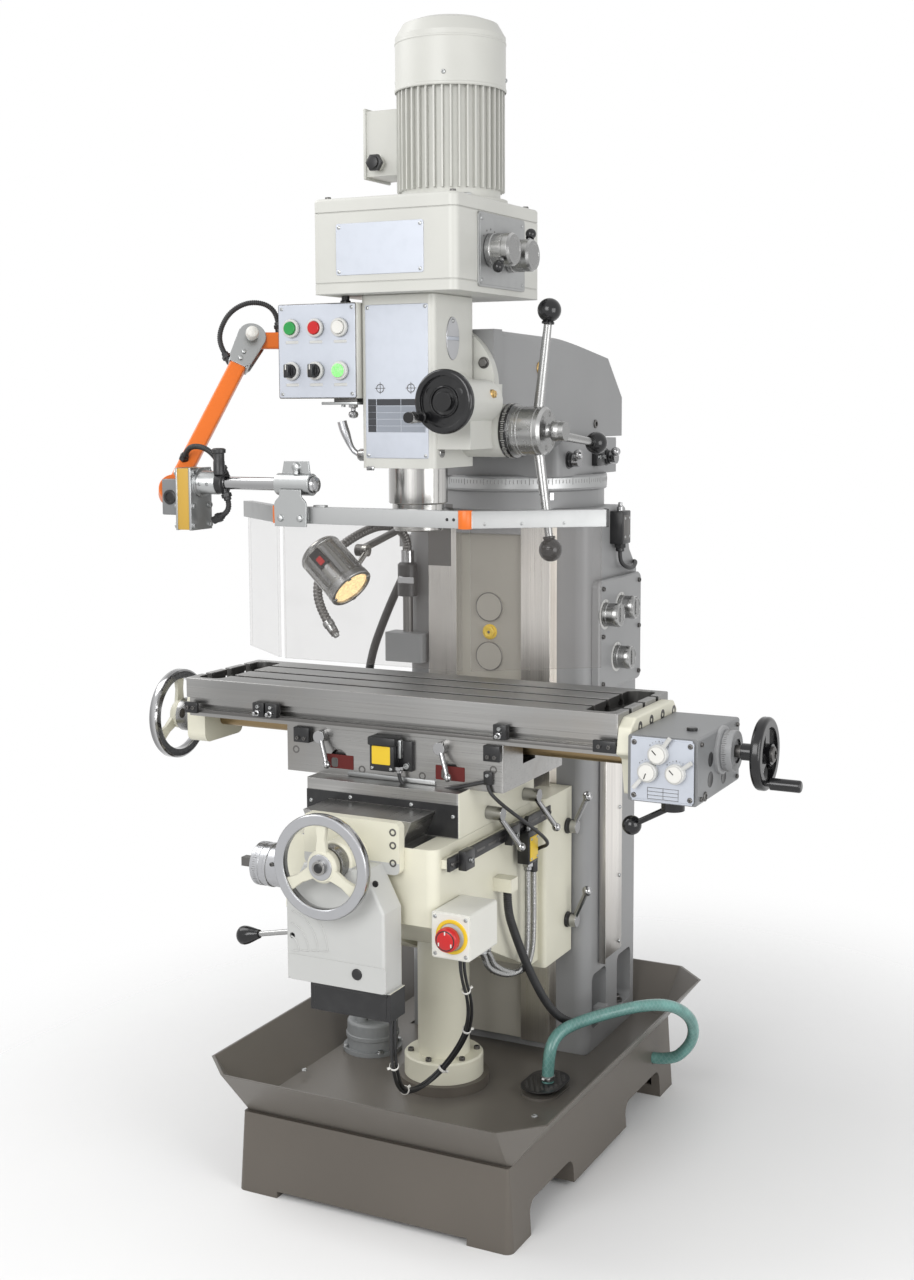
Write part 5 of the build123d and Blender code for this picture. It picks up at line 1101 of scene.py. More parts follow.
@dataclass
class Cord:
    """A free line: its route in the drawing, its sheath and what holds its ends."""

    name: str
    route: Sequence[Triple]
    radius: float
    finish: Finish
    body: str
    far_end: str = "object"
    stiffness: str = "medium"
    lay: str = "hanging"
    pitch: float = 0.0
    depth: float = 0.16
    replaces: tuple[str, ...] = ()
    slot: str = "cable_black"
    far_body: str = ""
    bend: tuple[Triple, Triple] | None = None

    def swell(self, run: float) -> float:
        """The corrugated sheath's radius after a length run."""
        turn = math.cos(2 * math.pi * run / self.pitch)
        return self.radius * (1 - self.depth * (0.5 - 0.5 * math.copysign(abs(turn) ** 0.6, turn)))

    def ribbed(self) -> bpy.types.Object:
        """A corrugated sheath along the route.

        Returns:
            The cord's object.
        """
        path = even(read_route(self.route), self.pitch / RIB_POINTS * MM)
        piece = Piece(self.name, self.body, *self.replaces, slot=self.slot)
        piece.pipe(path, self.swell, self.finish, SHEATH_SIDES, metres=True)
        return piece.done()

    def smooth(self) -> bpy.types.Object:
        """A plain round sheath along the route.

        Returns:
            The cord's object.
        """
        made = thread_curve(self.name, self.route)
        made.data.bevel_depth = self.radius * MM
        made.data.bevel_resolution = 5
        made.data.use_fill_caps = True
        made.data.materials.append(PAINTS.coat(self.finish))
        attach(made, self.body)
        self.stand_in()
        LOG.info("cord %s on %s", self.name, self.body)
        return made

    def stand_in(self) -> None:
        """Hide the CAD nodes that the cord stands for.
        """
        if self.replaces:
            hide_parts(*self.replaces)

    def flex(self, made: bpy.types.Object) -> None:
        """Bake a loose mesh's place into its points."""
        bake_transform(made)

    def bent(self) -> bpy.types.Object:
        """A sheath along the route, made on no body.

        Returns:
            The cord's object.
        """
        path = even(read_route(self.route), self.pitch / RIB_POINTS * MM if self.pitch else SHEATH_STEP)
        piece = Piece(self.name, "")
        piece.pipe(path, self.swell if self.pitch else self.radius, self.finish, SHEATH_SIDES, metres=True)
        made = piece.loose()
        self.flex(made)
        self.stand_in()
        return made

    def build(self, *with_pieces: bpy.types.Object) -> bpy.types.Object:
        """Args:
            with_pieces: Ties and fittings that go along with it; not used.

        Returns:
            The cord's object.
        """
        made = self.bent() if self.far_body else self.ribbed() if self.pitch else self.smooth()
        path = read_route(self.route)
        meshed = self.pitch or self.far_body
        extra = {"path": [tuple(point) for point in even(path, ROUTE_STEP)]} if meshed else {}
        if with_pieces:
            extra["with_pieces"] = list(with_pieces)
        2 * self.radius * MM
        return made


@dataclass
class Studio:
    """Camera, lamps, floor and backdrop."""

    eye: Triple = (1393.6, -2477.4, 1413.1)
    yaw: float = 26.92
    pitch: float = 6.31
    roll: float = -0.24
    lens: float = 46.94
    sensor: float = 36
    shift: float = -0.04
    floor_half: float = 30
    floor_fade: tuple[float, float] = (0.55, 1.5)
    floor_tones: tuple[Triple, Triple] = ((0.93, 0.93, 0.93), (0.96, 0.96, 0.96))
    fill: float = 0.5
    lamps: tuple[tuple[Triple, Triple, float, float], ...] = (
        ((150, -3300, 2300), (0, 200, 900), 1.9, 64),
        ((2700, -900, 1300), (0, 250, 700), 1.7, 34),
        ((-1900, -300, 3000), (0, 200, 900), 1.6, 30),
    )

    def camera(self) -> None:
        """Set the camera where the picture was taken from."""
        data = bpy.data.cameras.new("camera")
        data.lens, data.sensor_width, data.sensor_fit = self.lens, self.sensor, "AUTO"
        data.shift_y = self.shift
        yaw, pitch = math.radians(self.yaw), math.radians(self.pitch)
        ahead = Vector((-math.sin(yaw) * math.cos(pitch), math.cos(yaw) * math.cos(pitch), -math.sin(pitch)))
        made = bpy.data.objects.new("camera", data)
        turn = ahead.to_track_quat("-Z", "Y").to_matrix() @ Matrix.Rotation(math.radians(self.roll), 3, "Z")
        made.matrix_world = Matrix.Translation(spot(self.eye)) @ turn.to_4x4()
        bpy.context.scene.collection.objects.link(made)
        bpy.context.scene.camera = made

    def light(self) -> None:
        """Hang the lamps and light the backdrop."""
        for place, aim, size, power in self.lamps:
            data = bpy.data.lights.new("lamp", "AREA")
            data.size, data.energy = size, power
            made = bpy.data.objects.new("lamp", data)
            ahead = Vector(aim) - Vector(place)
            turn = ahead.to_track_quat("-Z", "Y").to_matrix().to_4x4()
            made.matrix_world = Matrix.Translation(spot(place)) @ turn
            bpy.context.scene.collection.objects.link(made)
        world = bpy.data.worlds.new("backdrop")
        graph = Graph(world)
        rays = ("Camera", "Glossy", "Transmission")
        seen = [graph.node("ShaderNodeLightPath", out=f"Is {kind} Ray") for kind in rays]
        level = self.fill + seen[0].most(seen[1]).most(seen[2]) * (1 - self.fill)
        glow = graph.node("ShaderNodeBackground", None, {"Color": (1.0, 1.0, 1.0), "Strength": level})
        graph.node("ShaderNodeOutputWorld", None, {"Surface": glow})
        bpy.context.scene.world = world
        bpy.context.scene.view_settings.view_transform = "Standard"

    def floor(self) -> None:
        """Lay the pale floor."""
        store = bpy.data.meshes.new("floor")
        half = self.floor_half
        store.from_pydata(
            [(-half, -half, 0), (half, -half, 0), (half, half, 0), (-half, half, 0)], [], [(0, 1, 2, 3)],
        )
        tree = Tree("floor_white")
        dust = tree.noise(3, 3)
        away = tree.vector("LENGTH", tree.vector("MULTIPLY", tree.place, (1.0, 0.8, 0.0)), out="Value")
        store.materials.append(tree.surface({
            "Base Color": tree.mix(dust, *self.floor_tones), "Roughness": 0.8,
            "Alpha": 1 - away.ease(*self.floor_fade),
        }))
        made = bpy.data.objects.new("floor", store)
        bpy.context.scene.collection.objects.link(made)

    def build(self) -> None:
        """Set the whole studio."""
        self.camera()
        self.light()
        self.floor()


@dataclass
class Lines:
    """The free cords and hoses."""

    hose: Route = (
        (195, 246, 161.2), (195, 246, 218), (202, 272, 252), (228, 318, 262), (268, 372, 268),
        (312, 424, 272), (350, 478, 262), (370, 532, 226), (366, 578, 178), (346, 606, 132), (306, 612, 92),
        (252, 612, 92),
    )
    loom: Route = (
        (88, -150, 407.8), (88, -150, 372), (80, -134, 330), (64, -98, 284), (44, -50, 242), (30, 2, 208),
        (34, 52, 198), (56, 82, 220), (88, 80, 262), (118, 62, 308), (140, 34, 352), (154, 2, 398),
        (162, -32, 438), (168, -54, 476), (168, -54, 510.8),
    )
    conduit: Route = (
        (172, 120, 559.8), (172, 120, 524), (176, 142, 476), (180, 174, 420), (184, 216, 360),
        (186, 264, 306), (188, 316, 264), (194, 368, 236), (206, 420, 222), (206, 469.8, 222),
    )
    riser: Route = (
        (-206, 460, 1129.8), (-206, 460, 1092), (-232, 460, 1046), (-264, 460, 980), (-296, 462, 905),
        (-312, 468, 826), (-302, 478, 748), (-268, 488, 682), (-230, 494, 634), (-206, 496, 584),
        (-206, 496, 544.2),
    )
    gooseneck: Route = (
        (-180, 407, 1127), (-180, 407, 1159), (-194, 344, 1184), (-212, 266, 1168), (-238, 206, 1132),
        (-247, 172, 1082), (-232, 160, 1032), (-198, 158, 990),
    )
    cable: float = 2.7
    tie_step: float = 0.004
    tie_shares: tuple[float, ...] = (0.16, 0.36, 0.52, 0.68, 0.86)

    def build(self) -> None:
        """Make each line with its ties and fittings."""
        self._hose()
        self._loom()
        self._knee_conduit()
        self._column_lines()

    def _hose(self) -> None:
        """The drain hose and its clamp."""
        clamp = Piece("hose_clamp", "frame")
        clamp.turned((195, 246, 170), UP, band(12.2, 13.0, 9, 0.4), SATIN)
        clamp.block((193, 231, 171), (206, 236, 178), SATIN, 1.2)
        clamp.turned((190, 233.5, 174.5), RIGHT, ((3.6, 0, 6), (3.6, 5, 6), (0, 5)), ZINC, 24)
        Cord(
            "drain_hose", self.hose, 11.5, HOSE, "frame", lay="loose", replaces=("coolant_hose",),
            slot="hose_green",
        ).build(clamp.done())

    def _loom(self) -> None:
        """Three cables tied together under the knee."""
        path = read_route(self.loom)
        ties = Piece("cable_ties", "")
        close = even(path, self.tie_step)
        for share in self.tie_shares:
            k = int(share * (len(close) - 2))
            here, ahead = close[k] / MM + DATUM, (close[k + 1] - close[k]).normalized()
            ties.turned(here - ahead * 2.5, ahead, band(7.2, 8.2, 5, 0.5), WHITE, 24)
            side = ahead.orthogonal().normalized()
            ties.pipe([here + side * 7.6, here + side * 12.5], 2.6, WHITE, 6)
        sag = {"far_body": "frame", "bend": (self.loom[0], (88, -150, 197.8))}
        tied = ties.loose()
        Cord("cable_ties", self.loom, self.cable, WHITE, "knee", **sag).flex(tied)
        for k, (across, over) in enumerate(((-3.9, 2.2), (3.8, 2.0), (0.2, -4.4))):
            route = [(x + across, y + over * 0.9, z + over * 0.4 * (0 < j < len(self.loom) - 1))
                     for j, (x, y, z) in enumerate(self.loom)]
            Cord(
                f"loom_cable_{k + 1}", route, self.cable, RUBBER, "knee", stiffness="limp",
                replaces=("knee_cables",) if k == 0 else (), **sag,
            ).build(*([tied] if k == 0 else []))
        LOG.info("loom of three cables, %.3f m", length_of(path))

    def _knee_conduit(self) -> None:
        """The corrugated conduit between the knee and the column's foot."""
        Cord("knee_conduit", self.conduit, 8, RUBBER, "knee", pitch=4.2, far_body="frame").build()

    def _column_lines(self) -> None:
        """The corrugated riser and the segmented coolant gooseneck on the column's left."""
        glands = Piece("riser_glands", "frame")
        for y, z, way in ((460, 1130, DOWN), (496, 544, UP)):
            glands.turned((-206, y, z), way, (
                (12.5, -0.5, 6), (12.5, 7, 6), (11.2, 8), (11.2, 15), (10.2, 17), (9.2, 17.2),
            ), BLACK, 36)
        Cord(
            "column_riser", self.riser, 9, RUBBER, "frame", pitch=4.2, replaces=("column_lines",),
        ).build(glands.done())
        nozzle = Piece("coolant_nozzle", "frame", slot="chrome")
        end, last = Vector(self.gooseneck[-1]), Vector(self.gooseneck[-2])
        ahead = (end - last).normalized()
        nozzle.turned(end - ahead * 30, ahead, (
            (9.3, 0), (10.4, 1), (10.4, 9), (9.4, 10), (9.4, 20), (6.5, 30), (5.4, 36), (3.6, 36), (3.4, 20),
            (0, 19),
        ), SATIN)
        for k in range(3):
            nozzle.turned(end - ahead * (27 - 3 * k), ahead, band(10.5, 10.9, 2, 0.7), SATIN)
        Cord(
            "coolant_gooseneck", self.gooseneck, 9, DARK_STEEL, "frame", "tool", "stiff", "loose", pitch=7.0,
            depth=0.12,
        ).build(nozzle.done())


@dataclass
class Base:
    """Base casting, chip tray and strainer."""

    strainer: Triple = (195, 246, 165)
    tray_screws: Route = ((-244, 101, 161), (231, 106, 161))
    straight: float = 18
    holes: float = 10
    hole_rows: float = 9.4
    hole_reach: float = 32
    hose_off: float = 5
    hose_room: float = 18

    def build(self) -> None:
        """Add the tray's screws and the strainer's plate with its raised holes."""
        piece = Piece("tray_fittings", "frame")
        for at in self.tray_screws:
            piece.flat_screw(at, UP, 6)
        piece.done()
        sieve = Piece("strainer_plate", "frame")
        x, y, z = self.strainer
        x -= self.hose_off
        sieve.slab((x, y, z - 0.6), UP, [(v, u) for u, v in rounded(114, 76, 37.9, 12)], 1.8, BLACK, 0.5)
        for row, column in product(range(-5, 6), range(-3, 4)):
            dx, dy = self.holes * (column + row % 2 / 2), self.hole_rows * row
            reach = math.hypot(dx, max(0.0, abs(dy) - self.straight))
            if reach < self.hole_reach and math.hypot(dx - self.hose_off, dy) > self.hose_room:
                sieve.turned((x + dx, y + dy, z + 1.1), UP, (
                    (3.6, 0), (3.4, 0.7), (2.7, 0.8), (2.4, 0.1), (0, 0.05),
                ), DARK_STEEL, 12)
        sieve.done()

    def dress(self) -> None:
        """Paint the castings."""
        coat_node("base_casting", TAUPE)
        coat_node("chip_tray", Enamel((0.145, 0.132, 0.116), rough=0.34))


@dataclass
class Pedestal:
    """Pedestal tube under the knee, with its flange bolts, and the coolant pump beside it."""

    axis: tuple[float, float] = (0, 205)
    plinth_top: float = 168
    flange_top: float = 208
    bolt_ring: float = 62
    pump: tuple[float, float] = (-200, 285)
    pump_motor: tuple[float, float] = (-212, 299)

    def build(self) -> None:
        """Add the flange bolts and the pump's screws, cap and union."""
        bolts = Piece("pedestal_bolts", "frame")
        x, y = self.axis
        for dx, dy in ring(self.bolt_ring, 6, 30):
            bolts.cap_screw((x + dx, y + dy, self.flange_top), UP, 7.5)
        bolts.done()
        x, y = self.pump
        fit = Piece("pump_fittings", "frame")
        for dx, dy in ring(54, 4, 45):
            fit.hex_bolt((x + dx, y + dy, 157), UP, 6)
        fit.turned((x, y, 176), UP, band(50.2, 52.4, 10, 1.5), PUMP_GREY, 48)
        mx, my = self.pump_motor
        fit.turned((mx, my, 262), UP, band(34.2, 35.6, 10, 1), PUMP_GREY, 48)
        fit.turned((mx, my, 302), UP, ((34.2, 0), (36, 1.5), (36, 20), (33, 26)), PUMP_GREY, 48)
        for dx, dy in ring(33.9, 10):
            fit.slab((mx + dx, my + dy, 242), Vector((dx, dy, 0)), rounded(3, 32, 1), 2.4, PUMP_GREY)
        fit.turned((x - 10, y - 26, 236), UP, (
            (11.2, 0), (13.5, 0.5, 6), (13.5, 9, 6), (11.2, 9.5),
        ), BRASS, 36)
        fit.done()

    def dress(self) -> None:
        """Paint the tube, leaving its plinth in the base's colour."""
        coat_node("pedestal", CREAM, Box(TAUPE, (-90, 110, 140), (90, 300, self.plinth_top)))
        coat_node(
            "coolant_pump", PUMP_GREY, Box(DARK_STEEL, (-205, 380, 966), (-155, 436, 1036)),
            Box(BLACK, (-205, 380, 1036), (-155, 436, 1104)),
            Box(CHROME, (-205, 370, 1104), (-140, 436, 1130)),
            Box(CHROME, (-190, 370, 1060), (-140, 384, 1085)),
        )


@dataclass
class Knee:
    """Knee with its rails, switches, hoses, clamp handles and emergency stop."""

    rail_x: float = 162
    rail_z: float = 657.5
    stop_axis: Triple = (188, -126, 550)
    lid_y: float = -127
    clamps: tuple[tuple[str, float], ...] = (("upper", 611), ("lower", 427))

    def build(self) -> None:
        """Add everything that sits on the knee."""
        self._right_side()
        self._stop_box()
        self._clamps()
        self._left_side()

    def _right_side(self) -> None:
        """The slotted stop rail, its dogs, the travel switch and the metal hoses."""
        x = self.rail_x
        rail = Piece("knee_stop_rail", "knee")
        rail.block((x - 1, -92, 646), (x + 5, 322, 669), BLACK, 1.0)
        for k in range(9):
            y = -78 + 44 * k
            rail.block((x + 4.6, y, self.rail_z - 2), (x + 5.5, y + 30, self.rail_z + 2), DARK_STEEL, 0.2, 1)
        for y in (-84, 312):
            rail.cap_screw((x + 5, y, self.rail_z), RIGHT, 5)
        for y in (-60, 120):
            rail.block((x + 4, y, 641), (x + 19, y + 34, 674), BLACK, 1.5)
            rail.cap_screw((x + 19, y + 17, 657), RIGHT, 6, ZINC)
        rail.done()
        switch = Piece("knee_travel_switch", "knee")
        switch.block((x - 2, 186, 590), (x + 22, 226, 650), BLACK, 2)
        switch.block((x + 21.5, 190, 596), (x + 23.5, 222, 640), YELLOW, 0.6)
        for y, z in ((194, 600), (218, 600), (194, 636), (218, 636)):
            switch.flat_screw((x + 23.4, y, z), RIGHT, 2.4)
        switch.turned((x + 10, 206, 590), DOWN, (
            (9, 0, 6), (9, 7, 6), (7.4, 8), (7.4, 14), (5, 15),
        ), CHROME, 36)
        switch.turned((x + 10, 206, 650), UP, ((6, 0), (6, 7), (4, 8), (4, 16), (0, 17)), CHROME, 24)
        switch.turned((x + 10, 232, 566), UP, (
            (6.6, 0), (7.6, 0.6), (7.6, 26), (6.6, 28), (4, 28.4),
        ), BLACK, 28)
        switch.turned((x + 6, 206, 668), RIGHT, ((6.5, 0), (7, 0.6), (7, 7.4), (6.5, 8), (0, 8)), BLACK, 28)
        switch.done()
        for k, (start_y, end_y) in enumerate(((206, -8), (232, 8))):
            down, out = 4 * k, 16 * k
            route = [
                (x + 10, start_y, 574 - 2 * down), (x + 10, start_y, 540), (x + 10, start_y + 1, 470),
                (x + 9, start_y - 2, 415), (x + 6, start_y - 24, 392 - down),
                (x + 2, start_y - 80, 402 - down), (x + 2, start_y - 150, 436 - down),
                (x + 8, (end_y + start_y) / 2 - 70, 470 - down), (x + 16, end_y, 490),
                (x + 22 + out, end_y - 20, 497), (x + 24 + out, end_y - 34, 504),
                (x + 24 + out, end_y - 34, 510.6),
            ]
            Cord(
                f"braided_hose_{k + 1}", route, 5.4, SATIN, "knee", pitch=2.6, depth=0.1, slot="chrome",
            ).build()

    def _stop_box(self) -> None:
        """The emergency stop's lid, screws, glands and yellow ring."""
        x, _, z = self.stop_axis
        lid = Piece("stop_box_lid", "knee")
        lid.slab((x - 2.5, -125, z), FRONT, rounded(67, 74, 4), 2.2, BOX_WHITE, 0.8)
        for dx, dz in product((-28, 28), (-31, 31)):
            lid.flat_screw((x - 2.5 + dx, self.lid_y - 0.1, z + dz), FRONT, 3.4)
        lid.turned((x, self.lid_y, z), FRONT, ((29, -1), (29, 1.2), (28, 2), (23, 2), (23, 0)), YELLOW, 48)
        for gx, gy in ((186, -54), (204, -46), (168, -54)):
            lid.turned((gx, gy, 512), DOWN, (
                (8.5, 0, 6), (8.5, 6, 6), (7.6, 6.5), (7.6, 11), (6, 12),
            ), ZINC, 36)
        lid.done()
        mushroom = Piece("stop_mushroom", "estop_button")
        mushroom.turned((x, -137.4, z), FRONT, (
            (19.9, 0), (20.3, 1), (20.3, 9), (19.2, 12), (15, 14.6), (8, 15.6), (0, 15.9),
        ), RED, 48)
        mushroom.turned((x, -137, z), BACK, ((14, 0), (14, 1.6), (13, 2.2)), BLACK, 36)
        for dx, dz in ring(13, 3, 90):
            mushroom.slab((x + dx, -152.4, z + dz), FRONT, rounded(2.2, 6, 0.8), 0.7, WHITE, 0.1)
        mushroom.done()

    def _clamps(self) -> None:
        """Washers and ball ends on the clamp handles."""
        for name, z in self.clamps:
            piece = Piece(f"knee_clamp_{name}_trim", f"knee_clamp_{name}")
            piece.turned((165.7, 403, z), RIGHT, (
                (15, 0), (15, 3), (13.4, 4), (13.4, 9), (13, 9.4),
            ), BLACK, 32)
            piece.ball((211, 393, z + 64), 9.6, CHROME)
            piece.done()

    def _left_side(self) -> None:
        """The lift collar's rims, scale and set screw."""
        piece = Piece("lift_collar_trim", "knee")
        piece.turned((-206, -40, 600), LEFT, (
            (38.1, 0), (39.4, 0.6), (39.4, 6), (38.1, 6.6), (38.1, 16), (38.8, 16.6), (38.8, 32),
            (36.6, 34.2), (30, 34.4),
        ), FACED, 64)
        ticks(piece, (-230, -40, 600), LEFT, 38.8, 60, DARK_STEEL, 5)
        piece.cap_screw((-192, -76, 612), FRONT, 5)
        piece.done()

    def dress(self) -> None:
        """Paint the casting; the cross ways on top are bare."""
        coat_node(
            "knee", CREAM, Box(STEEL_Y, (-108, -112, 683.4), (108, 402, 729)),
            Box(BOX_WHITE, (150.2, -128, 508), (224, -20, 592)),
            Box(FACED, (-250, -90, 550), (-151, 10, 650)),
        )
        coat_node("estop_button", RED, Round(BLACK, self.stop_axis, FRONT, 0, 17))
        for name in ("knee_clamp_upper", "knee_clamp_lower", "saddle_clamp_front", "saddle_clamp_rear"):
            coat_node(name, CHROME)
        coat_node("lift_shaft", DARK_STEEL)
        coat_node("lift_screw", STEEL_Z)


@dataclass
class CrossFeed:
    """Cross-feed bracket, power unit, handwheel and the lever with its knob."""

    wheel: Triple = (0, -222, 668)
    unit_front: float = -185

    def build(self) -> None:
        """Add covers, caps, screws and the dial's marks."""
        self._unit()
        wheel = Piece("cross_wheel_trim", "cross_screw")
        x, y, z = self.wheel
        wheel.turned((x, y + 16, z), BACK, band(30.1, 30.6, 12, 0.5), SATIN, 60)
        ticks(wheel, (x, y + 22, z), BACK, 30.6, 50, DARK_STEEL, 5)
        wheel.done()
        lever = Piece("feed_lever_trim", "cross_feed_lever")
        lever.turned((-98.2, -157, 531), LEFT, (
            (9.4, 0), (9.4, 2.4), (8.4, 3.2), (8.4, 6), (7, 7),
        ), DARK_STEEL, 32)
        lever.turned((-165.6, -157, 513.4), Vector((-114, 0, -24)), (
            (5.2, 0), (7.6, 1), (9, 6), (12.6, 16), (15.6, 26), (16.4, 32), (15.6, 37), (12.6, 41), (7, 43.4),
            (0, 44),
        ), GLOSS_BLACK, 48)
        lever.done()

    def _unit(self) -> None:
        """The power unit's white cover with its arcs, its caps and screws, and the motor's lid."""
        unit = Piece("feed_unit_covers", "knee")
        front = self.unit_front
        unit.slab((3, front + 0.5, 478), FRONT, rounded(188, 44, 7), 1.4, UNIT_WHITE, 0.6)
        for k in range(4):
            wide, high = 17 + 19 * k, 26 + 22 * k
            arc = [(-86 + wide * dx, front - 0.2, 504 + high * dz) for dx, dz in ring(1, 11, 6, 8)]
            unit.pipe(arc, 1.3, UNIT_WHITE, 8)
            unit.pipe([arc[0], (arc[0][0] - 13, arc[0][1], arc[0][2] - 1)], 1.3, UNIT_WHITE, 8)
        unit.turned((43, front, 483), FRONT, ((9.5, 0), (9.5, 2.4), (8.4, 3.2), (0, 3.2)), BLACK, 32)
        unit.turned((79, front + 0.4, 640), FRONT, ((5.5, 0), (5.5, 1.6), (4.8, 2.2), (0, 2.2)), BLACK, 24)
        for z in (712, 690, 660):
            unit.turned((80, -127.8, z), FRONT, (
                (6.4, 0), (6.4, 0.8), (5.8, 1), (3.6, 1, 6), (3.6, -2, 6), (0, -2),
            ), DARK_STEEL, 24)
        unit.slab((25, -178.6, 432), FRONT, rounded(138, 40, 6), 1.2, BLACK, 0.5)
        unit.block((-46, -181, 449), (96, -126, 454.6), BLACK, 1.4)
        unit.done()

    def dress(self) -> None:
        """Paint the unit; the motor can below is black."""
        coat_node(
            "cross_feed_unit", CREAM, Box(UNIT_WHITE, (-100, -190, 455), (100, -127.6, 660)),
            Box(BLACK, (-60, -190, 400), (110, -120, 455)),
        )
        coat_node("cross_screw", STEEL_Y)
        coat_node("cross_feed_lever", GLOSS_BLACK, Box(SATIN, (-167, -200, 480), (-94, -120, 580)))


@dataclass
class Saddle:
    """Saddle with wipers, felts, the front switch and the clamp handles."""

    front: float = 14
    plate_front: float = -26
    cable: float = 3.2
    clamps: tuple[tuple[str, float], ...] = (("table_clamp_left", -139), ("table_clamp_right", 100))

    def build(self) -> None:
        """Add wipers, felts, switch, stops, cables and handle ends."""
        self._fittings()
        self._switch()
        self._down_cable()
        for name, x in self.clamps:
            trim = Piece(f"{name}_trim", name)
            trim.turned((x, self.front - 0.6, 830), FRONT, ((10.4, 0), (10.4, 3), (9.2, 4)), BLACK, 32)
            trim.done()

    def _fittings(self) -> None:
        """The wiper plate, felts, plugs, stops and the cable's clip."""
        front = self.front
        piece = Piece("saddle_fittings", "saddle")
        piece.slab((0, self.plate_front + 0.3, 714), FRONT, [
            (-149, -28), (-86.5, -28), (-106.5, 15), (106.5, 15), (86.5, -28), (149, -28), (149, 28),
            (-149, 28),
        ], 1.8, BLACK, 0.3)
        for x, z in ((-140, 722), (-60, 735), (60, 735), (140, 722)):
            piece.flat_screw((x, self.plate_front - 1.4, z), FRONT, 3.4)
        for x in (-107, 112):
            piece.slab((x + 2, front + 0.2, 786), FRONT, rounded(56, 25, 1.5), 1.1, FELT, 0.4)
            piece.slab((x - 8, front - 0.6, 784), FRONT, rounded(13, 17, 4), 0.9, DARK_STEEL, 0.3)
        for x, z in ((-196, 800), (-60, 776), (60, 776), (196, 800)):
            piece.turned((x, front + 0.2, z), FRONT, (
                (7, 0), (7, 0.4), (4, 0.4, 6), (4, -2, 6), (0, -2),
            ), DARK_STEEL, 24)
        for x0, x1 in ((-194, -162), (182, 213)):
            piece.block((x0, front - 12, 816), (x1, front + 1, 843), BLACK, 1.2)
            for x in (x0 + 9, x1 - 9):
                piece.cap_screw((x, front - 12, 824), FRONT, 4.5)
        piece.block((-88, front - 3, 763), (86, front + 0.6, 771), ZINC, 0.6)
        piece.block((180, front - 7, 774), (196, front + 0.6, 797), BLACK, 1.2)
        piece.cap_screw((188, front - 7, 791), FRONT, 4, ZINC)
        piece.done()

    def _switch(self) -> None:
        """The table's travel switch and its cable."""
        front = self.front
        switch = Piece("table_travel_switch", "saddle")
        switch.block((-30, front - 26, 783), (18, front + 1, 830), BLACK, 2)
        switch.block((-32, front - 30, 828), (22, front + 1, 843), BLACK, 2.4)
        switch.slab((-7, front - 25.6, 811), FRONT, rounded(36, 32, 2), 1.2, YELLOW, 0.3)
        for x in (-25, 12):
            switch.flat_screw((x, front - 26, 788), FRONT, 2.8)
        switch.block((17, front - 8, 783), (44, front + 1, 836), BLACK, 1.4)
        switch.cap_screw((35, front - 8, 793), FRONT, 7, ZINC)
        switch.block((19, front - 15, 806), (26, front - 7, 838), ZINC, 1)
        switch.turned((22, front - 14, 792), DOWN, (
            (7.5, 0, 6), (7.5, 6, 6), (6, 7), (6, 11), (4, 12),
        ), CHROME, 36)
        switch.done()
        route = [
            (x, front - out, z) for x, out, z in (
                (22, 14, 780.5), (22, 14, 770), (32, 12, 757), (58, 10, 751), (100, 9, 757), (140, 8, 767),
                (172, 6, 776), (181, 4, 778),
            )
        ]
        Cord("switch_cable", route, self.cable, RUBBER, "saddle").build()

    def _down_cable(self) -> None:
        """The cable that runs from the saddle's clip down to the knee's metal hose."""
        route = [
            (188, self.front - 5, 774.4), (190, self.front - 7, 764), (205, 18, 744), (217, 62, 712),
            (220, 126, 676), (218, 184, 643), (206, 221, 622), (185, 231, 612), (173.5, 232, 604),
            (172, 232, 594),
        ]
        Cord("saddle_down_cable", route, self.cable, RUBBER, "saddle", far_body="knee").build()

    def dress(self) -> None:
        """Bare steel in front and on top, cream on the lower plate's sides."""
        coat_node(
            "saddle", STEEL_X, Box(CREAM, (149, -30, 683), (152, 290, 762)),
            Box(CREAM, (-152, -30, 683), (-149, 290, 762)),
        )
        for name, _ in self.clamps:
            coat_node(name, CHROME)


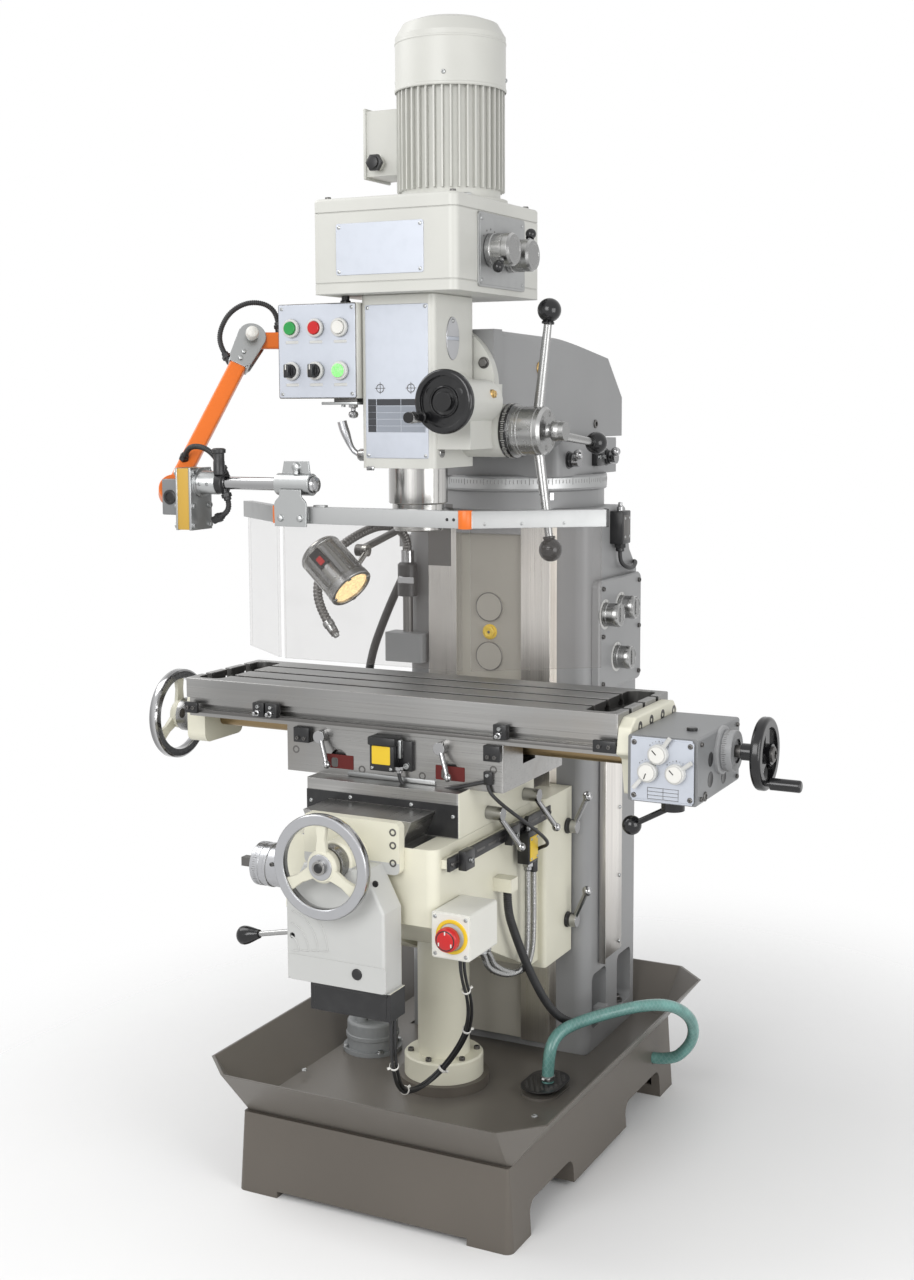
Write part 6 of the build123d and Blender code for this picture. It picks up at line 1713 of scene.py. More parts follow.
@dataclass
class Table:
    """Table with its stops, end brackets, screw and left handwheel."""

    wheel: Triple = (-530, 120, 821)

    def build(self) -> None:
        """Add the stops and the brackets' bolts."""
        stops = Piece("table_stops", "table")
        for x in (-258, -231, 220):
            stops.block((x - 12, -14, 858), (x + 12, 0.5, 884), BLACK, 1.5)
            stops.turned((x, -14, 866), FRONT, (
                (5.5, 0), (5.5, 5), (3.5, 6), (3.5, 14), (2.4, 15), (0, 15),
            ), CHROME, 24)
            stops.cap_screw((x, -14, 877), FRONT, 4.2, ZINC)
        for x0, x1 in ((-424, -396), (384, 424)):
            stops.block((x0, -7, 852), (x1, 0.5, 872), BLACK, 1.2)
            for share in (0.28, 0.72):
                stops.cap_screw((x0 + (x1 - x0) * share, -7, 862), FRONT, 4.6)
        stops.block((-424.6, -0.5, 853), (424.6, 0.6, 859), DARK_STEEL, 0.1)
        stops.done()
        ends = Piece("bracket_bolts", "table")
        for way, x, z0 in ((RIGHT, 447, 890), (LEFT, -443, 880)):
            for y, z in ((12, z0 - 34), (44, z0), (96, z0 + 2), (150, z0 + 2), (206, z0)):
                ends.turned((x, y, z), way, (
                    (9, -0.6), (9, 0.3), (8.4, 0.4), (8, 0.1), (5.6, 0.15), (5.6, 0.3), (3.2, 0.3, 6),
                    (3.2, -0.3, 6), (0, -0.3),
                ), DARK_STEEL, 30)
        ends.done()

    def dress(self) -> None:
        """Ground steel table with painted shade darkening its T-slot grooves, cream brackets, bronze screw
        with a bright collar.
        """
        top = Box(Ground((0.39, 0.387, 0.38), rough=0.46), (-430, -5, 900), (430, 245, 920))
        # painted shade: the steel inside the T-slot grooves is darkened to stand in for the shade there
        painted_slot_shade = Box(Ground((0.13, 0.128, 0.124), rough=0.5), (-424.4, 6, 880), (424.4, 234, 914.6))
        coat_node("table", STEEL_X, top, painted_slot_shade)
        coat_node("table_end_brackets", CREAM)
        coat_node("table_screw", BRONZE, Round(SATIN, self.wheel, RIGHT, 20, 60, -520, -440))


@dataclass
class FeedBox:
    """Table feed gearbox with its plate, knobs, lever and crank wheel."""

    knobs: tuple[tuple[str, float, float, float], ...] = (
        ("upper", 501, 861, 135), ("left", 484, 831, -110), ("right", 530, 832, 135),
    )
    wheel: Triple = (636, 110, 850)
    plate_y: float = -14
    side_x: float = 563.8

    def build(self) -> None:
        """Add the plate, its marks, plugs and trims."""
        self._box()
        self._dial()
        for name, x, z, points_at in self.knobs:
            knob = Piece(f"feed_knob_{name}_trim", f"feed_knob_{name}")
            knob.turned((x, -27.2, z), FRONT, ((13, 0), (13, 0.8), (12.4, 1.3), (0, 1.5)), WHITE, 36)
            lean = Vector((math.cos(math.radians(points_at)), 0, math.sin(math.radians(points_at))))
            knob.slab(
                Vector((x, -28.5, z)) + lean * 5.5, FRONT, rounded(1.6, 10, 0.5), 0.5, BLACK, 0.1, up=lean,
            )
            knob.done()

    def _box(self) -> None:
        """The front plate with its marks and empty table, and the plugs and screws of the right side."""
        front, side = self.plate_y, self.side_x
        box = Piece("feed_box_fittings", "table")
        box.slab((506, front, 834), FRONT, rounded(106, 98, 3), 0.8, LABEL, 0.2)
        for x, z in product((459, 553), (791, 877)):
            box.flat_screw((x, front - 0.7, z), FRONT, 4.4, DARK_STEEL)
        for _, x, z, _ in self.knobs:
            for k, (dx, dz) in enumerate(ring(20, 7, 40, 100 / 6)):
                mark = rounded(1.2, 1.2 + 1.4 * (k % 3 == 0), 0.4)
                box.slab((x + dx, front - 0.8, z + dz), FRONT, mark, 0.25, DARK_STEEL, 0.05)
        for k in range(4):
            box.block((482, front - 1.1, 787 + 6 * k), (534, front - 0.7, 787.7 + 6 * k), DARK_STEEL, 0, 1)
        for x in (482, 508, 533.3):
            box.block((x, front - 1.1, 787), (x + 0.7, front - 0.7, 805.7), DARK_STEEL, 0, 1)
        box.turned((530, 60, 887.6), UP, ((9, 0), (9, 4), (7.6, 5.4), (0, 5.6)), BLACK, 32)
        for y, z, r in ((53, 845, 11), (53, 812, 12), (122, 803, 11)):
            box.turned((side + 0.1, y, z), RIGHT, (
                (r + 1, 0), (r + 1, 0.4), (r, 0.5), (r - 0.6, 0.2), (0, 0.1),
            ), BLACK, 32)
        box.turned((side, 26, 790), RIGHT, (
            (8, 0), (8, 1.6), (7, 2.4), (4, 2.4, 6), (4, 0, 6), (0, 0),
        ), DARK_STEEL, 32)
        for y, z in product((4, 190), (790, 878)):
            box.cap_screw((side, y, z), RIGHT, 5)
        _, y, z = self.wheel
        box.turned((side + 0.2, y, z), RIGHT, ((40, -1), (40, 4), (36, 6), (31, 6)), DIAL_GREY, 48)
        box.done()

    def _dial(self) -> None:
        """The crank wheel's graduated dial and its nut."""
        x, y, z = self.wheel
        dial = Piece("feed_wheel_trim", "feed_handwheel")
        dial.turned((571.5, y, z), RIGHT, (
            (20, 0), (33, 0.4), (34, 1.4), (34, 17), (33, 18.4), (20, 19),
        ), DIAL_GREY, 60)
        ticks(dial, (577, y, z), RIGHT, 34, 60, DARK_STEEL, 5)
        dial.turned((x + 14, y, z), RIGHT, (
            (13, -6), (13, 2), (9, 4), (6.5, 4, 6), (6.5, 0, 6), (0, 0),
        ), DARK_STEEL, 32)
        dial.done()

    def dress(self) -> None:
        """Grey box, pale knobs, black crank wheel and lever."""
        coat_node("feed_gearbox", FEED_GREY, Box(LABEL, (450, -20, 782), (562, -12.4, 888)))
        for name, *_ in self.knobs:
            coat_node(f"feed_knob_{name}", PALE)
        coat_node("feed_handwheel", GLOSS_BLACK, Round(DARK_STEEL, self.wheel, RIGHT, 0, 12, 560, 600))
        coat_node("feed_lever", GLOSS_BLACK)


@dataclass
class SpokedWheel:
    """A handwheel with a flat bright rim, painted spokes and a dark boss with its nut."""

    name: str
    body: str
    node: str
    centre: Triple
    way: Way
    rim: float
    spokes: int = 3

    def build(self) -> None:
        """Make the wheel in place of the plain one."""
        piece = Piece(self.name, self.body, self.node, slot="chrome")
        out = self.way.vector
        rim = self.rim
        section = (
            (-10, 6.6), (-10.6, 5), (-10.6, -5), (-9, -8.4), (-4, -9), (4, -9), (7.4, -6.6), (8, -4), (8, 5),
            (7, 6.8),
        )
        piece.turned(self.centre, self.way, [(rim + past, rise) for past, rise in section], CHROME, 96)
        piece.turned(self.centre, self.way, (
            (rim + 7.1, 6.6), (rim + 5.6, 8), (rim - 8.4, 8), (rim - 10.2, 6.4),
        ), FACED, 96)
        centre = Vector(self.centre)
        turn = turn_to(out)
        spoke = [(-11, 18), (11, 18), (8, rim * 0.6), (11.5, rim - 5), (-11.5, rim - 5), (-8, rim * 0.6)]
        for x, y in ring(1, self.spokes, 90):
            piece.slab(centre - out * 5, out, spoke, 8, CREAM, 1.4, up=turn @ Vector((x, y, 0)))
        piece.turned(centre - out * 14, self.way, (
            (12.2, 0), (27, 0.5), (28, 2), (28, 13), (24, 18), (12, 18.5),
        ), CREAM, 48)
        piece.turned(centre + out * 3.5, self.way, ((21.6, 0), (21.6, 1.8), (20.8, 2.6), (9, 2.8)), FACED, 48)
        piece.turned(centre + out * 6, self.way, (
            (10.4, 0, 6), (10.4, 3.6, 6), (8.6, 4.4), (8, 6.4), (5, 7.8), (0, 8),
        ), BLACK, 36)
        piece.done()

    def dress(self) -> None:
        """The wheel brings its own finishes."""
        LOG.info("wheel %s has rim, spokes and boss", self.name)


@dataclass
class Column:
    """Column with ways, sight plug, gear cover, knobs, strip plate and travel switch."""

    half: float = 195
    rear: float = 684
    cover: tuple[float, float, float, float] = (450, 672, 862, 1078)
    cover_x: float = 210.6
    cable: Route = (
        (208, 561, 1126.5), (208, 561, 1112), (212, 566, 1100), (216, 586, 1092), (213, 622, 1090),
        (206, 652, 1096), (199, 668, 1098), (195.6, 668, 1098),
    )
    knobs: tuple[tuple[str, float, float], ...] = (
        ("front", 478, 1012), ("rear", 560, 1018), ("lower", 540, 922),
    )

    def build(self) -> None:
        """Add plug, screws, labels, switch, bolts and the rear cover."""
        self._rear_cover()
        self._sight_plug()
        self._gear_cover()
        self._side()

    def _sight_plug(self) -> None:
        """The yellow plug between the ways and two round marks."""
        front = Piece("column_sight_plug", "frame")
        front.turned((0, 408, 975), FRONT, (
            (15, -1), (15, 2), (13.6, 3), (11, 3, 6), (11, 7, 6), (8, 8), (6, 7), (0, 6.6),
        ), YELLOW, 36)
        front.turned((0, 402, 975), FRONT, ((6.2, -2), (6.2, 0), (5, 0.8), (0, 0.8)), DARK_STEEL, 24)
        for z in (1024, 928):
            front.hoop((0, 403.2, z), FRONT, 27.4, 0.9, DARK_STEEL)
        front.done()

    def _gear_cover(self) -> None:
        """The gear cover's screws and marks, and its three knobs."""
        face = self.cover_x
        cover = Piece("gear_cover_fittings", "frame")
        y0, y1, z0, z1 = self.cover
        for y, z in product((y0 + 16, y1 - 16), (z0 + 16, (z0 + z1) / 2, z1 - 16)):
            cover.cap_screw((face, y, z), RIGHT, 6)
        for _, y, z in self.knobs:
            cover.turned((face + 0.2, y, z), RIGHT, (
                (29, 0), (29, 0.7), (28, 1.1), (23.5, 1.1), (23.5, 0),
            ), PALE, 48)
            for dy, dz in ring(26.3, 5, 30, 30):
                cover.slab((face + 1.2, y + dy, z + dz), RIGHT, rounded(1.4, 3, 0.5), 0.3, DARK_STEEL, 0.05)
        cover.done()
        for name, y, z in self.knobs:
            knob = Piece(f"column_knob_{name}_trim", f"column_knob_{name}")
            knob.turned((face + 1.4, y, z), RIGHT, (
                (22.2, 0), (22.8, 0.6), (22.8, 7.4), (22.2, 8), (22.2, 20), (22.8, 20.6), (22.8, 28),
                (21, 31.4), (19, 32.4), (17, 32.4), (16.4, 31.6), (0, 31.4),
            ), SATIN, 56)
            knob.slab((face + 33.4, y, z + 11), RIGHT, rounded(2, 12, 0.8), 0.7, DARK_STEEL, 0.1)
            knob.done()

    def _side(self) -> None:
        """The strip plate, the foot bolts and the travel switch with its cable."""
        side = Piece("column_side_fittings", "frame")
        side.block((198.6, 488, 318), (200.4, 602, 762), STEEL_Z, 0.4)
        side.block((198.6, 486.4, 318), (212, 488.4, 762), STEEL_Z, 0.6)
        for y, z in product((500, 590), (334, 470, 610, 746)):
            side.flat_screw((200.3, y, z), RIGHT, 4)
        for y, sign in product((496.5, 629.5), (-1, 1)):
            side.hex_bolt((sign * (self.half - 21), y, 192.4), UP, 15, DARK_STEEL)
        side.block((194, 540, 1142), (222, 582, 1206), BLACK, 2)
        side.block((221.5, 545, 1150), (223, 577, 1198), DARK_STEEL, 0.5)
        for y, z in product((550, 572), (1156, 1192)):
            side.flat_screw((222.8, y, z), RIGHT, 2.6)
        side.turned((208, 561, 1142), DOWN, ((10, 0, 6), (10, 8, 6), (8.4, 9), (8.4, 15), (6, 16)), BLACK, 36)
        side.turned((208, 561, 1206), UP, ((7, 0), (7, 8), (4, 9), (4, 16), (0, 17)), CHROME, 24)
        side.done()
        Cord("column_switch_cable", self.cable, 4, RUBBER, "frame").build()

    def _rear_cover(self) -> None:
        """The screwed cover on the column's back, with louvres and a plugged cable entry."""
        back = Piece("column_rear_cover", "frame")
        face = self.rear + 4
        back.slab((0, self.rear - 0.2, 620), BACK, rounded(286, 660, 14), 4.2, COLUMN_GREY, 1.2)
        for z in (312, 466, 620, 774, 928):
            for x in (-130, 130) if 312 < z < 928 else (-130, 0, 130):
                back.cap_screw((x, face, z), BACK, 5, ZINC)
        for k in range(7):
            z = 772 + 18 * k
            # painted shade: a black strip under each louvre bar stands in for the shade of its slot
            back.block((-78, face - 0.4, z - 6.6), (78, face + 0.3, z - 2.6), BLACK, 0.1)
            back.pipe([(-80, face, z), (80, face, z)], 4.4, COLUMN_GREY, 14)
        back.turned((0, face - 0.2, 396), BACK, (
            (19, 0, 6), (19, 7, 6), (15, 8), (15, 13), (13, 15), (5, 15, 6), (5, 11, 6), (0, 11),
        ), BLACK, 48)
        back.done()

    def dress(self) -> None:
        """Paint the column and leave its ways bare."""
        left = Box(STEEL_Z, (-131, 380, 171), (-69.2, 431, 1191))
        right = Box(STEEL_Z, (69.2, 380, 171), (131, 431, 1191))
        panel = Box(Enamel((0.42, 0.40, 0.35), rough=0.45), (-69.2, 396, 171), (69.2, 420, 1166))
        arm = Box(DARK_STEEL, (-185, 90, 1100), (-80, 424.5, 1220))
        coat_node("column", COLUMN_GREY, left, right, panel, arm)
        for name, _, _ in self.knobs:
            coat_node(f"column_knob_{name}", SATIN)


@dataclass
class Turret:
    """Turret with its graduated ring and clamps, and the ram on top."""

    centre: tuple[float, float] = (0, 552)
    clamps: tuple[tuple[str, float], ...] = (("front", 446), ("rear", 636))
    clamp_z: float = 1307.3

    def build(self) -> None:
        """Add graduations, spacers, the rear bracket and the ram's caps."""
        piece = Piece("turret_fittings", "turret")
        x, y = self.centre
        piece.turned((x, y, 1252), UP, band(169.8, 170.5, 21.4, 0.4), ALUMINIUM, 160)
        ticks(piece, (x, y, 1266), UP, 170.5, 144, DARK_STEEL, 7, wide=0.9, long_every=6)
        for _, cy in self.clamps:
            piece.turned((147.8, cy, self.clamp_z), RIGHT, ((17, 0), (17, 0.6), (16, 1)), BLACK, 36)
        piece.block((147.6, 560, 1292), (160, 600, 1326), BLACK, 2)
        for cy in (568, 592):
            piece.cap_screw((160, cy, 1309), RIGHT, 5, ZINC)
        piece.done()
        index = Piece("turret_index", "frame")
        index.slab((x + 118, y - 119, 1238), Vector((0.7, -0.7, 0)), rounded(9, 15, 1), 2.6, CHROME)
        index.done()
        ram = Piece("ram_fittings", "ram")
        for side, z in product((-1, 1), (1367.6, 1523.6)):
            ram.cap_screw((side * 82, 260, z), BACK, 11)
        plug = ((9, -1), (9, 2), (7.6, 3), (4.6, 3, 6), (4.6, 0, 6), (0, 0))
        for cy, (side, way) in product((330, 520, 700), ((98, RIGHT), (-98, LEFT))):
            ram.turned((side, cy, 1372), way, plug, DARK_STEEL, 32)
        ram.turned((98, 420, 1480), RIGHT, ((12, -1), (12, 1.6), (10.8, 2.4), (0, 2.6)), BRASS, 36)
        ram.done()
        for name, cy in self.clamps:
            trim = Piece(f"turret_clamp_{name}_trim", f"turret_clamp_{name}")
            trim.turned((149.2, cy, self.clamp_z), RIGHT, (
                (14.5, 0), (14.5, 4), (13.4, 5), (13.4, 9), (13.1, 9.4),
            ), BLACK, 32)
            trim.ball((186.3, cy - 46, self.clamp_z + 12), 9.4, CHROME)
            trim.done()

    def dress(self) -> None:
        """Grey paint with chrome clamps."""
        coat_node("turret", COLUMN_GREY)
        coat_node("ram", COLUMN_GREY)
        for name, _ in self.clamps:
            coat_node(f"turret_clamp_{name}", CHROME)


@dataclass
class Head:
    """Quill head with its plates, plugs, fine-feed wheel and lever hub."""

    half: float = 72
    front: float = 43
    low: float = 1303.6
    pinion: tuple[float, float] = (179.5, 1366.6)
    fine: Triple = (115, -2, 1417.6)
    spokes: tuple[float, ...] = (93, -7, -91)
    spoke_lean: float = 8

    def build(self) -> None:
        """Add the plates, plugs, dial marks, knobs and the quill lock."""
        self._casting()
        self._hub()
        self._fine_wheel()
        self._lock()

    def _lock(self) -> None:
        """The quill lock's boss and its lever, which swells towards its end."""
        lock = Piece("quill_lock_lever", "quill_lock", "quill_lock", slot="chrome")
        lock.turned((-72.4, 65, 1325.6), LEFT, ((6, 0), (11, 0.4), (11, 13), (9, 16), (0, 17)), SATIN, 40)

        def swell(run: float) -> float:
            """The lever's radius after a length run."""
            return 5.0 + 3.4 * min(1.0, max(0.0, (run - 30) / 26))

        lock.pipe([
            (-80, 65, 1325.6), (-90, 64.4, 1327), (-98, 63.6, 1332), (-103, 62.6, 1339), (-107, 61.6, 1347),
            (-110, 60.8, 1355), (-113, 60.2, 1363), (-116, 59.6, 1371), (-118, 59, 1378),
            (-119.4, 58.6, 1384),
        ], swell, FACED, 24)
        lock.done()

    def _casting(self) -> None:
        """Front plate with an empty grid, oval side plate, plugs, flange bolts and depth scale."""
        piece = Piece("head_fittings", "head")
        piece.slab((0, self.front + 0.3, 1452), FRONT, rounded(122, 262, 3), 1.5, LABEL, 0.4)
        y = self.front - 1.2
        for x, z in product((-56, 56), (1326, 1578)):
            piece.turned((x, y, z), FRONT, ((3, 0), (3, 0.6), (2, 1.3), (0, 1.6)), ZINC, 20)
        for k in range(5):
            z = 1366 + 11.4 * k
            tone = PRINT if k < 4 else INK
            piece.block((-56, y - 0.3, z), (56, y + 0.1, z + 10.8), tone, 0, 1)
            piece.block((-56, y - 0.45, z), (-40, y + 0.1, z + 10.8), INK, 0, 1)
            if k < 4:
                piece.block((-40, y - 0.4, z + 9.9), (56, y + 0.1, z + 10.8), LABEL, 0, 1)
        for x in (-40, 8, 55):
            piece.block((x, y - 0.5, 1366), (x + 0.9, y + 0.1, 1422.4), LABEL, 0, 1)
        for x in (-32, 28):
            piece.hoop((x, y - 0.1, 1441), FRONT, 7, 0.6, DARK_STEEL, 40)
            piece.block((x - 10, y - 0.35, 1440.6), (x + 10, y + 0.1, 1441.4), DARK_STEEL, 0, 1)
            piece.block((x - 0.4, y - 0.35, 1431), (x + 0.4, y + 0.1, 1451), DARK_STEEL, 0, 1)
        oval = [(24 * x, 37 * z) for x, z in ring(1, 48)]
        piece.slab((self.half - 0.2, 112, 1526), RIGHT, oval, 1.6, FACED, 0.5)
        piece.block((self.half + 1.2, 90, 1523), (self.half + 2.0, 134, 1529), LABEL, 0.3)
        piece.flat_screw((self.half + 1.4, 112, 1556), RIGHT, 3.6)
        piece.turned((self.half - 0.4, 70, 1331), RIGHT, ((9, 0), (9, 1.6), (8, 2.4), (0, 2.4)), SATIN, 36)
        piece.block((self.half + 1.9, 63, 1330), (self.half + 2.3, 77, 1332), DARK_STEEL, 0, 1)
        piece.turned((150, 108, 1430), RIGHT, (
            (8, -3), (8, 2), (6, 3, 6), (6, 6, 6), (4, 7), (0, 7),
        ), BRASS, 36)
        for x, z in ring(99, 2, -24, 48) + ring(99, 2, 156, 48):
            piece.hex_bolt((x, 198, 1445.6 + z), FRONT, 9, DARK_STEEL)
        piece.turned(
            (self.fine[0], 24.4, self.fine[2]), FRONT, ((38, -1), (36, 3), (24, 5), (16, 5.4)), IVORY, 56,
        )
        piece.done()
        scale = Piece("depth_scale", "head")
        scale.block((-60, 40, self.low - 4), (-46, 43.6, self.low + 3), CHROME, 0.8)
        scale.done()

    def _hub(self) -> None:
        """The lever hub's grooves, dial, holes, ball knobs and centre knob."""
        y, z = self.pinion
        hub = Piece("quill_hub_trim", "quill_hub")
        hub.turned((148, y, z), RIGHT, (
            (40, 0.4), (47.2, 0.6), (47.6, 1.2), (47.6, 15), (47.2, 15.6), (43, 16),
        ), GLOSS_BLACK, 96)
        ticks(hub, (156, y, z), RIGHT, 47.6, 90, WHITE, 5)
        for x in (170, 176, 206):
            hub.turned((x, y, z), RIGHT, band(42, 43, 3.6, 0.6), SATIN, 72)
        for dy, dz in ring(30, 6, 15):
            hub.turned((222, y + dy, z + dz), RIGHT, (
                (4.6, -0.4), (4.6, 0.3), (3.8, 0.4), (2.6, 0.3, 6), (2.6, -0.2, 6), (0, -0.2),
            ), DARK_STEEL, 24)
        hub.turned((221.6, y, z), RIGHT, (
            (14, 0), (12, 3), (12, 8), (17.6, 12), (18.4, 15), (17.4, 24), (14, 33), (12, 34.4), (0, 34.6),
        ), SATIN, 48)
        hub.turned((255.4, y, z), RIGHT, ((11.4, 0), (11.4, 0.4), (0, 0.8)), BLACK, 36)

        def taper(run: float) -> float:
            """The spoke's radius after a length run."""
            return 9.4 - 2.4 * min(1.0, run / 150)

        lean = math.radians(self.spoke_lean)
        root = Vector((200.3, y, z))
        for angle in self.spokes:
            spin = math.radians(angle - 90)
            along = Vector((
                math.sin(lean), -math.cos(lean) * math.sin(spin), math.cos(lean) * math.cos(spin),
            ))
            hub.pipe([root + along * (36 + 15.4 * k) for k in range(11)], taper, SATIN, 24)
            hub.ball(root + along * 208, 20.6, GLOSS_BLACK)
            hub.turned(root + along * 184, along, ((7.4, 0), (11, 0.6), (11, 4), (9, 6)), GLOSS_BLACK, 32)
        hub.done()

    def _fine_wheel(self) -> None:
        """The fine-feed wheel's cup, chrome centre and crank."""
        x, y, z = self.fine
        wheel = Piece("fine_wheel_trim", "fine_feed_wheel")
        wheel.turned((x, y + 1, z), FRONT, (
            (42, -2), (42, 0), (34, 1.4), (27, 1.4), (26, 5), (24.5, 6), (23, 5), (22, 0), (12, -0.6),
        ), GLOSS_BLACK, 64)
        wheel.turned((x, y + 1, z), FRONT, (
            (11, -2), (11, 4), (9, 5.6), (5.6, 5.6, 6), (5.6, 2, 6), (0, 2),
        ), CHROME, 36)
        wheel.turned((x - 38, y - 8, z - 26), FRONT, (
            (8.4, 0), (8.4, 3), (6.4, 4), (6.4, 9), (9.4, 10), (10, 14), (8.6, 24), (8.6, 30),
        ), GLOSS_BLACK, 36)
        wheel.turned((x - 38, y - 8, z - 26), FRONT, (
            (9, 29.6), (10.2, 30.4), (10.4, 40), (9.4, 46), (6, 49.4), (0, 50),
        ), SATIN, 36)
        wheel.done()

    def dress(self) -> None:
        """Cream casting, bright quill, satin hub and black wheel."""
        coat_node("head_casting", IVORY)
        coat_node("quill", Ground(colour=(0.66, 0.65, 0.63), along=UP, rough=0.16, stain=0.1, painted_reflection_share=0.8))
        coat_node(
            "spindle", Ground(colour=(0.58, 0.57, 0.55), along=RIGHT, rough=0.22, stain=0.2, painted_reflection_share=0.7),
        )
        coat_node("quill_hub", SATIN)
        coat_node("quill_lock", CHROME)
        coat_node("fine_feed_wheel", GLOSS_BLACK, Round(CHROME, self.fine, FRONT, 0, 9.5, 8, 80))


@dataclass
class Gearbox:
    """Gearbox case with its plates, speed knobs and the motor on top."""

    front: float = -3
    side: float = 142
    knobs: tuple[tuple[str, float, float], ...] = (("front", 118, 1672.6), ("rear", 196, 1668.6))
    motor_y: float = 250

    def build(self) -> None:
        """Add plates, rivets, knobs and the motor's fittings."""
        piece = Piece("gearbox_fittings", "head")
        piece.slab((-6, self.front, 1674), FRONT, rounded(168, 86, 4), 1.2, LABEL, 0.4)
        for x, z in product((-84, 72), (1637, 1711)):
            piece.turned((x, self.front - 1.1, z), FRONT, (
                (3.2, 0), (3.2, 0.6), (2, 1.4), (0, 1.7),
            ), ZINC, 20)
        piece.slab((self.side, 166, 1672.6), RIGHT, rounded(176, 116, 5), 0.8, ALUMINIUM, 0.3)
        for y, z in product((84, 248), (1621, 1724)):
            piece.flat_screw((self.side + 0.7, y, z), RIGHT, 3.4)
        dot = rounded(3.2, 3.2, 1.5)
        for _, y, z in self.knobs:
            for dy, dz in ring(35, 5, 40, 25):
                piece.slab((self.side + 0.8, y + dy, z + dz), RIGHT, dot, 0.35, DARK_STEEL, 0.05)
        for x, y in product((-120, 120), (22, 310)):
            piece.cap_screw((x, y, 1760.4), UP, 7)
        piece.done()
        self._speed_knobs()
        self._motor()

    def _speed_knobs(self) -> None:
        """Fluted sleeves with a ball-ended arm on the two speed knobs."""
        for name, y, z in self.knobs:
            knob = Piece(f"speed_knob_{name}_trim", f"speed_knob_{name}")
            knob.turned((143, y, z), RIGHT, (
                (27.2, 0), (28.4, 0.8), (28.4, 9), (27.4, 10), (27.2, 30), (27.9, 30.8), (27.9, 41), (25, 45),
                (22, 45.7), (19, 45.7), (18, 44.8), (0, 44.6),
            ), SATIN, 64)
            for dy, dz in ring(27, 24):
                knob.slab(
                    (164, y + dy, z + dz), Vector((0, dy, dz)), rounded(2.2, 14, 0.8), 0.7, SATIN, 0.2,
                    up=RIGHT.vector,
                )
            arm = Vector((0, -0.72, -0.69)) if name == "front" else Vector((0, 0.5, 0.86))
            middle = Vector((172, y, z))
            knob.pipe([middle + arm * 24, middle + arm * 40], 4.2, CHROME, 18)
            knob.ball(middle + arm * 45, 9.5, GLOSS_BLACK)
            knob.turned(middle + arm * 35, arm, ((5, 0), (7.4, 0.6), (7.4, 3), (6, 5)), GLOSS_BLACK, 28)
            knob.done()

    def _motor(self) -> None:
        """The motor's flange bolts, bands, cowl screws and terminal box."""
        motor = Piece("motor_fittings", "head")
        for x, y in ring(92, 4, 45):
            motor.hex_bolt((x, self.motor_y + y, 1774.2), UP, 8)
        motor.turned((0, self.motor_y, 1964), UP, (
            (98.8, 0), (100.4, 1.6), (100.4, 5), (99.1, 6.4),
        ), IVORY, 96)
        motor.turned((0, self.motor_y, 2046), UP, band(99.05, 99.9, 4.4, 1), IVORY, 96)
        for (x, y), way in zip(ring(99, 4, 20), (RIGHT, RIGHT, RIGHT, FRONT)):
            motor.flat_screw((x, self.motor_y + y, 1985), way, 4)
        motor.block((-153, 200, 1818), (-147, 294, 1944), IVORY, 2.4)
        for y, z in product((209, 285), (1828, 1934)):
            motor.flat_screw((-153, y, z), LEFT, 4)
        motor.turned((-121, 188, 1844.6), FRONT, (
            (14, -1, 6), (14, 6, 6), (11, 7), (11, 12), (8, 13), (0, 13),
        ), BLACK, 36)
        motor.done()

    def dress(self) -> None:
        """Cream paint and satin knobs."""
        coat_node("gearbox_case", IVORY, Box(ALUMINIUM, (138.6, 70, 1606), (150, 262, 1740)))
        coat_node("motor", IVORY)
        for name, _, _ in self.knobs:
            coat_node(f"speed_knob_{name}", SATIN)


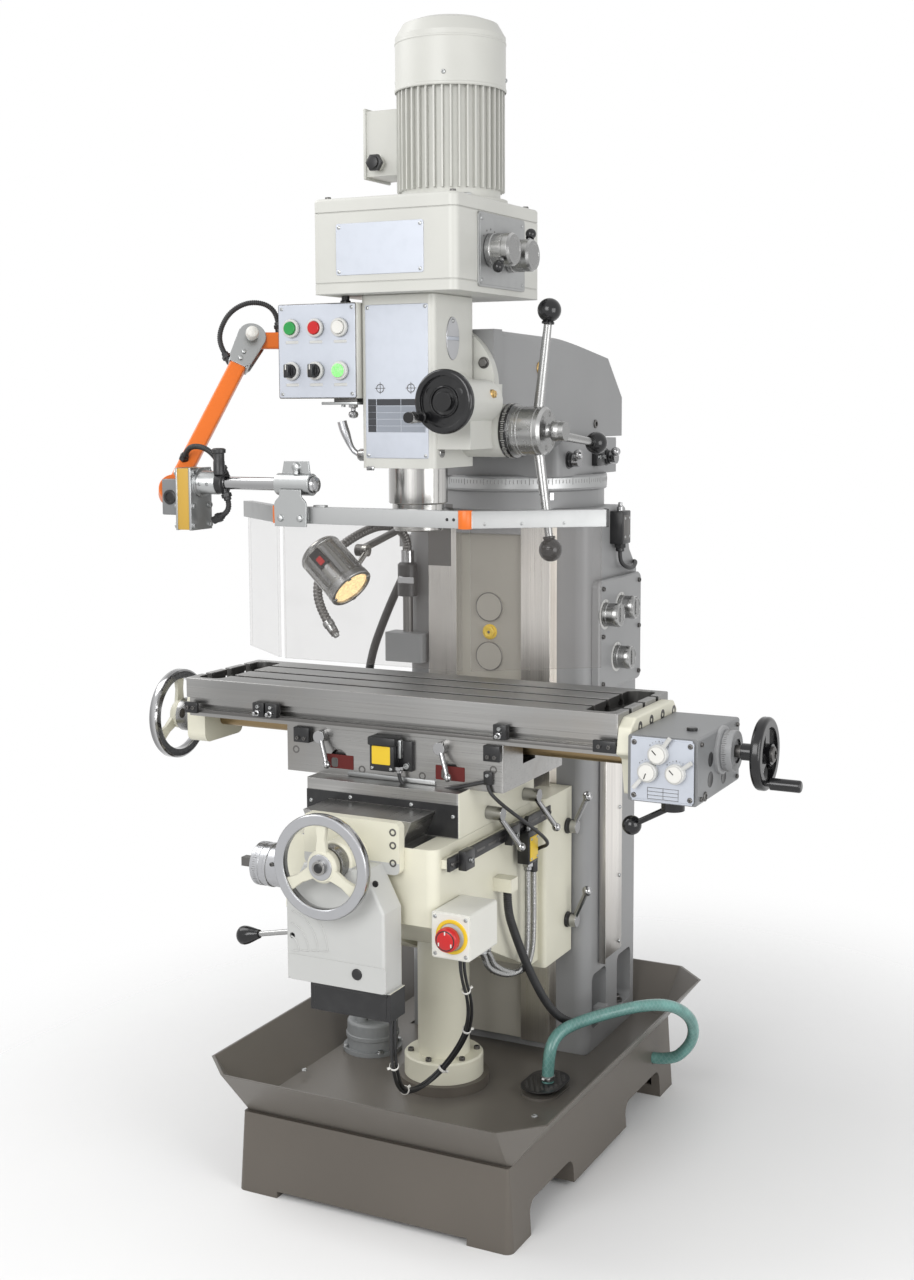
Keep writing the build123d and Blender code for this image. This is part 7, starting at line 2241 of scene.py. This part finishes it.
@dataclass
class ControlBox:
    """Control box with bezels, pointers and a lit lens."""

    front: float = 30
    low: tuple[float, float] = (-230, 1424)
    high: tuple[float, float] = (-72, 1588)
    columns: tuple[float, float, float] = (-201, -152, -103)
    buttons: float = 1546
    selectors: float = 1472
    caps: tuple[tuple[str, Finish], ...] = (
        ("start_button", GREEN), ("stop_button", RED), ("jog_button", WHITE),
    )
    grips: tuple[str, str] = ("selector_left", "selector_right")

    def build(self) -> None:
        """Add the front plate, bezels, pointers and fittings."""
        box = Piece("control_box_front", "head")
        middle = ((self.low[0] + self.high[0]) / 2, self.front, (self.low[1] + self.high[1]) / 2)
        box.slab(middle, FRONT, rounded(155, 161, 2), 1.6, LABEL, 0.5)
        box.slab(
            (middle[0], middle[1] + 0.2, middle[2]), FRONT, rounded(157.6, 163.6, 3), 0.8, DARK_STEEL, 0.2,
        )
        y = self.front - 1.5
        for dx, dz in product((-71, 71), (-74, 74)):
            box.flat_screw((middle[0] + dx, y, middle[2] + dz), FRONT, 3.2)
        for x, z in product(self.columns, (self.buttons, self.selectors)):
            box.turned((x, y - 2, z), FRONT, (
                (16, 0), (16.4, 2), (15.6, 4.6), (12.6, 5.2), (11.6, 4.6), (11.6, 2),
            ), PALE, 48)
            box.slab((x, y, z - 24), FRONT, rounded(26, 5, 1), 0.4, PALE, 0.1)
        x = self.columns[2]
        box.turned((x, y - 4, self.selectors), FRONT, (
            (11.6, 0), (11.6, 7), (10.6, 8.6), (7, 9.6), (0, 10),
        ), PAINTS.lit("lens_green", (0.25, 0.85, 0.22), 0.8), 40)
        box.block((-146, 34, 1413), (-74, 70, 1418), ZINC, 0.8)
        box.block((-124, 40, 1417), (-78, 64, 1424.4), DARK_STEEL, 0.8)
        box.cap_screw((-112, 52, 1413), DOWN, 5, ZINC)
        box.turned((-92, 52, 1413.4), DOWN, (
            (8, 0, 6), (8, 5, 6), (6, 5.6), (4, 7), (4, 11), (7.4, 13), (9, 17), (7.4, 22), (3, 24),
            (0, 24.4),
        ), CHROME, 36)
        box.turned((-110, 60, 1587.6), UP, ((9, 0, 6), (9, 5, 6), (7, 6), (7, 13.2)), BLACK, 32)
        box.done()
        self._caps_and_grips()

    def _caps_and_grips(self) -> None:
        """The buttons' caps and the selectors' grips with their pointers."""
        for x, (name, coat) in zip(self.columns, self.caps):
            cap = Piece(f"{name}_cap", name)
            cap.turned((x, 19.6, self.buttons), FRONT, (
                (11.2, 0), (11.2, 1.2), (10.4, 2.2), (8, 2), (0, 1.6),
            ), coat, 40)
            cap.done()
        for x, name in zip(self.columns, self.grips):
            grip = Piece(f"{name}_grip", name)
            grip.turned((x, 19.4, self.selectors), FRONT, (
                (11.2, 0), (11.2, 1.6), (10.4, 2.4), (0, 2.4),
            ), BLACK, 40)
            z = self.selectors
            grip.block((x - 4.6, 5.6, z - 11.6), (x + 4.6, 18, z + 11.6), BLACK, 1.4)
            grip.block((x - 1, 5.0, z + 2), (x + 1, 5.9, z + 11), WHITE, 0.2)
            grip.done()

    def dress(self) -> None:
        """White box, coloured buttons."""
        coat_node("control_box", BOX_WHITE)
        for name, coat in self.caps:
            coat_node(name, coat)
        for name in self.grips:
            coat_node(name, BLACK)


@dataclass
class Guard:
    """Guard on its orange arm: elbow, wrist, corrugated loops, rail and clear panes."""

    shoulder: Triple = (-102, 285, 1530)
    elbow: Triple = (-335, 100, 1530)
    wrist: Triple = (-376, -90, 1264)
    axis: Triple = (0.575, -0.724, 0.382)
    bar_z: float = 1280
    rail: tuple[float, float] = (1215, 1243)
    thick: float = 30
    loop: Route = (
        (-296, 131, 1560), (-298, 130, 1580), (-316, 120, 1598), (-346, 104, 1600), (-374, 89, 1582),
        (-388, 78, 1550), (-384, 71, 1522), (-370, 69, 1504),
    )
    wrist_loop: Route = (
        (-363, -72, 1325), (-353, -78, 1337), (-334, -84, 1343), (-308, -88, 1340), (-286, -90, 1326),
        (-274, -90, 1308),
    )
    tail: Route = ((-262, -90, 1254), (-258, -90, 1242), (-264, -90, 1228), (-276, -90, 1222))

    def build(self) -> None:
        """Make the arm, the loops and the rail's fittings."""
        self._arm()
        glands = Piece("loop_glands", "ram")
        for route in (self.loop, self.wrist_loop, self.tail):
            for end, inner in ((route[0], route[1]), (route[-1], route[-2])):
                inward = (Vector(end) - Vector(inner)).normalized()
                glands.turned(Vector(end) - inward * 4, inward, (
                    (5.4, 0), (6.6, 0.6), (6.6, 5), (7.8, 5.6, 6), (7.8, 12, 6), (6.8, 12.6), (6.8, 21),
                    (0, 21),
                ), BLACK, 36)
        glands.done()
        Cord("elbow_loop", self.loop, 5, RUBBER, "ram", lay="loose", pitch=3.6).build()
        Cord("wrist_loop", self.wrist_loop, 5, RUBBER, "ram", lay="loose", pitch=3.6).build()
        Cord("wrist_tail", self.tail, 5, RUBBER, "ram", pitch=3.6).ribbed()
        self._rail()

    def _beam(self, piece: Piece, start: Sequence[float], end: Sequence[float], up: Vector) -> None:
        """A square tube between two points."""
        run = Vector(end) - Vector(start)
        piece.slab(start, run, rounded(self.thick, self.thick, 5), run.length, ORANGE, 0.3, up=up)

    def _arm(self) -> None:
        """The square-tube arm with its elbow, wrist and bar."""
        arm = Piece("guard_arm_tubes", "ram", "guard_arm", slot="arm_orange")
        sx, sy, sz = self.shoulder
        arm.block((sx - 14, sy - 30, sz - 34), (sx + 3.6, sy + 30, sz + 14), ORANGE, 3)
        for y, z in product((sy - 20, sy + 20), (sz - 26, sz + 6)):
            arm.cap_screw((sx - 14, y, z), LEFT, 6, ZINC)
        elbow, wrist = Vector(self.elbow), Vector(self.wrist)
        self._beam(arm, Vector((sx - 6, sy, sz)), elbow, Vector((0, 0, 1)))
        self._beam(arm, elbow, wrist, Vector(self.axis))
        self._elbow(arm)
        self._wrist(arm)
        arm.done()

    def _elbow(self, arm: Piece) -> None:
        """Zinc ears either side of the elbow, a bent tab on the lower tube and a white cap.

        Args:
            arm: The piece they are added to.
        """
        elbow, axis = Vector(self.elbow), Vector(self.axis).normalized()
        drop = (Vector(self.wrist) - elbow).normalized()
        across = axis.cross(drop)
        ear = ring(26, 21, -10, 10) + [(-21, -48), (-14, -60), (14, -60), (21, -48)]
        for side in (-1, 1):
            outline = [(u * side, v) for u, v in ear][::side]
            arm.slab(elbow + axis * side * 15.4, axis * side, outline, 4, ZINC, 0.5, up=-drop)
            arm.slab(
                elbow + drop * 48 + across * side * 15.2, across * side, rounded(30, 26, 2), 3, ZINC, 0.5,
                up=drop,
            )
        arm.turned(elbow - axis * 15, axis, ((21, 0), (21, 30)), ORANGE, 48)
        arm.turned(elbow + axis * 19, axis, (
            (8.4, 0), (8.4, 6), (9.6, 6.6), (9.6, 9), (11.6, 10), (12, 16), (10.6, 22), (6, 25.6), (0, 26.2),
        ), WHITE, 40)
        arm.turned(elbow - axis * 19, -axis, ((10, 0, 6), (10, 7, 6), (6, 8), (6, 11), (0, 11)), ZINC, 36)
        for share in (34, 48):
            arm.turned(
                elbow + drop * share + axis * 19.2, axis, ((4, 0), (4, 1.4), (2.6, 2.4), (0, 2.6)), ZINC, 24,
            )

    def _wrist(self, arm: Piece) -> None:
        """Round tube end, grey bracket, ochre block between zinc plates, barrel, ring and bar.

        Args:
            arm: The piece they are added to.
        """
        wrist, axis = Vector(self.wrist), Vector(self.axis).normalized()
        y, z = self.wrist[1], self.bar_z
        arm.turned(wrist - axis * 15, axis, (
            (0, 0), (24.6, 0), (25.6, 1), (25.6, 29), (24.6, 30), (0, 30),
        ), ORANGE, 56)
        arm.block((-380, y - 28, z - 56), (-346, y + 6, z + 6), FEED_GREY, 2)
        arm.turned((-363, y - 27.6, z - 25), FRONT, (
            (13, 0), (13, 2), (11.4, 3), (8, 3.2), (7.4, 1), (3, 0.8), (0, 0.8),
        ), BLACK, 40)
        arm.block((-349, y - 31, z - 82), (-345.4, y + 31, z + 26), ZINC, 0.6)
        arm.block((-345.6, y - 30, z - 81), (-321, y + 30, z + 25), OCHRE, 0.8)
        arm.block((-321.2, y - 31, z - 82), (-316.6, y + 31, z + 26), ZINC, 0.6)
        for dy, dz in product((-24, 24), (-74, -40, 18)):
            arm.hex_bolt((-316.6, y + dy, z + dz), RIGHT, 5)
            arm.turned((-349, y + dy, z + dz), LEFT, ((5, 0, 6), (5, 4, 6), (3, 4.6), (0, 4.8)), ZINC, 24)
        arm.turned((-317, y, z), RIGHT, (
            (20, -0.6), (26, -0.4), (26, 4), (21, 5.6), (20.4, 7), (20.4, 38), (19.6, 39.4), (12, 39.6),
        ), ZINC, 56)
        arm.turned((-278, y, z), RIGHT, (
            (18.6, -1), (19.4, 0), (19.4, 12), (17.6, 13.6), (11, 13.8),
        ), BLACK, 48)
        arm.turned((-271, y - 10, z + 15), UP, (
            (10, 0), (10, 22), (9.4, 23), (9.4, 36), (12, 37), (12, 43), (9, 45), (0, 45.4),
        ), BLACK, 40)
        for x in (-306, -290):
            arm.cap_screw((x, y - 20, z - 2), FRONT, 3.6, ZINC)
        arm.pipe([(-268, y, z), (-80.5, y, z)], 11.2, CHROME, 40)
        arm.turned((-88.6, y, z), RIGHT, (
            (11.3, 0), (14.4, 0.6), (14.4, 4.4), (12, 8), (7, 10), (0, 10.4),
        ), CHROME, 40)

    def _rail(self) -> None:
        """The folded rail with its clamp barrel, bracket, fold corners and end block."""
        rail = Piece("guard_rail", "guard", "guard_screen", slot="bare_aluminium")
        y, z = self.wrist[1], self.bar_z
        low, high = self.rail
        rail.slab((0, 0, low), UP, [
            (-298, 11.7), (-158.8, -98), (199.6, -98), (389.7, 39.5), (380.3, 52.5), (194.4, -82),
            (-153.2, -82), (-288, 24.3),
        ], high - low, ALUMINIUM, 0.3)
        rail.turned((-157, y, z), RIGHT, (
            (11.6, 0), (17.8, 0.4), (18.6, 1.4), (18.6, 67.4), (17.8, 68.4), (11.6, 68.8),
        ), ZINC, 56)
        rail.slab((-122, y - 17, 1238), FRONT, [
            (-31, -28), (31, -28), (32, 8), (30, 14), (22, 22), (21, 34), (-21, 34), (-22, 22), (-30, 14),
            (-32, 8),
        ], 3, ZINC, 0.5)
        rail.block((-150, y - 17.4, low + 1), (-94, y - 7.6, high), ZINC, 0.4)
        for x in (-141, -103):
            rail.turned((x, y - 20, 1224), FRONT, ((6, 0), (6, 1), (5, 3.4), (2, 4.6), (0, 4.8)), ZINC, 32)
        rail.slab((-122, y + 2, z + 27), FRONT, [(-29, -17), (29, -17), (25, 12), (-23, 12)], 3, ZINC, 0.5)
        rail.turned((-120, y - 1, z + 29), FRONT, (
            (8.4, 0), (8.4, 1.4), (6.6, 5), (3, 6.6), (0, 6.8),
        ), ZINC, 36)
        rail.turned((-118, y - 6, z + 17), UP, ((4.4, 0), (4.4, 6), (2, 7.4), (0, 7.6)), ZINC, 24)
        rail.block((-84, y - 8, high - 0.4), (-62, y + 4, high + 3.4), ALUMINIUM, 0.8)
        for x, radius, left, right, out in ((-156, 11.0, -158, -150, 0), (197, 11.4, 189, 204, 0.8)):
            rail.turned((x, y, low - 0.8), UP, band(radius, radius + 0.4, high - low + 1.6, 0.6), ORANGE, 36)
            rail.block((left, y - 9.6 - out, low - 0.6), (right, y - 6 - out, high + 0.6), ORANGE, 0.6)
        for x in (168, 180):
            rail.turned((x, y - 8, 1229), FRONT, ((2.6, -0.4), (2.6, 0.25), (0, 0.25)), BLACK, 24)
        fold, end = Vector((197, y, 1229)), Vector((385, 46, 1229))
        ahead = (end - fold).normalized()
        face = Vector((ahead.y, -ahead.x, 0))
        rail.slab(end - ahead * 2, ahead, rounded(17.6, 29.6, 1.4), 4.2, BLACK, 0.6)
        for share in (30, 90, 160):
            rail.flat_screw(fold + ahead * share + face * 8 - Vector((0, 0, 7)), FRONT, 2.4)
        rail.done()

    def dress(self) -> None:
        """Clear panes."""
        wear_coat("guard_panes", PAINTS.clear("clear_sheet", (0.20, 0.185, 0.175), 0.12))


@dataclass
class Lamp:
    """Work lamp: banded aluminium barrel, switch plate, lens frame and lit lens."""

    middle: Triple = (-140, 62, 1122)
    aim: Triple = (0.76, -0.13, -0.64)
    length: float = 100
    switch_side: Triple = (-0.2, -0.9, 0.5)

    def build(self) -> None:
        """Add bands, frame, lens, switch and rear cap."""
        aim = Vector(self.aim).normalized()
        back = Vector(self.middle) - aim * self.length / 2
        lamp = Piece("lamp_fittings", "work_lamp")
        lamp.turned(back + aim * 6, aim, ((39.8, 0), (40.6, 0.8), (40.6, 5), (39.8, 6)), SATIN, 64)
        turn = turn_to(aim)
        for x, y in ring(1, 16):
            side = turn @ Vector((x, y, 0))
            lamp.slab(back + aim * 50 + side * 39.4, side, rounded(7, 66, 2), 1.5, SATIN, 0.5, up=aim)
        lamp.turned(back + aim * 88, aim, (
            (40.2, 0), (42, 0.8), (42, 11.6), (40.6, 13), (36, 13), (35.4, 9), (35.4, 6),
        ), SATIN, 64)
        for x, y in ring(1, 4, 45):
            side = turn @ Vector((x, y, 0))
            lamp.slab(back + aim * 100.6 + side * 36.5, aim, rounded(7, 9, 1), 1.4, SATIN, 0.3, up=side)
        lamp.turned(
            back + aim * 94, aim, ((35.6, 0), (35, 2.4), (20, 3.8), (0, 4.2)),
            PAINTS.lit("lens_warm", (1.0, 0.72, 0.36), 1.25), 56,
        )
        lean = Vector(self.switch_side)
        up = (lean - aim * lean.dot(aim)).normalized()
        lamp.slab(back + aim * 34 + up * 38.6, up, rounded(22, 36, 2), 4.4, BLACK, 0.8, up=aim)
        lamp.slab(back + aim * 40 + up * 43, up, rounded(11, 15, 1.4), 3, RED, 0.8, up=aim)
        lamp.turned(back + aim * 0.4, -aim, (
            (30, 0), (30, 2), (26, 4), (12, 4.6), (9, 7), (0, 7.2),
        ), SATIN, 48)
        lamp.done()

    def dress(self) -> None:
        """Bare aluminium barrel."""
        coat_node("work_lamp", Plate((0.46, 0.455, 0.43), rough=0.2, haze=0.1, painted_reflection_share=0.85))


def main() -> None:
    """Build the machine's looks and report each piece."""
    logging.basicConfig(level=logging.INFO, format="%(name)s: %(message)s")
    Studio().build()
    Lines().build()
    units = (
        Base(), Pedestal(), Knee(), CrossFeed(), Saddle(), Table(), FeedBox(),
        SpokedWheel("cross_wheel", "cross_screw", "cross_handwheel", CrossFeed.wheel, FRONT, 80),
        SpokedWheel("table_wheel", "table_screw", "table_handwheel", Table.wheel, LEFT, 78),
        Column(), Turret(), Head(), Gearbox(), ControlBox(), Guard(), Lamp(),
    )
    for unit in units:
        unit.build()
        unit.dress()


if __name__ == "__main__":
    main()
